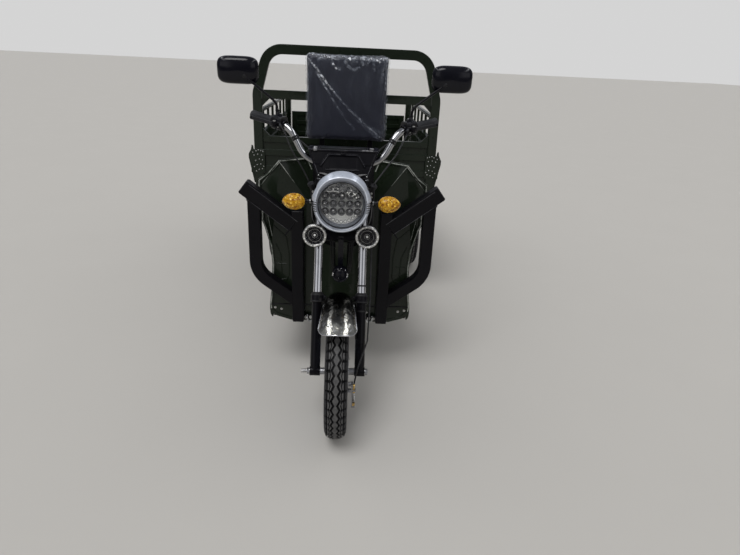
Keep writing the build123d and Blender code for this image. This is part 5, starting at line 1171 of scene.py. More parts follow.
class TRIKE_OT_spot_lamps(bpy.types.Operator):
    """Two round lamps with bright rings, painted glints round them and stepped black bowls with a small bright
    middle
    """

    bl_idname = "trike.spot_lamps"
    bl_label = "Spot lamps"

    def execute(self, context):
        rings, bowls, bright, glass, leads = Shape(), Shape(), Shape(), Shape(), Shape()
        for sign in (-1, 1):
            centre = at(sign * SPOT_X, SPOT_BACK, SPOT_Z)
            rings.lathe(centre, -BACK,
                        [(43.4, 0.4), (44.8, 2), (44.9, 5), (44, 8.4), (41.6, 11.2), (38.4, 11.9),
                         (35.8, 10.6), (34.4, 8), (34.2, 1), (36, 0.4)], 64, joined=True)
            bowls.lathe(centre, -BACK, [(38, -1), (38, 0.2), (34, 0.6), (33.8, 6.5), (31.5, 6.5), (30.5, 4),
                                        (27.5, 4), (26.5, 2.4), (22.5, 2.4), (21.5, 1.2), (18.5, 1.2),
                                        (17.5, 3.2), (14.5, 3.6), (13.5, 1.6), (9, 1.6)], 56)
            bright.lathe(centre, -BACK, [(4.6, 1.2), (4.6, 2.6), (3.6, 4.6), (2.4, 5.6), (0.8, 6.0)], 32)
            glass.lathe(centre, -BACK, [(34, 8.6), (34, 7.6), (20, 8.9), (8, 9.7), (0.05, 9.9), (0.05, 10.7),
                                        (8, 10.5), (20, 9.8)], 48, joined=True)
            leads.tube(rounded([at(sign * 92, 184, 733), at(sign * 92, 196, 733), at(sign * 70, 214, 706),
                                at(sign * 44, 232, 700)], 14), 2.6, 8)
        rings.done("spot_trim", "steering", "zinc", sharp=60, replaces=("spot_rings",))
        bowls.done("spot_bowls", "steering", "lamp_bowl", sharp=40)
        bright.done("spot_projectors", "steering", "led", sharp=50)
        glass.done("spot_glass", "steering", "lamp_glass", sharp=60)
        leads.done("spot_leads", "steering", "seal_rubber")
        faces = [(at(s * SPOT_X + 31.5 * math.cos(a), 142.4, SPOT_Z + 31.5 * math.sin(a)), -BACK)
                 for s in (-1, 1) for a in (math.tau * (i + 0.5) / 12 for i in range(12))]
        repeat("rivets", "spot_face_dots", "steering", "reflector", faces, 1.5)
        # Painted glints: small white domes round each lamp's ring.
        beads = [(at(s * SPOT_X + 39.6 * math.cos(a), 138.4, SPOT_Z + 39.6 * math.sin(a)), -BACK)
                 for s in (-1, 1) for a in (math.tau * (i + 0.3 * (i % 2) + 0.2 * s) / 13 for i in range(13))]
        repeat("rivets", "spot_glints", "steering", "led", beads, 2.8)
        for k, (size, ahead) in enumerate(((10.5, 1.2), (24.5, 3.0))):
            repeat("rings", f"spot_step_{k}", "steering", "zinc",
                   [(at(s * SPOT_X, SPOT_BACK - 1 - ahead, SPOT_Z), -BACK) for s in (-1, 1)], size, 0.55)
        repeat("bolts", "spot_bolts", "steering", "zinc",
               [(at(s * 103, 194, 746), BACK, UP) for s in (-1, 1)], 5.5, 4.5, 9.0)
        return {"FINISHED"}


class TRIKE_OT_turn_signals(bpy.types.Operator):
    """Amber lenses with fluted fronts, their rims, collars and nuts"""

    bl_idname = "trike.turn_signals"
    bl_label = "Turn signals"

    def execute(self, context):
        lenses, stalks, rims = Shape(), Shape(), Shape()
        for sign in (-1, 1):
            rows = []
            for i in range(33):
                x = 41 * math.sin((-1 + i / 16) * math.pi / 2)
                if x < -4:
                    r = 30.4 * math.sqrt(max(0.0, 1 - ((x + 4) / 37) ** 2))
                else:
                    r = 30.4 * max(0.0, 1 - ((x + 4) / 45) ** 2) ** 0.62
                r = max(r, 0.06)
                front = []
                for k in range(33):
                    a = math.pi * k / 32
                    flute = 1.0 + (0.03 if k % 4 < 2 else 0.0) * (1 if abs(x) < 34 and 3 < k < 29 else 0)
                    front.append(at(sign * (SIGNAL_X + x),
                                    SIGNAL_BACK - r * flute * math.sin(a) * 0.94, SIGNAL_Z + r * math.cos(a)))
                rows.append(front
                            + [at(sign * (SIGNAL_X + x), SIGNAL_BACK + 0.1,
                                  SIGNAL_Z + r * math.cos(math.pi * k / 32) * 0.97) for k in range(32, -1, -1)])
            lenses.rows(rows, ends=(True, True))
            ring = [row[0] for row in rows] + [row[32] for row in reversed(rows)]
            rims.tube([p - BACK * 0.0005 for p in ring + ring[:1]], 2.0, 8, ends=(False, False))
            stalks.lathe(at(sign * 111, 132, 880), LEFT * sign,
                         [(4, 0), (8.5, 0), (8.5, 4), (6.6, 5), (6.6, 14), (8.4, 15.5), (9.6, 20), (6, 24)], 24)
        mesh = lenses.mesh("signal_glass", sharp=60)
        rim = mesh.attributes.new("rim", "FLOAT", "POINT")
        for i, vertex in enumerate(mesh.vertices):
            forward = (AXLE_Y + SIGNAL_BACK) - vertex.co.y * 1000
            rim.data[i].value = max(0.0, 1 - forward / 7.0) ** 0.5 * 0.9
        dress(linked("signal_glass", mesh), "steering", "amber_lens", ("signal_lenses",))
        rims.done("signal_rims", "steering", "gloss_black", sharp=80)
        stalks.done("signal_collars", "steering", "black_plastic")
        repeat("nuts", "signal_nuts", "steering", "zinc",
               [(at(s * 113, 132, 880), LEFT * s, UP) for s in (-1, 1)], 6.5, 5.0, 3.5)
        return {"FINISHED"}


# Handlebar

BAR_BEND = at(212, 370, 1113)
BAR_END = at(365, 470, 1137)


def bar_point(sign, along):
    """A point on the bar's straight end, with its outward direction."""
    bend = Vector((sign * BAR_BEND.x, BAR_BEND.y, BAR_BEND.z))
    heading = (Vector((sign * BAR_END.x, BAR_END.y, BAR_END.z)) - bend).normalized()
    return bend + heading * along / 1000, heading


class TRIKE_OT_handlebar(bpy.types.Operator):
    """Chrome bar, ribbed grips, switches, levers' ends and the cables that leave them"""

    bl_idname = "trike.handlebar"
    bl_label = "Handlebar"

    def execute(self, context):
        points = [at(-365, 470, 1137), at(-212, 370, 1113), at(-142, 330, 985), at(142, 330, 985),
                  at(212, 370, 1113), at(365, 470, 1137)]
        bar = Shape()
        bar.tube(rounded(points, 56, 12), 12.9, 28)
        bar.done("chrome_bar", "steering", "chrome", sharp=60, replaces=("handlebar",))
        grips, clamps, switches, buttons, knobs, straps = (Shape() for _ in range(6))
        ribs, screws = [], []
        for sign in (-1, 1):
            base, heading = bar_point(sign, 0)
            _, over = square_to(heading)
            grips.lathe(base, heading,
                        [(13.2, 76.4), (23, 76.4), (23.6, 78), (23, 80.4), (19.4, 82), (17.6, 84), (16.6, 96),
                         (16.0, 130), (16.8, 170), (18.2, 178), (18.6, 184), (17, 187), (6, 187.4)], 44)
            ribs += [(base + heading * (88 + 4.6 * k) / 1000, heading, over) for k in range(19)]
            clamps.lathe(base, heading, [(13.2, 16), (16.4, 16.4), (17, 19), (17, 23), (13.2, 23.4)], 28,
                         joined=True)
            rear = (BACK - heading * heading.dot(BACK)).normalized()
            top = heading.cross(rear)
            top = top if top.z > 0 else -top
            axes = Matrix((heading, rear, top)).transposed()
            middle, _ = bar_point(sign, 49)
            switches.cuboid(middle, (22.5, 21.5, 25.5), 7.5, axes, 4)
            switches.cuboid(middle, (0.8, 21.9, 25.9), 0.4, axes, 1)
            front = middle - rear * 0.0215
            screws += [(front + heading * u / 1000 + top * v / 1000, -rear, top)
                       for u, v in ((-13, -15), (13, -15), (13, 15))]
            switches.cuboid(front - heading * 0.008 + top * 0.006, (7, 3, 8), 2, axes)
            for along, up_by, which, size in ((-9, 12, knobs, 4.2),
                                              (8, 12, buttons if sign < 0 else knobs, 5.0),
                                              (-2, -10, knobs, 5.4)):
                spot = middle + heading * along / 1000 + top * up_by / 1000 + rear * 0.0213
                which.lathe(spot, rear, [(size, 0), (size, 2.6), (size - 0.8, 3.6), (1, 3.8)], 20)
            clamps.lathe(middle + top * 0.0248 - rear * 0.002, top,
                         [(9, 0), (9, 5), (7, 6), (7, 9), (6, 10)], 24)
            foot = at(sign * 142, 330, 985)
            climb = at(sign * 212, 370, 1113) - foot
            for share in (0.62, 0.68):
                straps.lathe(foot + climb * share, climb,
                             [(13, -4), (14.8, -3.6), (15.2, 0), (14.8, 3.6), (13, 4)], 24, joined=True)
            straps.block(foot + climb * 0.65 - Vector((0.005, 0.0175, 0.004)),
                         foot + climb * 0.65 + Vector((0.005, -0.0125, 0.004)), 1.5)
        grips.done("grip_sleeves", "steering", "grip_rubber", replaces=("grips",))
        repeat("rings", "grip_ribs", "steering", "grip_rubber", ribs, 16.5, 1.1)
        clamps.done("bar_clamps", "steering", "gloss_black")
        switches.done("switch_blocks", "steering", "gloss_black", sharp=50)
        repeat("rivets", "switch_screws", "steering", "zinc", screws, 2.4)
        buttons.done("stop_button", "steering", "red_button")
        knobs.done("switch_knobs", "steering", "grey_cable")
        straps.done("bar_straps", "steering", "seal_rubber")
        levers, pins = Shape(), []
        for sign in (-1, 1):
            tip = at(sign * 364, 405, 1134)
            levers.lathe(tip - LEFT * sign * 0.003, (LEFT * sign + BACK * 0.62).normalized(),
                         [(2, -7), (6.6, -4), (7.8, 0), (6.6, 4), (2, 6.5)], 20)
            pivot = at(sign * 266, 346, 1120)
            levers.lathe(pivot - UP * 0.0095, UP, [(3, 0), (9, 0), (10, 1.5), (10, 17.5), (9, 19), (3, 19)], 24)
            pins.append((pivot + UP * 0.0095, UP))
            levers.tube([at(sign * 262, 350, 1120), at(sign * 248, 362, 1118)], [9, 8], 16)
        levers.done("lever_ends", "steering", "black_paint")
        repeat("bolts", "lever_bolts", "steering", "zinc", pins, 4.5, 3.2, 6.5)
        cables, boots = Shape(), Shape()
        for sign in (-1, 1):
            start, second = at(sign * 246, 349, 1118), at(sign * 226, 322, 1100)
            if sign < 0:
                cables.tube(rounded([start, second, at(-198, 290, 1036), at(-150, 262, 968), at(-116, 246, 905),
                                     at(-104, 258, 820)], 45, 7), 2.6, 10)
            cables.tube(rounded([at(sign * 236, 388, 1096), at(sign * 200, 386, 1077),
                                 at(sign * 165, 372, 1053), at(sign * 142, 358, 1037),
                                 at(sign * 124, 342, 1028)], 40, 7), 3.4, 10)
            boots.lathe(at(sign * 129, 346, 1030), LEFT * sign,
                        [(2, -3), (7, -2), (7.5, 1), (4.6, 5), (4.2, 9), (3, 9.4)], 16)
            boots.lathe(start, (second - start).normalized(),
                        [(2.8, 12), (4, 11), (4.8, 2), (4.8, 0), (3, -2)], 16)
        cables.done("control_cables", "steering", "seal_rubber", sharp=80)
        boots.done("cable_boots", "steering", "grip_rubber")
        return {"FINISHED"}


class TRIKE_OT_mirrors(bpy.types.Operator):
    """Smooth mirror shells on bent stalks with locknuts and boots"""

    bl_idname = "trike.mirrors"
    bl_label = "Mirrors"

    def execute(self, context):
        shells, stalks, sockets, nuts = Shape(), Shape(), Shape(), Shape()
        # columns: distance behind the back of the shell, half width, half height, corner power
        section = ((0.0, 0.03, 0.02, 2.2), (0.5, 0.30, 0.24, 2.4), (1.8, 0.54, 0.46, 2.7),
                   (4.4, 0.74, 0.68, 3.0), (9, 0.88, 0.84, 3.4), (16, 0.96, 0.945, 3.8),
                   (24, 0.99, 0.985, 4.1), (31, 1.0, 1.0, 4.3), (34, 0.992, 0.99, 4.3),
                   (34.0, 0.965, 0.95, 4.3), (32.4, 0.95, 0.93, 4.3))
        for sign in (-1, 1):
            rows = []
            for behind, wide, high, power in section:
                row = []
                for k in range(72):
                    a = math.tau * k / 72
                    c, s = math.cos(a), math.sin(a)
                    r = 1 / (abs(c) ** power + abs(s) ** power) ** (1 / power)
                    dent = math.exp(-((wide * 79 * r * c + 24) / 11) ** 2 - ((high * 51 * r * s + 20) / 9) ** 2)
                    row.append(at(sign * (415 + wide * 78.8 * r * c), 425 + behind + 1.6 * dent,
                                  1302 + high * 50.8 * r * s))
                rows.append(row)
            shells.rows(rows, ends=(True, True))
            path = rounded([at(sign * 259, 400, 1136), at(sign * 262, 402, 1192), at(sign * 388, 437, 1282)],
                           22, 8)
            stalks.tube(path, 4.9, 16)
            sockets.lathe(at(sign * 259, 400, 1134), UP,
                          [(7, 0), (10, 0.5), (10, 7), (8, 9), (7.6, 22), (6, 25), (5, 25)], 24, joined=True)
            nuts.lathe(at(sign * 259.8, 400.4, 1160), UP, [(5, 0), (8.2, 0), (8.2, 7), (5, 7)], 6, joined=True)
            head = (at(sign * 262, 402, 1192) - at(sign * 388, 437, 1282)).normalized()
            sockets.lathe(at(sign * 390, 437, 1284), head,
                          [(4, -6), (9.5, -4), (12, 1), (10.5, 6), (7.5, 12), (5.2, 15)], 24)
        shells.done("mirror_shells", "steering", "gloss_black", sharp=50, replaces=("mirrors",))
        stalks.done("mirror_stalks", "steering", "black_paint")
        sockets.done("mirror_sockets", "steering", "black_plastic")
        nuts.done("mirror_nuts", "steering", "black_paint")
        return {"FINISHED"}


# Dash

DASH_TOP = 1040.3


def on_front(u, v, out=0.0):
    """A point of the cowl's sloping front: across and up from 0 to 1, standing out in millimetres."""
    return at(u * (92 + 43 * v), 243 + 47 * v - out * 0.905, 940 + 100 * v + out * 0.425)


def near_line(x, z, line, reach):
    """How close a point is to a line of points: 1 on it, 0 beyond its reach."""
    best = 1e9
    for (x0, z0), (x1, z1) in zip(line, line[1:]):
        long = (x1 - x0) ** 2 + (z1 - z0) ** 2
        t = min(max(((x - x0) * (x1 - x0) + (z - z0) * (z1 - z0)) / long, 0.0), 1.0)
        best = min(best, math.hypot(x - x0 - t * (x1 - x0), z - z0 - t * (z1 - z0)))
    return 1.0 - ramp(best, reach * 0.72, reach)


def in_box(x, z, left, right, low, high, soft=1.4):
    """1 inside a box and 0 outside, with a soft edge."""
    return (ramp(x, left - soft, left) * ramp(-x, -right - soft, -right)
            * ramp(z, low - soft, low) * ramp(-z, -high - soft, -high))


ARCH = ((-84, 44), (-58, 78), (-50, 83), (52, 83), (60, 78), (82, 44))


class TRIKE_OT_dash(bpy.types.Operator):
    """The dash's moulded front with painted highlight lines, its display on top, the key switch, screws, caps,
    a steel highlight streak and grey cables
    """

    bl_idname = "trike.dash"
    bl_label = "Dash"

    def execute(self, context):
        panel, rows = Shape(), []
        for j in range(73):
            v = 0.03 + 0.95 * j / 72
            row = []
            for i in range(161):
                u = -0.975 + 1.95 * i / 160
                x, z = u * (92 + 43 * v), v * 100
                h = 2.6 + 2.2 * max(ramp(abs(u), 0.93, 0.955), ramp(z, 92, 94), 1 - ramp(z, 5, 7))
                h -= 1.6 * in_box(x, z, -50, 50, 35, 76, 3)
                h += 3.0 * near_line(x, z, ARCH, 4.6)
                h += 1.5 * in_box(x, z, -64, 62, 28, 32)
                h -= 2.3 * (in_box(x, z, -106, -76, 13, 48) + in_box(x, z, 76, 106, 13, 48))
                h += 1.2 * (in_box(x, z, -104, -78, 16, 19) + in_box(x, z, 78, 104, 16, 19))
                h += 2.4 * in_box(x, z, -9, 9, 82, 95)
                h -= 1.6 * (in_box(x, z, -40, -10, 10, 22) + in_box(x, z, 10, 40, 10, 22))
                row.append(on_front(u, v, max(h, 0.3)))
            rows.append(row)
        rows = [[on_front(-0.975 + 1.95 * i / 160, 0.03, -0.8) for i in range(161)]] + rows
        rows.append([on_front(-0.975 + 1.95 * i / 160, 0.98, -0.8) for i in range(161)])
        panel.rows([row[:1] + row + row[-1:] for row in rows], closed=False)
        panel.done("dash_surround", "steering", "black_paint", sharp=30)
        # Thin tubes along the cowl's top edge, the arch, a level line and the sides, painted as highlight
        # lines.
        highlight_lines = Shape()
        highlight_lines.tube([on_front(-0.97 + 1.94 * i / 24, 0.985, 4.4) for i in range(25)], 1.5, 8)
        highlight_lines.tube([on_front(x / (92 + 0.43 * z), z / 100, 5.2) for x, z in ARCH], 1.0, 6)
        highlight_lines.tube([on_front(x / 105, 0.31, 3.8) for x in range(-64, 64, 4)], 0.8, 6)
        for sign in (-1, 1):
            highlight_lines.tube([on_front(sign * 0.95, 0.06 + 0.42 * i / 8, 4.6) for i in range(9)], 0.9, 6)
        highlight_lines.done("dash_trim", "steering", "rubbed_black")
        for name, finish, places in (("dash_screws", "zinc", ((-0.94, 0.1), (0.94, 0.1))),
                                     ("dash_clips", "black_paint",
                                      ((-0.94, 0.9), (0.94, 0.9), (-0.94, 0.62), (0.94, 0.62)))):
            repeat("rivets", name, "steering", finish,
                   [(on_front(u, v, 5.0), -BACK + UP * 0.4) for u, v in places], 2.8)
        display, edge, key, caps, thin = (Shape() for _ in range(5))
        display.prism([at(-88, 302, DASH_TOP), at(88, 302, DASH_TOP), at(88, 360, DASH_TOP),
                       at(-88, 360, DASH_TOP)], UP * 0.0035, 1.2)
        display.done("dash_display", "steering", "display")
        ring = [at(x, behind, 1041.5)
                for x, behind in ((-92, 298), (92, 298), (92, 364), (-92, 364), (-92, 298), (92, 298))]
        edge.tube(rounded(ring, 6, 4), 1.6, 8, ends=(False, False))
        edge.done("display_frame", "steering", "black_plastic")
        for x, size in ((108, 9), (-108, 8)):
            key.lathe(at(x, 330, DASH_TOP), UP,
                      [(size, 0), (size, 3), (size - 1.5, 4), (size - 3.5, 3.2), (2, 2.6)], 28)
        key.done("key_switch", "steering", "zinc")
        for sign in (-1, 1):
            if sign < 0:
                caps.lathe(on_front(-0.8, 0.95, 3), UP,
                           [(3, 0), (8, 0.5), (8.5, 3), (8.5, 9), (7, 11.5), (2, 12)], 20)
            for k in (0, 1):
                path = [on_front(sign * (0.9 - 0.1 * k), 0.18, -1),
                        on_front(sign * (0.8 - 0.12 * k), 0.16, 9),
                        on_front(sign * (0.5 - 0.12 * k), 0.03 - 0.02 * k, 22 + 4 * k),
                        at(sign * (34 - 8 * k), 205, 935), at(sign * (30 - 8 * k), 196, 900)]
                thin.tube(rounded(path, 24, 7), 2.3 - 0.5 * k, 8)
            thin.tube(rounded([at(sign * 110, 168, 872), at(sign * 112, 176, 846), at(sign * 110, 188, 800),
                               at(sign * 92, 214, 742)], 16, 6), 1.5, 8)
        # A short steel tube along the cowl's top edge stands in for a highlight there.
        caps.tube([on_front(0.52 + 0.03 * i, 0.992, 5) for i in range(11)],
                  [1, 2, 2.2, 1.4, 2.3, 2.3, 2.2, 1.2, 2.2, 2.0, 1], 8)
        caps.done("dash_caps", "steering", "steel")
        thin.done("thin_leads", "steering", "grey_cable", sharp=80)
        return {"FINISHED"}


# Leg shield and floor

TREES_OF_SKIN = {}


def skin(name):
    """A search tree over a CAD node's surface."""
    if name not in TREES_OF_SKIN:
        mesh = frame["nodes"][name].data
        TREES_OF_SKIN[name] = BVHTree.FromPolygons([v.co for v in mesh.vertices],
                                                   [tuple(p.vertices) for p in mesh.polygons])
    return TREES_OF_SKIN[name]


def seen(name, start, heading, out=0.0):
    """Where a ray first meets a CAD node, lifted off it in millimetres, or None."""
    place, normal, _, _ = skin(name).ray_cast(start, heading)
    return None if place is None else place + normal * out / 1000


def from_front(name, x, z, out=0.0, behind=-300):
    return seen(name, at(x, behind, z), BACK, out)


def traced(name, corners, steps=10, out=0.0):
    """A path over a node's front through corners of (left, height)."""
    path = []
    for (x0, z0), (x1, z1) in zip(corners, corners[1:]):
        for i in range(steps + (1 if (x1, z1) == corners[-1] else 0)):
            t = i / steps
            place = from_front(name, x0 + (x1 - x0) * t, z0 + (z1 - z0) * t, out)
            if place is not None:
                path.append(place)
    return path


class TRIKE_OT_shield(bpy.types.Operator):
    """The leg shield's rolled rim and creases, painted as highlight lines, its pressed ribs and rivets"""

    bl_idname = "trike.shield"
    bl_label = "Leg shield"

    def execute(self, context):
        rim, crease, ribs, bolts = Shape(), Shape(), Shape(), []
        outline = [(306, 312), (308, 335), (298, 420), (294, 520), (301, 600), (327, 680), (340, 708),
                   (340, 808), (354, 836), (353, 872), (314, 903), (266, 960), (152, 969), (134, 926)]
        for sign in (-1, 1):
            side = [(sign * x, z) for x, z in outline]
            # The rim's tube is painted as a highlight line.
            rim.tube(traced("leg_shield", side, 8, 0.3), 2.4, 10)
            # Tubes along the creases are painted as highlight lines, thinning towards their ends.
            for start, end in (((264, 956), (202, 874)), ((262, 957), (347, 852)), ((299, 644), (330, 786))):
                path = traced("leg_shield", [(sign * start[0], start[1]), (sign * end[0], end[1])], 22, 0.1)
                crease.tube(path, [1.5 - 0.9 * i / max(len(path) - 1, 1) for i in range(len(path))], 8)
            for line in (((292, 690), (238, 640), (226, 560), (226, 470), (240, 440)),
                         ((284, 612), (262, 560), (258, 470)), ((240, 520), (284, 520)),
                         ((238, 452), (286, 440)), ((226, 400), (290, 392))):
                path = traced("leg_shield", [(sign * x, z) for x, z in line], 8, -0.8)
                ribs.tube(path, 3.0, 8)
            for x, z in ((262, 930), (160, 948), (206, 952)):
                bolts.append((from_front("leg_shield", sign * x, z), -BACK))
        rim.done("shield_rim", "frame", "rubbed_paint", sharp=60)
        crease.done("shield_creases", "frame", "rubbed_paint", sharp=60)
        ribs.done("shield_ribs", "frame", "body_paint", sharp=60)
        repeat("rivets", "shield_rivets", "frame", "body_paint", [b for b in bolts if b[0] is not None], 4.0)
        return {"FINISHED"}


class TRIKE_OT_floor_details(bpy.types.Operator):
    """The foot floor's dark seam and bolts, a ribbed mat and the pedal's rubber"""

    bl_idname = "trike.floor_details"
    bl_label = "Foot floor"

    def execute(self, context):
        seam = Shape()
        seam.tube(traced("leg_shield", [(-308, 331), (308, 331)], 60, 0.2), 3.6, 8)
        seam.done("floor_seam", "frame", "seal_rubber", sharp=60)
        spots = [(from_front("leg_shield", sign * x, z), -BACK) for sign in (-1, 1)
                 for x, z in ((290, 314), (262, 308), (120, 300), (40, 300))]
        repeat("bolts", "floor_bolts", "frame", "zinc", spots, 3.6, 3.6, 5.4)
        mat = Shape()
        mat.prism([at(x, behind, 332.2)
                   for x, behind in ((-180, 546), (180, 546), (190, 560), (190, 770), (180, 786), (-180, 786),
                                     (-190, 770), (-190, 560))], UP * 0.0035, 0.8)
        mat.done("foot_mat", "frame", "foot_mat")
        grooves = [(at(x, behind, 335.6), UP) for x in (-95, 95) for behind in range(562, 776, 9)]
        repeat("slats", "mat_ribs", "frame", "foot_mat", grooves, 165.0, 4.2, 1.8)
        pad = Shape()
        pad.block(at(-259, 557, 393.6), at(-195, 605, 398.4), 2)
        pad.done("pedal_rubber", "frame", "seal_rubber")
        repeat("slats", "pedal_ribs", "frame", "seal_rubber",
               [(at(-227, behind, 398), UP) for behind in range(563, 603, 6)], 54.0, 2.6, 1.6)
        return {"FINISHED"}


class TRIKE_OT_crash_bars(bpy.types.Operator):
    """Weld beads, plugs in the bars' ends, painted highlights along their edges and the feet's bolts and hooks
    """

    bl_idname = "trike.crash_bars"
    bl_label = "Crash bars"

    def execute(self, context):
        plugs, hooks, welds, bolts, shine = Shape(), Shape(), [], [], Shape()
        for sign in (-1, 1):
            along = Vector((sign * 204, 0, 154)).normalized()
            over = Vector((-sign * 154, 0, 204)).normalized()
            axes = Matrix((along, BACK, over)).transposed()
            end = at(sign * 400, 385, 868)
            plugs.cuboid(end - along * 0.001, (4, 23.5, 28.5), 3.4, axes, 3)
            foot = at(sign * 183, 385, 273)
            plugs.cuboid(foot, (23, 23, 2), 1.6)
            start = at(sign * 214, 360, 700)
            welds += line_of(start - over * 0.032, start + over * 0.03, 3.4, -BACK)
            welds += line_of(at(sign * 208.5, 362, 700), at(sign * 208.5, 408, 700), 3.4, LEFT * sign)
            welds += line_of(at(sign * 335, 361, 790), at(sign * 385, 361, 816), 3.4, -BACK - UP * 0.5)
            welds += line_of(at(sign * 208.6, 361, 352), at(sign * 208.6, 361, 412), 3.4, LEFT * sign - BACK)
            bolts += [(at(sign * 130, 391.6, 282), -BACK), (at(sign * 150, 391.6, 282), -BACK)]
            hooks.tube(rounded([at(sign * 146, 394, 292), at(sign * 146, 380, 284), at(sign * 140, 378, 270),
                                at(sign * 126, 384, 266), at(sign * 118, 392, 276)], 8, 5), 3.6, 10)
            # Thin tubes along the top bars' lower and upper front edges, painted as highlights.
            low = [from_front("crash_bars", sign * x, 716.0 + (x - 204) * 0.7549 - 33.2, 0.2)
                   for x in range(215, 392, 6)]
            high = [from_front("crash_bars", sign * x, 716.0 + (x - 204) * 0.7549 + 33.0, 0.2)
                    for x in range(182, 378, 6)]
            for path in (low, high):
                path = [p for p in path if p is not None]
                if len(path) > 2:
                    shine.tube(path, 0.9, 6)
        plugs.done("bar_plugs", "frame", "black_plastic")
        hooks.done("foot_hooks", "frame", "zinc", sharp=60)
        shine.done("bar_edges", "frame", "rubbed_black", sharp=60)
        repeat("welds", "bar_welds", "frame", "black_paint", welds, 3.2)
        repeat("bolts", "foot_bolts", "frame", "zinc", bolts, 5.0, 4.5, 7.5)
        return {"FINISHED"}


class TRIKE_OT_neck(bpy.types.Operator):
    """The horn's face, the clamps' nuts, the wiring and the bands round the head tube"""

    bl_idname = "trike.neck"
    bl_label = "Neck"

    def execute(self, context):
        horn, wires, bands = Shape(), Shape(), Shape()
        centre = at(0, 165, 582)
        horn.lathe(centre, -BACK, [(31.2, -18), (31.6, -2), (30, 1.2), (27, 1.8), (25, 0.4), (20, 0.6),
                                   (18, 2.2), (11, 2.6), (8, 4.6), (1, 5.0)], 40)
        horn.done("horn_shell", "steering", "lamp_bowl", sharp=35)
        repeat("rivets", "horn_screws", "steering", "zinc",
               [(centre + (LEFT * math.cos(a) + UP * math.sin(a)) * 0.0285 - BACK * 0.001, -BACK)
                for a in (math.radians(t) for t in (8, 168, 182, 352))], 3.3)
        repeat("rivets", "horn_glints", "steering", "chrome",
               [(centre + LEFT * x / 1000 + UP * z / 1000 - BACK * 0.0016, -BACK)
                for x, z in ((-9, 25), (3, 27), (20, 19), (-6, -12), (27, -9))], 1.9)
        repeat("rings", "horn_rings", "steering", "gloss_black", [(centre - BACK * 0.0006, -BACK)], 22.6, 1.0)
        knobs = [(fork(x, level, off), -FORK_BACK) for x, level, off in
                 ((-34, 522, 13), (34, 522, 13), (-34, 727, 13), (34, 727, 13))]
        repeat("nuts", "clamp_nuts", "steering", "zinc", knobs, 6.5, 6.0, 3.4)
        for k, x in enumerate((-44, -36, 38, 46, 52)):
            wires.tube(rounded([at(x * 1.1, 236, 846), at(x, 232 - k, 760), at(x * 0.9, 214, 690),
                                at(x * 0.85, 226, 620), at(x * 0.7, 262, 548)], 40, 6), 2.4 + 0.5 * (k % 2), 8)
        wires.done("neck_wires", "steering", "seal_rubber", sharp=80)
        for level in (560, 600, 640, 680):
            bands.lathe(fork(0, level, STEM_OFF), FORK_UP, [(26, -0.8), (27.2, 0), (26, 0.8)], 36, joined=True)
        bands.done("neck_bands", "frame", "gloss_black", sharp=60)
        return {"FINISHED"}


# Seat

CLOTH_FRAMES = 20


def rest_copy(name, node_name, share, voxel):
    """A closed, evenly meshed copy of a CAD solid, made smaller about its middle."""
    bm = bmesh.new()
    bm.from_mesh(frame["nodes"][node_name].data)
    bmesh.ops.remove_doubles(bm, verts=bm.verts, dist=0.00005)
    low, high = (Vector(c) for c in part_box(node_name))
    middle = (low + high) / 2
    for v in bm.verts:
        v.co = Vector(middle[i] + (v.co[i] - middle[i]) * share[i] for i in range(3))
    mesh = bpy.data.meshes.new(name)
    bm.to_mesh(mesh)
    bm.free()
    obj = linked(name, mesh)
    remesh = obj.modifiers.new("even", "REMESH")
    remesh.mode, remesh.voxel_size = "VOXEL", voxel
    settle(obj, remesh)
    return obj


def swell(obj, cap, pressure=4.0):
    """Blows an even closed mesh up as cloth, and holds each point within a cap in millimetres."""
    start = [v.co.copy() for v in obj.data.vertices]
    cloth = obj.modifiers.new("swell", "CLOTH")
    cloth.settings.quality = 6
    cloth.settings.mass = 0.3
    cloth.settings.use_pressure = True
    cloth.settings.uniform_pressure_force = pressure
    cloth.settings.effector_weights.gravity = 0
    cloth.collision_settings.use_collision = False
    for number in range(1, CLOTH_FRAMES + 1):
        bpy.context.scene.frame_set(number)
    settle(obj, cloth)
    bpy.context.scene.frame_set(1)
    for vertex, old in zip(obj.data.vertices, start):
        step = vertex.co - old
        if step.length > cap / 1000:
            vertex.co = old + step.normalized() * cap / 1000


def held(obj, low, high, reach=()):
    """Stretches a piece to its box along some axes and keeps every point in it, flat where it rests."""
    points = [vertex.co for vertex in obj.data.vertices]
    for i in reach:
        least, most = min(p[i] for p in points), max(p[i] for p in points)
        for point in points:
            point[i] = low[i] + (point[i] - least) * (high[i] - low[i]) / (most - least)
    for vertex in obj.data.vertices:
        vertex.co = Vector(min(max(vertex.co[i], low[i]), high[i]) for i in range(3))


def smoother(obj):
    finer = obj.modifiers.new("finer", "SUBSURF")
    finer.levels = finer.render_levels = 1
    settle(obj, finer)
    obj.data.shade_smooth()


def round_it(obj, centre, across, over, half_a, half_b, power=6.0, out=0.0, steps=160):
    """Points round a piece where rays towards its middle meet it."""
    mesh = obj.data
    tree = BVHTree.FromPolygons([v.co for v in mesh.vertices], [tuple(p.vertices) for p in mesh.polygons])
    path = []
    for i in range(steps + 1):
        a = math.tau * i / steps
        c, s = math.cos(a), math.sin(a)
        r = 1 / (abs(c) ** power + abs(s) ** power) ** (1 / power)
        away = across * (half_a * r * c) + over * (half_b * r * s)
        aim = across * (max(half_a - 60, 10) * r * c) + over * (max(half_b - 60, 10) * r * s)
        start = centre + away * 1.4 / 1000
        place, normal, _, _ = tree.ray_cast(start, (centre + aim / 1000 - start).normalized())
        if place is not None:
            path.append(place + normal * out / 1000)
    return path


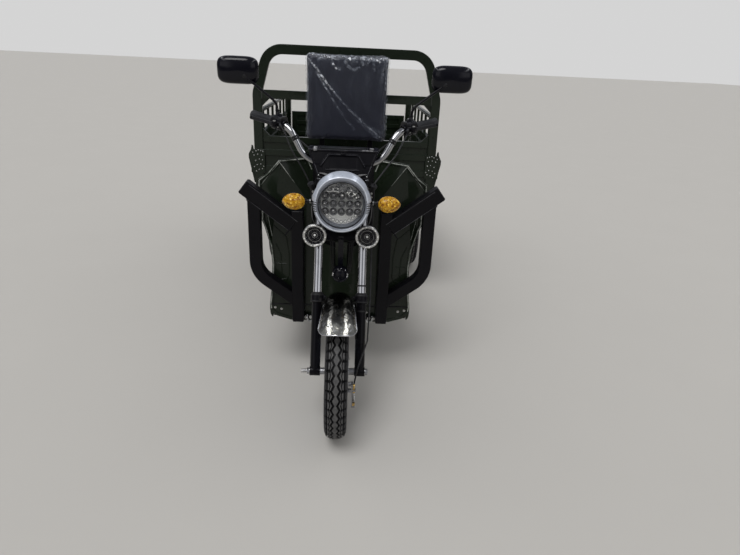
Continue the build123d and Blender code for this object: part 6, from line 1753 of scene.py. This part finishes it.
class TRIKE_OT_seat(bpy.types.Operator):
    """The seat cushion, swollen as cloth, with sewn channels and piping"""

    bl_idname = "trike.seat"
    bl_label = "Seat cushion"

    def execute(self, context):
        cushion = rest_copy("seat_pad", "seat_cushion", (0.965, 0.955, 0.84), 0.005)
        swell(cushion, 13.0)
        held(cushion, at(-226, 786, 702.4), at(226, 1172, 800))
        low, high = at(0, 880, 0), at(0, 1060, 0)
        for vertex in cushion.data.vertices:
            top = ramp(vertex.co.z, 0.748, 0.772)
            inside = 1 - ramp(abs(vertex.co.x), 0.165, 0.19)
            for line in (low.y, (low.y + high.y) / 2, high.y):
                vertex.co.z -= 0.0075 * top * inside * math.exp(-((vertex.co.y - line) / 0.007) ** 2)
            for line in (-0.178, 0.178):
                vertex.co.z -= 0.006 * top * math.exp(-((vertex.co.x - line) / 0.007) ** 2)
        smoother(cushion)
        piping = Shape()
        middle = at(0, 978, 0)
        for level in (757, 711):
            centre = Vector((middle.x, middle.y, level / 1000))
            path = round_it(cushion, centre, LEFT, BACK, 222, 190, 5.0, 0.4)
            piping.tube(path, 2.6, 8, ends=(False, False))
        piping.done("seat_piping", "seat", "piping", sharp=80)
        dress(cushion, "seat", "seat_vinyl", ("seat_cushion",))
        return {"FINISHED"}


# Lines on the backrest's film, -1 to 1 across and up: start, end and the strength of the painted highlight
# along it; the shortest are painted glints.
CREASE_HIGHLIGHTS = (
    ((-0.82, 0.74), (-0.45, 0.28), 1.0), ((-0.45, 0.28), (0.1, -0.28), 0.75),
    ((0.1, -0.28), (0.97, -0.95), 0.8), ((-0.76, 0.58), (-0.2, -0.25), 0.6),
    ((-0.2, -0.25), (0.2, -0.72), 0.25), ((-0.62, 0.5), (-0.5, 0.36), 1.0), ((-0.98, 0.9), (-0.8, 0.72), 0.7),
    ((0.3, -0.5), (0.98, -0.82), 0.35), ((0.42, -0.6), (0.9, -0.98), 0.4), ((-0.42, 0.9), (-0.34, 0.76), 0.3),
    ((-0.37, 0.8), (-0.34, 0.77), 1.0), ((-0.3, 0.71), (-0.28, 0.69), 1.0), ((-0.34, 0.76), (-0.2, 0.68), 0.3),
    ((-0.06, 0.88), (0.0, 0.76), 0.3), ((0.05, 0.93), (0.06, 0.9), 1.0), ((0.72, 0.93), (0.78, 0.88), 1.0),
    ((0.78, 0.88), (0.95, 0.97), 0.6), ((0.0, 0.76), (0.14, 0.68), 0.3), ((0.14, 0.68), (0.28, 0.72), 0.3),
    ((0.3, 0.94), (0.38, 0.8), 0.3), ((0.38, 0.8), (0.5, 0.86), 0.25), ((-0.5, 0.95), (-0.3, 0.9), 0.6),
    ((0.6, 0.98), (0.66, 0.7), 0.25), ((-0.3, 0.96), (0.5, 0.93), 0.5), ((-0.99, 0.97), (0.99, 0.96), 0.55),
    ((-0.985, 0.97), (-0.985, -0.96), 0.34), ((0.975, 0.97), (0.975, -0.8), 0.42),
    ((0.9, 0.98), (0.84, 0.3), 0.22), ((-0.9, -0.4), (-0.6, -0.97), 0.15),
)


class TRIKE_OT_backrest(bpy.types.Operator):
    """The backrest pad, swollen as cloth, and its wrinkled clear film"""

    bl_idname = "trike.backrest"
    bl_label = "Backrest"

    def execute(self, context):
        pad = rest_copy("backrest_pad", "seat_backrest", (0.97, 0.86, 0.972), 0.005)
        swell(pad, 9.0)
        held(pad, at(-208, 1134, 955), at(208, 1195.6, 1378), reach=(0, 2))
        smoother(pad)
        middle, piping = at(0, 1168, 1166), Shape()
        for behind in (1150, 1188):
            path = round_it(pad, Vector((0, (AXLE_Y + behind) / 1000, middle.z)), LEFT, UP, 207, 211, 9.0,
                            0.2, 200)
            piping.tube(path, 2.2, 8, ends=(False, False))
        piping.done("backrest_piping", "frame", "piping", sharp=80)
        dress(pad, "frame", "vinyl", ("seat_backrest",))
        self.film(pad)
        return {"FINISHED"}

    def film(self, pad):
        """A thin clear sheet stretched over the front and sides, with creases and side fins that carry painted
        highlights.
        """
        shape, rows, count = Shape(), [], 116
        for j in range(count + 1):
            row = []
            for i in range(count + 1):
                s, t = (-1.16 + 2.32 * k / count for k in (i, j))
                wrap = max(abs(s) - 1, abs(t) - 1, 0)
                row.append(at(max(min(s, 1), -1) * 212, 1128 + wrap * 300, 1166 + max(min(t, 1), -1) * 216))
            rows.append(row)
        shape.rows(rows, closed=False)
        sheet = linked("seat_wrap", shape.mesh("seat_wrap", sharp=80))
        hug = sheet.modifiers.new("hug", "SHRINKWRAP")
        hug.target, hug.wrap_method, hug.offset = pad, "NEAREST_SURFACEPOINT", 0.0022
        hug.wrap_mode = "OUTSIDE_SURFACE"
        settle(sheet, hug)
        relax = sheet.modifiers.new("relax", "SMOOTH")
        relax.iterations = 3
        settle(sheet, relax)
        mesh = sheet.data
        # Each point's painted highlight strength comes from the crease lines, a mottled band along the top and
        # the side fins, which are also raised off the pad.
        crease = mesh.attributes.new("crease", "FLOAT", "POINT")
        for i, vertex in enumerate(mesh.vertices):
            s, t = vertex.co.x / 0.205, (vertex.co.z - 1.166) / 0.209
            best = 0.0
            for (s0, t0), (s1, t1), amount in CREASE_HIGHLIGHTS:
                reach = 0.026 if amount > 0.5 else 0.04
                strength = amount * (1.0 if t > 0.15 else 0.5)
                best = max(best, strength * near_line(s, t, ((s0, t0), (s1, t1)), reach))
            ripple = noise.noise(vertex.co * 30) * 0.7 + noise.noise(vertex.co * 75) * 0.35
            band = ramp(t, 0.72 + 0.16 * abs(s + 0.1), 0.9 + 0.05 * abs(s))
            best = max(best, 0.55 * band * ramp(noise.noise(vertex.co * 55 + Vector((3, 1, 7))), -0.3, 0.4))
            ripple *= 1 + 2.2 * band
            away = vertex.normal * (best * 2.2 + ripple) / 1000
            fin = max(0.0, 1 - abs(vertex.co.y - (AXLE_Y + 1163) / 1000) / 0.006) * ramp(abs(s), 0.985, 1.0)
            away.x += math.copysign(0.0085 * fin * (0.8 + 0.3 * noise.noise(vertex.co * 14)), vertex.co.x)
            best = max(best, 0.6 * fin)
            vertex.co += away
            crease.data[i].value = best
        front = min(mesh.polygons, key=lambda p: (p.center - Vector((0, -1, 1.166))).length)
        if front.normal.y > 0:
            mesh.flip_normals()
        mesh.shade_smooth()
        dress(sheet, "frame", "seat_film")


class TRIKE_OT_seat_box(bpy.types.Operator):
    """Louvres, a lock and a charge socket, the backrest frame's bolts, the battery's leads and straps"""

    bl_idname = "trike.seat_box"
    bl_label = "Seat box"

    def execute(self, context):
        louvres, lock, socket, strap = [], Shape(), Shape(), Shape()
        for sign in (-1, 1):
            face = seen("seat_box", at(sign * 500, 980, 520), -LEFT * sign) or at(sign * 212, 980, 520)
            for k in range(7):
                spot = Vector((face.x, (AXLE_Y + 980) / 1000, 0.46 + 0.02 * k))
                louvres.append((spot, (LEFT * sign - UP * 0.35), BACK))
        repeat("slats", "box_louvres", "frame", "body_paint", louvres, 170.0, 9.0, 5.0)
        front = from_front("seat_box", 0, 620, 0, 700) or at(0, 800, 620)
        lock.lathe(front, -BACK, [(13, -1), (13, 2), (11.5, 3.4), (8, 3.4), (7.4, 2.4), (1, 2.4)], 28)
        lock.done("box_lock", "frame", "zinc")
        spot = seen("seat_box", at(-500, 860, 600), LEFT) or at(-212, 860, 600)
        socket.lathe(spot, -LEFT, [(24, -1), (24, 3), (21, 5), (18, 5), (17, 1.5), (1, 1.5)], 32)
        socket.done("charge_socket", "frame", "black_plastic")
        bolts = [(at(x, 1195.9, z), -BACK) for x in (-130, 130) for z in (560, 640, 720)]
        bolts += [(at(x, 1216, z), BACK) for x in (-130, 130) for z in (1025, 1265)]
        repeat("bolts", "backrest_bolts", "frame", "black_paint", bolts, 6.0, 5.0, 9.5)
        for x, finish in ((-60, "red_button"), (60, "grey_cable")):
            leads = Shape()
            leads.lathe(at(x, 870, 610), UP, [(9, 0), (9, 8), (7, 10), (7, 16), (2, 16.5)], 20)
            leads.tube(rounded([at(x, 870, 624), at(x, 900, 636), at(x * 2, 960, 640),
                                at(x * 2.4, 1040, 630)], 30, 6), 4.5, 10)
            leads.done("battery_lead_red" if x < 0 else "battery_lead_grey", "frame", finish)
        for behind in (900, 1060):
            strap.tube([at(-181.5, behind, 400), at(-181.5, behind, 604), at(-176, behind, 612),
                        at(176, behind, 612), at(181.5, behind, 604), at(181.5, behind, 400)], 1.6, 8)
        strap.done("battery_straps", "frame", "seal_rubber")
        return {"FINISHED"}


# Bed


class TRIKE_OT_bed(bpy.types.Operator):
    """Studs on the corner plates, latch rings, welds on the hoop, rope hooks and hinge nuts"""

    bl_idname = "trike.bed"
    bl_label = "Bed"

    def execute(self, context):
        dots, welds = [], []
        for sign in (-1, 1):
            for x, z in ((462, 858), (474, 862), (488, 866), (500, 860), (470, 838), (492, 842), (512, 836),
                         (466, 812), (484, 816), (505, 806), (476, 788), (496, 784), (512, 772), (468, 762),
                         (486, 758), (502, 748), (460, 776), (519, 852)):
                dots.append((at(sign * x, 1282, z), -BACK))
            for z in (1140, 1185):
                welds += line_of(at(sign * 459, 1286, z), at(sign * 459, 1314, z), 3.4, -LEFT * sign)
            welds += line_of(at(sign * 459.5, 1286, 1141), at(sign * 459.5, 1286, 1184), 3.4, -BACK)
            welds += line_of(at(sign * 459.5, 1296, 640), at(sign * 459.5, 1296, 940), 5.5, -BACK - LEFT * sign)
        repeat("rivets", "plate_studs", "frame", "zinc", dots, 3.1)
        repeat("welds", "hoop_welds", "frame", "weld", welds, 3.0)
        rings, springs = Shape(), Shape()
        for sign in (-1, 1):
            pivot = at(sign * HINGE_X, 1288, 764)
            rings.lathe(at(sign * 517, 1291.4, 812), -BACK, [(6, 0), (9.5, 0), (9.5, 4), (6, 4)], 24,
                        joined=True)
            rings.lathe(pivot, -BACK, [(2, -4), (6.5, -4), (6.5, 3), (5, 5), (2, 5)], 20)
            coil = [at(sign * 519 + 4 * math.cos(math.tau * i / 10), 1287 + 4 * math.sin(math.tau * i / 10),
                       776 + 26 * i / 80) for i in range(81)]
            springs.tube(coil, 1.0, 6)
        rings.done("latch_rings", "frame", "zinc")
        springs.done("latch_springs", "frame", "steel", sharp=80)
        for side, sign in SIDES:
            body, faces = f"side_{side}", []
            for behind in range(1400, 2700, 118):
                place = seen(f"side_wall_{side}", at(sign * 700, behind, 700), -LEFT * sign)
                if place is not None:
                    faces.append((place, LEFT * sign, UP))
                    faces.append((place + UP * 0.2, LEFT * sign, UP))
            repeat("rivets", f"wall_rivets_{side}", body, "body_paint", faces, 4.0)
            loops = [(at(sign * WALL_X, behind, 905), LEFT * sign, UP)
                     for behind in (1450, 1770, 2090, 2410, 2680)]
            loops = [(seen(f"side_wall_{side}", at(sign * 700, s[0].y * 1000 - AXLE_Y, 905),
                           -LEFT * sign) or s[0], s[1], s[2]) for s in loops]
            repeat("hooks", f"rope_hooks_{side}", body, "body_paint", loops, 13.0, 3.2)
            caps = Shape()
            for behind in (1345, 2724):
                caps.lathe(at(sign * 495.5, behind, 1074.6), UP, [(4, -2), (7, -1), (7, 0.4), (2, 0.9)], 16)
            caps.done(f"rail_caps_{side}", body, "black_plastic")
            pins = [(at(sign * HINGE_X, behind + k, 592), BACK * (1 if k > 0 else -1), UP)
                    for behind in HINGES for k in (-36, 36)]
            repeat("nuts", f"hinge_nuts_{side}", "frame", "zinc", pins, 5.5, 4.0, 3.0)
        repeat("bolts", "bed_front_bolts", "frame", "body_paint",
               [(at(x, 1289, z), -BACK) for x in (-420, -280, -140, 0, 140, 280, 420) for z in (610, 925)],
               5.0, 4.0, 8.0)
        return {"FINISHED"}


class TRIKE_OT_rear(bpy.types.Operator):
    """Tail-lamp lenses, a blank plate, mudflaps, the tailgate's fasteners and the tail's wiring"""

    bl_idname = "trike.rear"
    bl_label = "Rear end"

    def execute(self, context):
        red, amber, clear, plate, flaps, wires = (Shape() for _ in range(6))
        for sign in (-1, 1):
            for start, end, which in ((354, 402, red), (404, 428, amber), (430, 458, clear)):
                low, high = sorted((sign * start, sign * end))
                which.block(at(low, 2780, 508), at(high, 2786.5, 550), 2.5)
            flaps.prism([at(sign * x, 2196, z)
                         for x, z in ((408, 300), (508, 300), (508, 150), (500, 140), (416, 140),
                                      (408, 150))], BACK * 0.004, 0.8)
            wires.tube(rounded([at(sign * 360, 2772, 512), at(sign * 340, 2768, 500), at(sign * 250, 2752, 498),
                                at(sign * 120, 2752, 500), at(sign * 40, 2750, 503)], 20, 5), 3.2, 8)
        red.done("tail_lenses", "frame", "red_lens")
        amber.done("tail_signals", "frame", "amber_lens")
        clear.done("reverse_lenses", "frame", "led")
        flaps.done("mudflaps", "frame", "seal_rubber")
        wires.done("tail_wires", "frame", "seal_rubber")
        plate.block(at(-120, 2763, 452), at(120, 2766, 548), 1.2)
        plate.done("number_plate", "frame", "blank_plate")
        repeat("rivets", "plate_screws", "frame", "zinc",
               [(at(x, 2766, z), BACK) for x in (-90, 90) for z in (532, 468)], 3.6)
        repeat("bolts", "tailgate_bolts", "tail", "body_paint",
               [(seen("tailgate", at(x, 3000, z), -BACK) or at(x, 2795, z), BACK)
                for x in (-430, -330, -165, 0, 165, 330, 430) for z in (640, 915)], 5.0, 4.0, 8.0)
        return {"FINISHED"}


class TRIKE_OT_running_gear(bpy.types.Operator):
    """Spring bolts and clips, the motor's fins, bolts and cable"""

    bl_idname = "trike.running_gear"
    bl_label = "Axle and springs"

    def execute(self, context):
        nuts, clips, straps, cable = [], Shape(), Shape(), Shape()
        for sign in (-1, 1):
            x = sign * SPRING_X
            for behind in (1872, 1928):
                for off in (-32, 32):
                    straps.tube(rounded([at(x + off, behind, 212), at(x + off, behind, 350),
                                         at(x + off * 0.5, behind, 356), at(x, behind, 356)], 10, 4), 5.5, 10)
                    nuts.append((at(x + off, behind, 222), -UP))
            for behind in (1640, 2160):
                clips.block(at(x - 30, behind - 11, 318), at(x - 25.5, behind + 11, 372), 1.5)
                clips.block(at(x + 25.5, behind - 11, 318), at(x + 30, behind + 11, 372), 1.5)
                nuts += [(at(x - 30, behind, 350), -LEFT, UP), (at(x + 30, behind, 350), LEFT, UP)]
        straps.done("spring_u_bolts", "frame", "steel")
        clips.done("spring_clips", "frame", "chassis_paint")
        repeat("nuts", "spring_nuts", "frame", "zinc", nuts, 8.5, 7.0, 5.5)
        fins = [(at(x, 1805, 260), LEFT, BACK) for x in range(-140, 36, 11)]
        repeat("rings", "motor_fins", "frame", "silver", fins, 74.5, 2.2)
        repeat("bolts", "drive_bolts", "frame", "zinc",
               ring_spots(40.2, WHEELBASE, 80, 10, LEFT) + ring_spots(-90.2, WHEELBASE, 80, 10, -LEFT), 5.5,
               5.0, 8.0)
        cable.tube(rounded([at(-60, 1740, 300), at(-60, 1700, 330), at(-60, 1560, 400), at(-70, 1420, 470),
                            at(-80, 1300, 505)], 50, 7), 7.0, 12)
        cable.done("motor_cable", "frame", "seal_rubber", sharp=80)
        return {"FINISHED"}


# Stage, panel and running


class TRIKE_PG_stage(bpy.types.PropertyGroup):
    """Floor, light and camera"""

    floor_colour: bpy.props.FloatVectorProperty(
        name="Floor", description="Colour of the floor and backdrop", subtype="COLOR", size=3,
        default=(0.515, 0.5, 0.475), min=0.0, max=1.0)
    light: bpy.props.FloatProperty(
        name="Light", description="Strength of the even studio light", default=0.6, min=0.0, max=2.0)
    sun: bpy.props.FloatProperty(
        name="Sun", description="Strength of the soft lamp above the front", default=1.3, min=0.0, max=5.0)
    lens: bpy.props.FloatProperty(
        name="Lens", description="Focal length of the camera", default=25.94, min=10, max=120, unit="CAMERA")


class TRIKE_OT_stage(bpy.types.Operator):
    """Pale floor, soft studio light and the camera"""

    bl_idname = "trike.stage"
    bl_label = "Stage"

    def execute(self, context):
        sizes = context.scene.trike_stage
        floor_finish = Finish("floor_surface", tuple(sizes.floor_colour), 0.85, specular_ior_level=0.2)
        floor_finish.mottle((1.6, 6), 0.3, 0.75, 0.35, tuple(c * 0.95 for c in sizes.floor_colour))
        floor_finish.wear(3, 0.05)
        floor = Shape()
        floor.add([Vector((x, y, -0.0002)) for x, y in ((-60, -20), (60, -20), (60, 90), (-60, 90))],
                  [[0, 1, 2, 3]])
        mesh = floor.mesh("studio_floor")
        mesh.materials.append(FINISHES["floor_surface"])
        linked("studio_floor", mesh)

        world = bpy.data.worlds.new("studio_light")
        world.use_nodes = True
        sky = Tree(world.node_tree)
        sky.tree.nodes.clear()
        path = sky.node("ShaderNodeLightPath").outputs
        toward = sky.node("ShaderNodeSeparateXYZ",
                          {0: sky.node("ShaderNodeTexCoord").outputs["Generated"]}).outputs
        height = toward["Z"]
        lamps = sky.mix(sky.range(height, -0.02, 0.7), (0.07, 0.072, 0.08), (0.26, 0.27, 0.3))
        # Long soft lamps overhead, which only mirrors and gloss show
        across = sky.maths("DIVIDE", toward["X"], sky.maths("MAXIMUM", height, 0.08))
        wave = sky.maths("SINE", sky.maths("ADD", sky.maths("MULTIPLY", across, 4.4), -1.6))
        strip = sky.maths("MULTIPLY", sky.range(wave, 0.8, 0.95), sky.range(height, 0.55, 0.75))
        lamps = sky.mix(strip, lamps, (4.0, 4.05, 4.2))
        # Tall soft panels either side of the front
        front = sky.maths("MAXIMUM", sky.maths("MULTIPLY", toward["Y"], -1.0), 0.05)
        aside = sky.maths("ABSOLUTE", sky.maths("DIVIDE", toward["X"], front))
        panel = sky.range(height, 0.02, 0.12)
        for value, low, high, begin, end in ((height, 0.4, 0.6, 1.0, 0.0), (aside, 0.22, 0.4, 0.0, 1.0),
                                             (aside, 1.5, 2.4, 1.0, 0.0)):
            panel = sky.maths("MULTIPLY", panel, sky.range(value, low, high, begin, end))
        lamps = sky.mix(panel, lamps, (0.85, 0.86, 0.9))
        shown, mirrored, even = (sky.node("ShaderNodeBackground",
                                          {"Color": colour, "Strength": strength}).outputs[0]
                                 for colour, strength in (((0.66, 0.66, 0.66, 1), 1.0), (lamps, 1.0),
                                                          ((1.0, 1.0, 1.0, 1), sizes.light)))
        glossy = sky.maths("MAXIMUM", path["Is Glossy Ray"], path["Is Transmission Ray"])
        first = sky.node("ShaderNodeMixShader", {0: glossy, 1: even, 2: mirrored}).outputs[0]
        last = sky.node("ShaderNodeMixShader", {0: path["Is Camera Ray"], 1: first, 2: shown}).outputs[0]
        sky.node("ShaderNodeOutputWorld", {0: last})
        context.scene.world = world

        lamp = bpy.data.lights.new("studio_sun", "SUN")
        lamp.energy, lamp.angle = sizes.sun, math.radians(28)
        obj = bpy.data.objects.new("studio_sun", lamp)
        obj.rotation_euler = Vector((0.25, 0.5, -1.0)).to_track_quat("-Z", "Y").to_euler()
        context.scene.collection.objects.link(obj)

        yaw, pitch, roll = (math.radians(a) for a in (-2.705, 22.31, 2.72))
        level = Vector((-math.sin(yaw), math.cos(yaw), 0))
        right = Vector((math.cos(yaw), math.sin(yaw), 0))
        ahead = level * math.cos(pitch) - UP * math.sin(pitch)
        up = UP * math.cos(pitch) + level * math.sin(pitch)
        right, up = right * math.cos(roll) + up * math.sin(roll), up * math.cos(roll) - right * math.sin(roll)
        view = bpy.data.cameras.new("view")
        view.sensor_width, view.lens = 36.0, sizes.lens
        view.clip_start, view.clip_end = 0.05, 200
        camera = bpy.data.objects.new("view", view)
        turn = Matrix((right, up, -ahead)).transposed().to_4x4()
        camera.matrix_world = Matrix.Translation((0.026, -3.0415, 1.365)) @ turn
        context.scene.collection.objects.link(camera)
        context.scene.camera = camera
        context.scene.view_settings.view_transform = "Standard"
        return {"FINISHED"}


class TRIKE_PG_colours(bpy.types.PropertyGroup):
    """Colours that a user would change"""

    body: bpy.props.FloatVectorProperty(
        name="Body", description="Paint of the shield, floor and bed", subtype="COLOR", size=3,
        default=(0.0085, 0.0132, 0.0075), min=0.0, max=1.0)
    vinyl: bpy.props.FloatVectorProperty(
        name="Seat", description="Vinyl of the cushion and backrest", subtype="COLOR", size=3,
        default=(0.012, 0.013, 0.022), min=0.0, max=1.0)
    amber: bpy.props.FloatVectorProperty(
        name="Signals", description="Colour of the turn signals", subtype="COLOR", size=3,
        default=(0.52, 0.26, 0.01), min=0.0, max=1.0)


class TRIKE_OT_finishes(bpy.types.Operator):
    """Paint, chrome, plastic, rubber and vinyl, and the carried-over solids that wear them"""

    bl_idname = "trike.finishes"
    bl_label = "Finishes"

    def execute(self, context):
        make_finishes(context.scene.trike_colours)
        finish_cad_nodes()
        make_trees()
        return {"FINISHED"}


GROUPS = (("trike_colours", TRIKE_PG_colours), ("trike_stage", TRIKE_PG_stage), ("trike_tyres", TRIKE_PG_tyres))
OPERATORS = (
    TRIKE_OT_stage, TRIKE_OT_finishes, TRIKE_OT_tyres, TRIKE_OT_wheel_hardware, TRIKE_OT_fork_hardware,
    TRIKE_OT_fender, TRIKE_OT_front_brake, TRIKE_OT_headlamp, TRIKE_OT_spot_lamps,
    TRIKE_OT_turn_signals, TRIKE_OT_handlebar, TRIKE_OT_mirrors, TRIKE_OT_dash, TRIKE_OT_shield,
    TRIKE_OT_floor_details, TRIKE_OT_crash_bars, TRIKE_OT_neck, TRIKE_OT_seat, TRIKE_OT_backrest,
    TRIKE_OT_seat_box, TRIKE_OT_bed, TRIKE_OT_rear, TRIKE_OT_running_gear,
)


class TRIKE_PT_pieces(bpy.types.Panel):
    """Every step of the dressing, in order"""

    bl_idname = "TRIKE_PT_pieces"
    bl_label = "Cargo tricycle"
    bl_space_type = "VIEW_3D"
    bl_region_type = "UI"
    bl_category = "Tricycle"

    def draw(self, context):
        for name, group in GROUPS:
            box = self.layout.box()
            box.label(text=group.__doc__)
            for key in group.__annotations__:
                box.prop(getattr(context.scene, name), key)
        for operator in OPERATORS:
            self.layout.operator(operator.bl_idname)


def register():
    for name, group in GROUPS:
        bpy.utils.register_class(group)
        setattr(bpy.types.Scene, name, bpy.props.PointerProperty(type=group))
    for cls in (*OPERATORS, TRIKE_PT_pieces):
        bpy.utils.register_class(cls)


def unregister():
    for cls in (TRIKE_PT_pieces, *reversed(OPERATORS)):
        bpy.utils.unregister_class(cls)
    for name, group in reversed(GROUPS):
        delattr(bpy.types.Scene, name)
        bpy.utils.unregister_class(group)


def main():
    register()
    for operator in OPERATORS:
        getattr(bpy.ops.trike, operator.bl_idname.split(".")[1])()


if __name__ == "__main__":
    main()
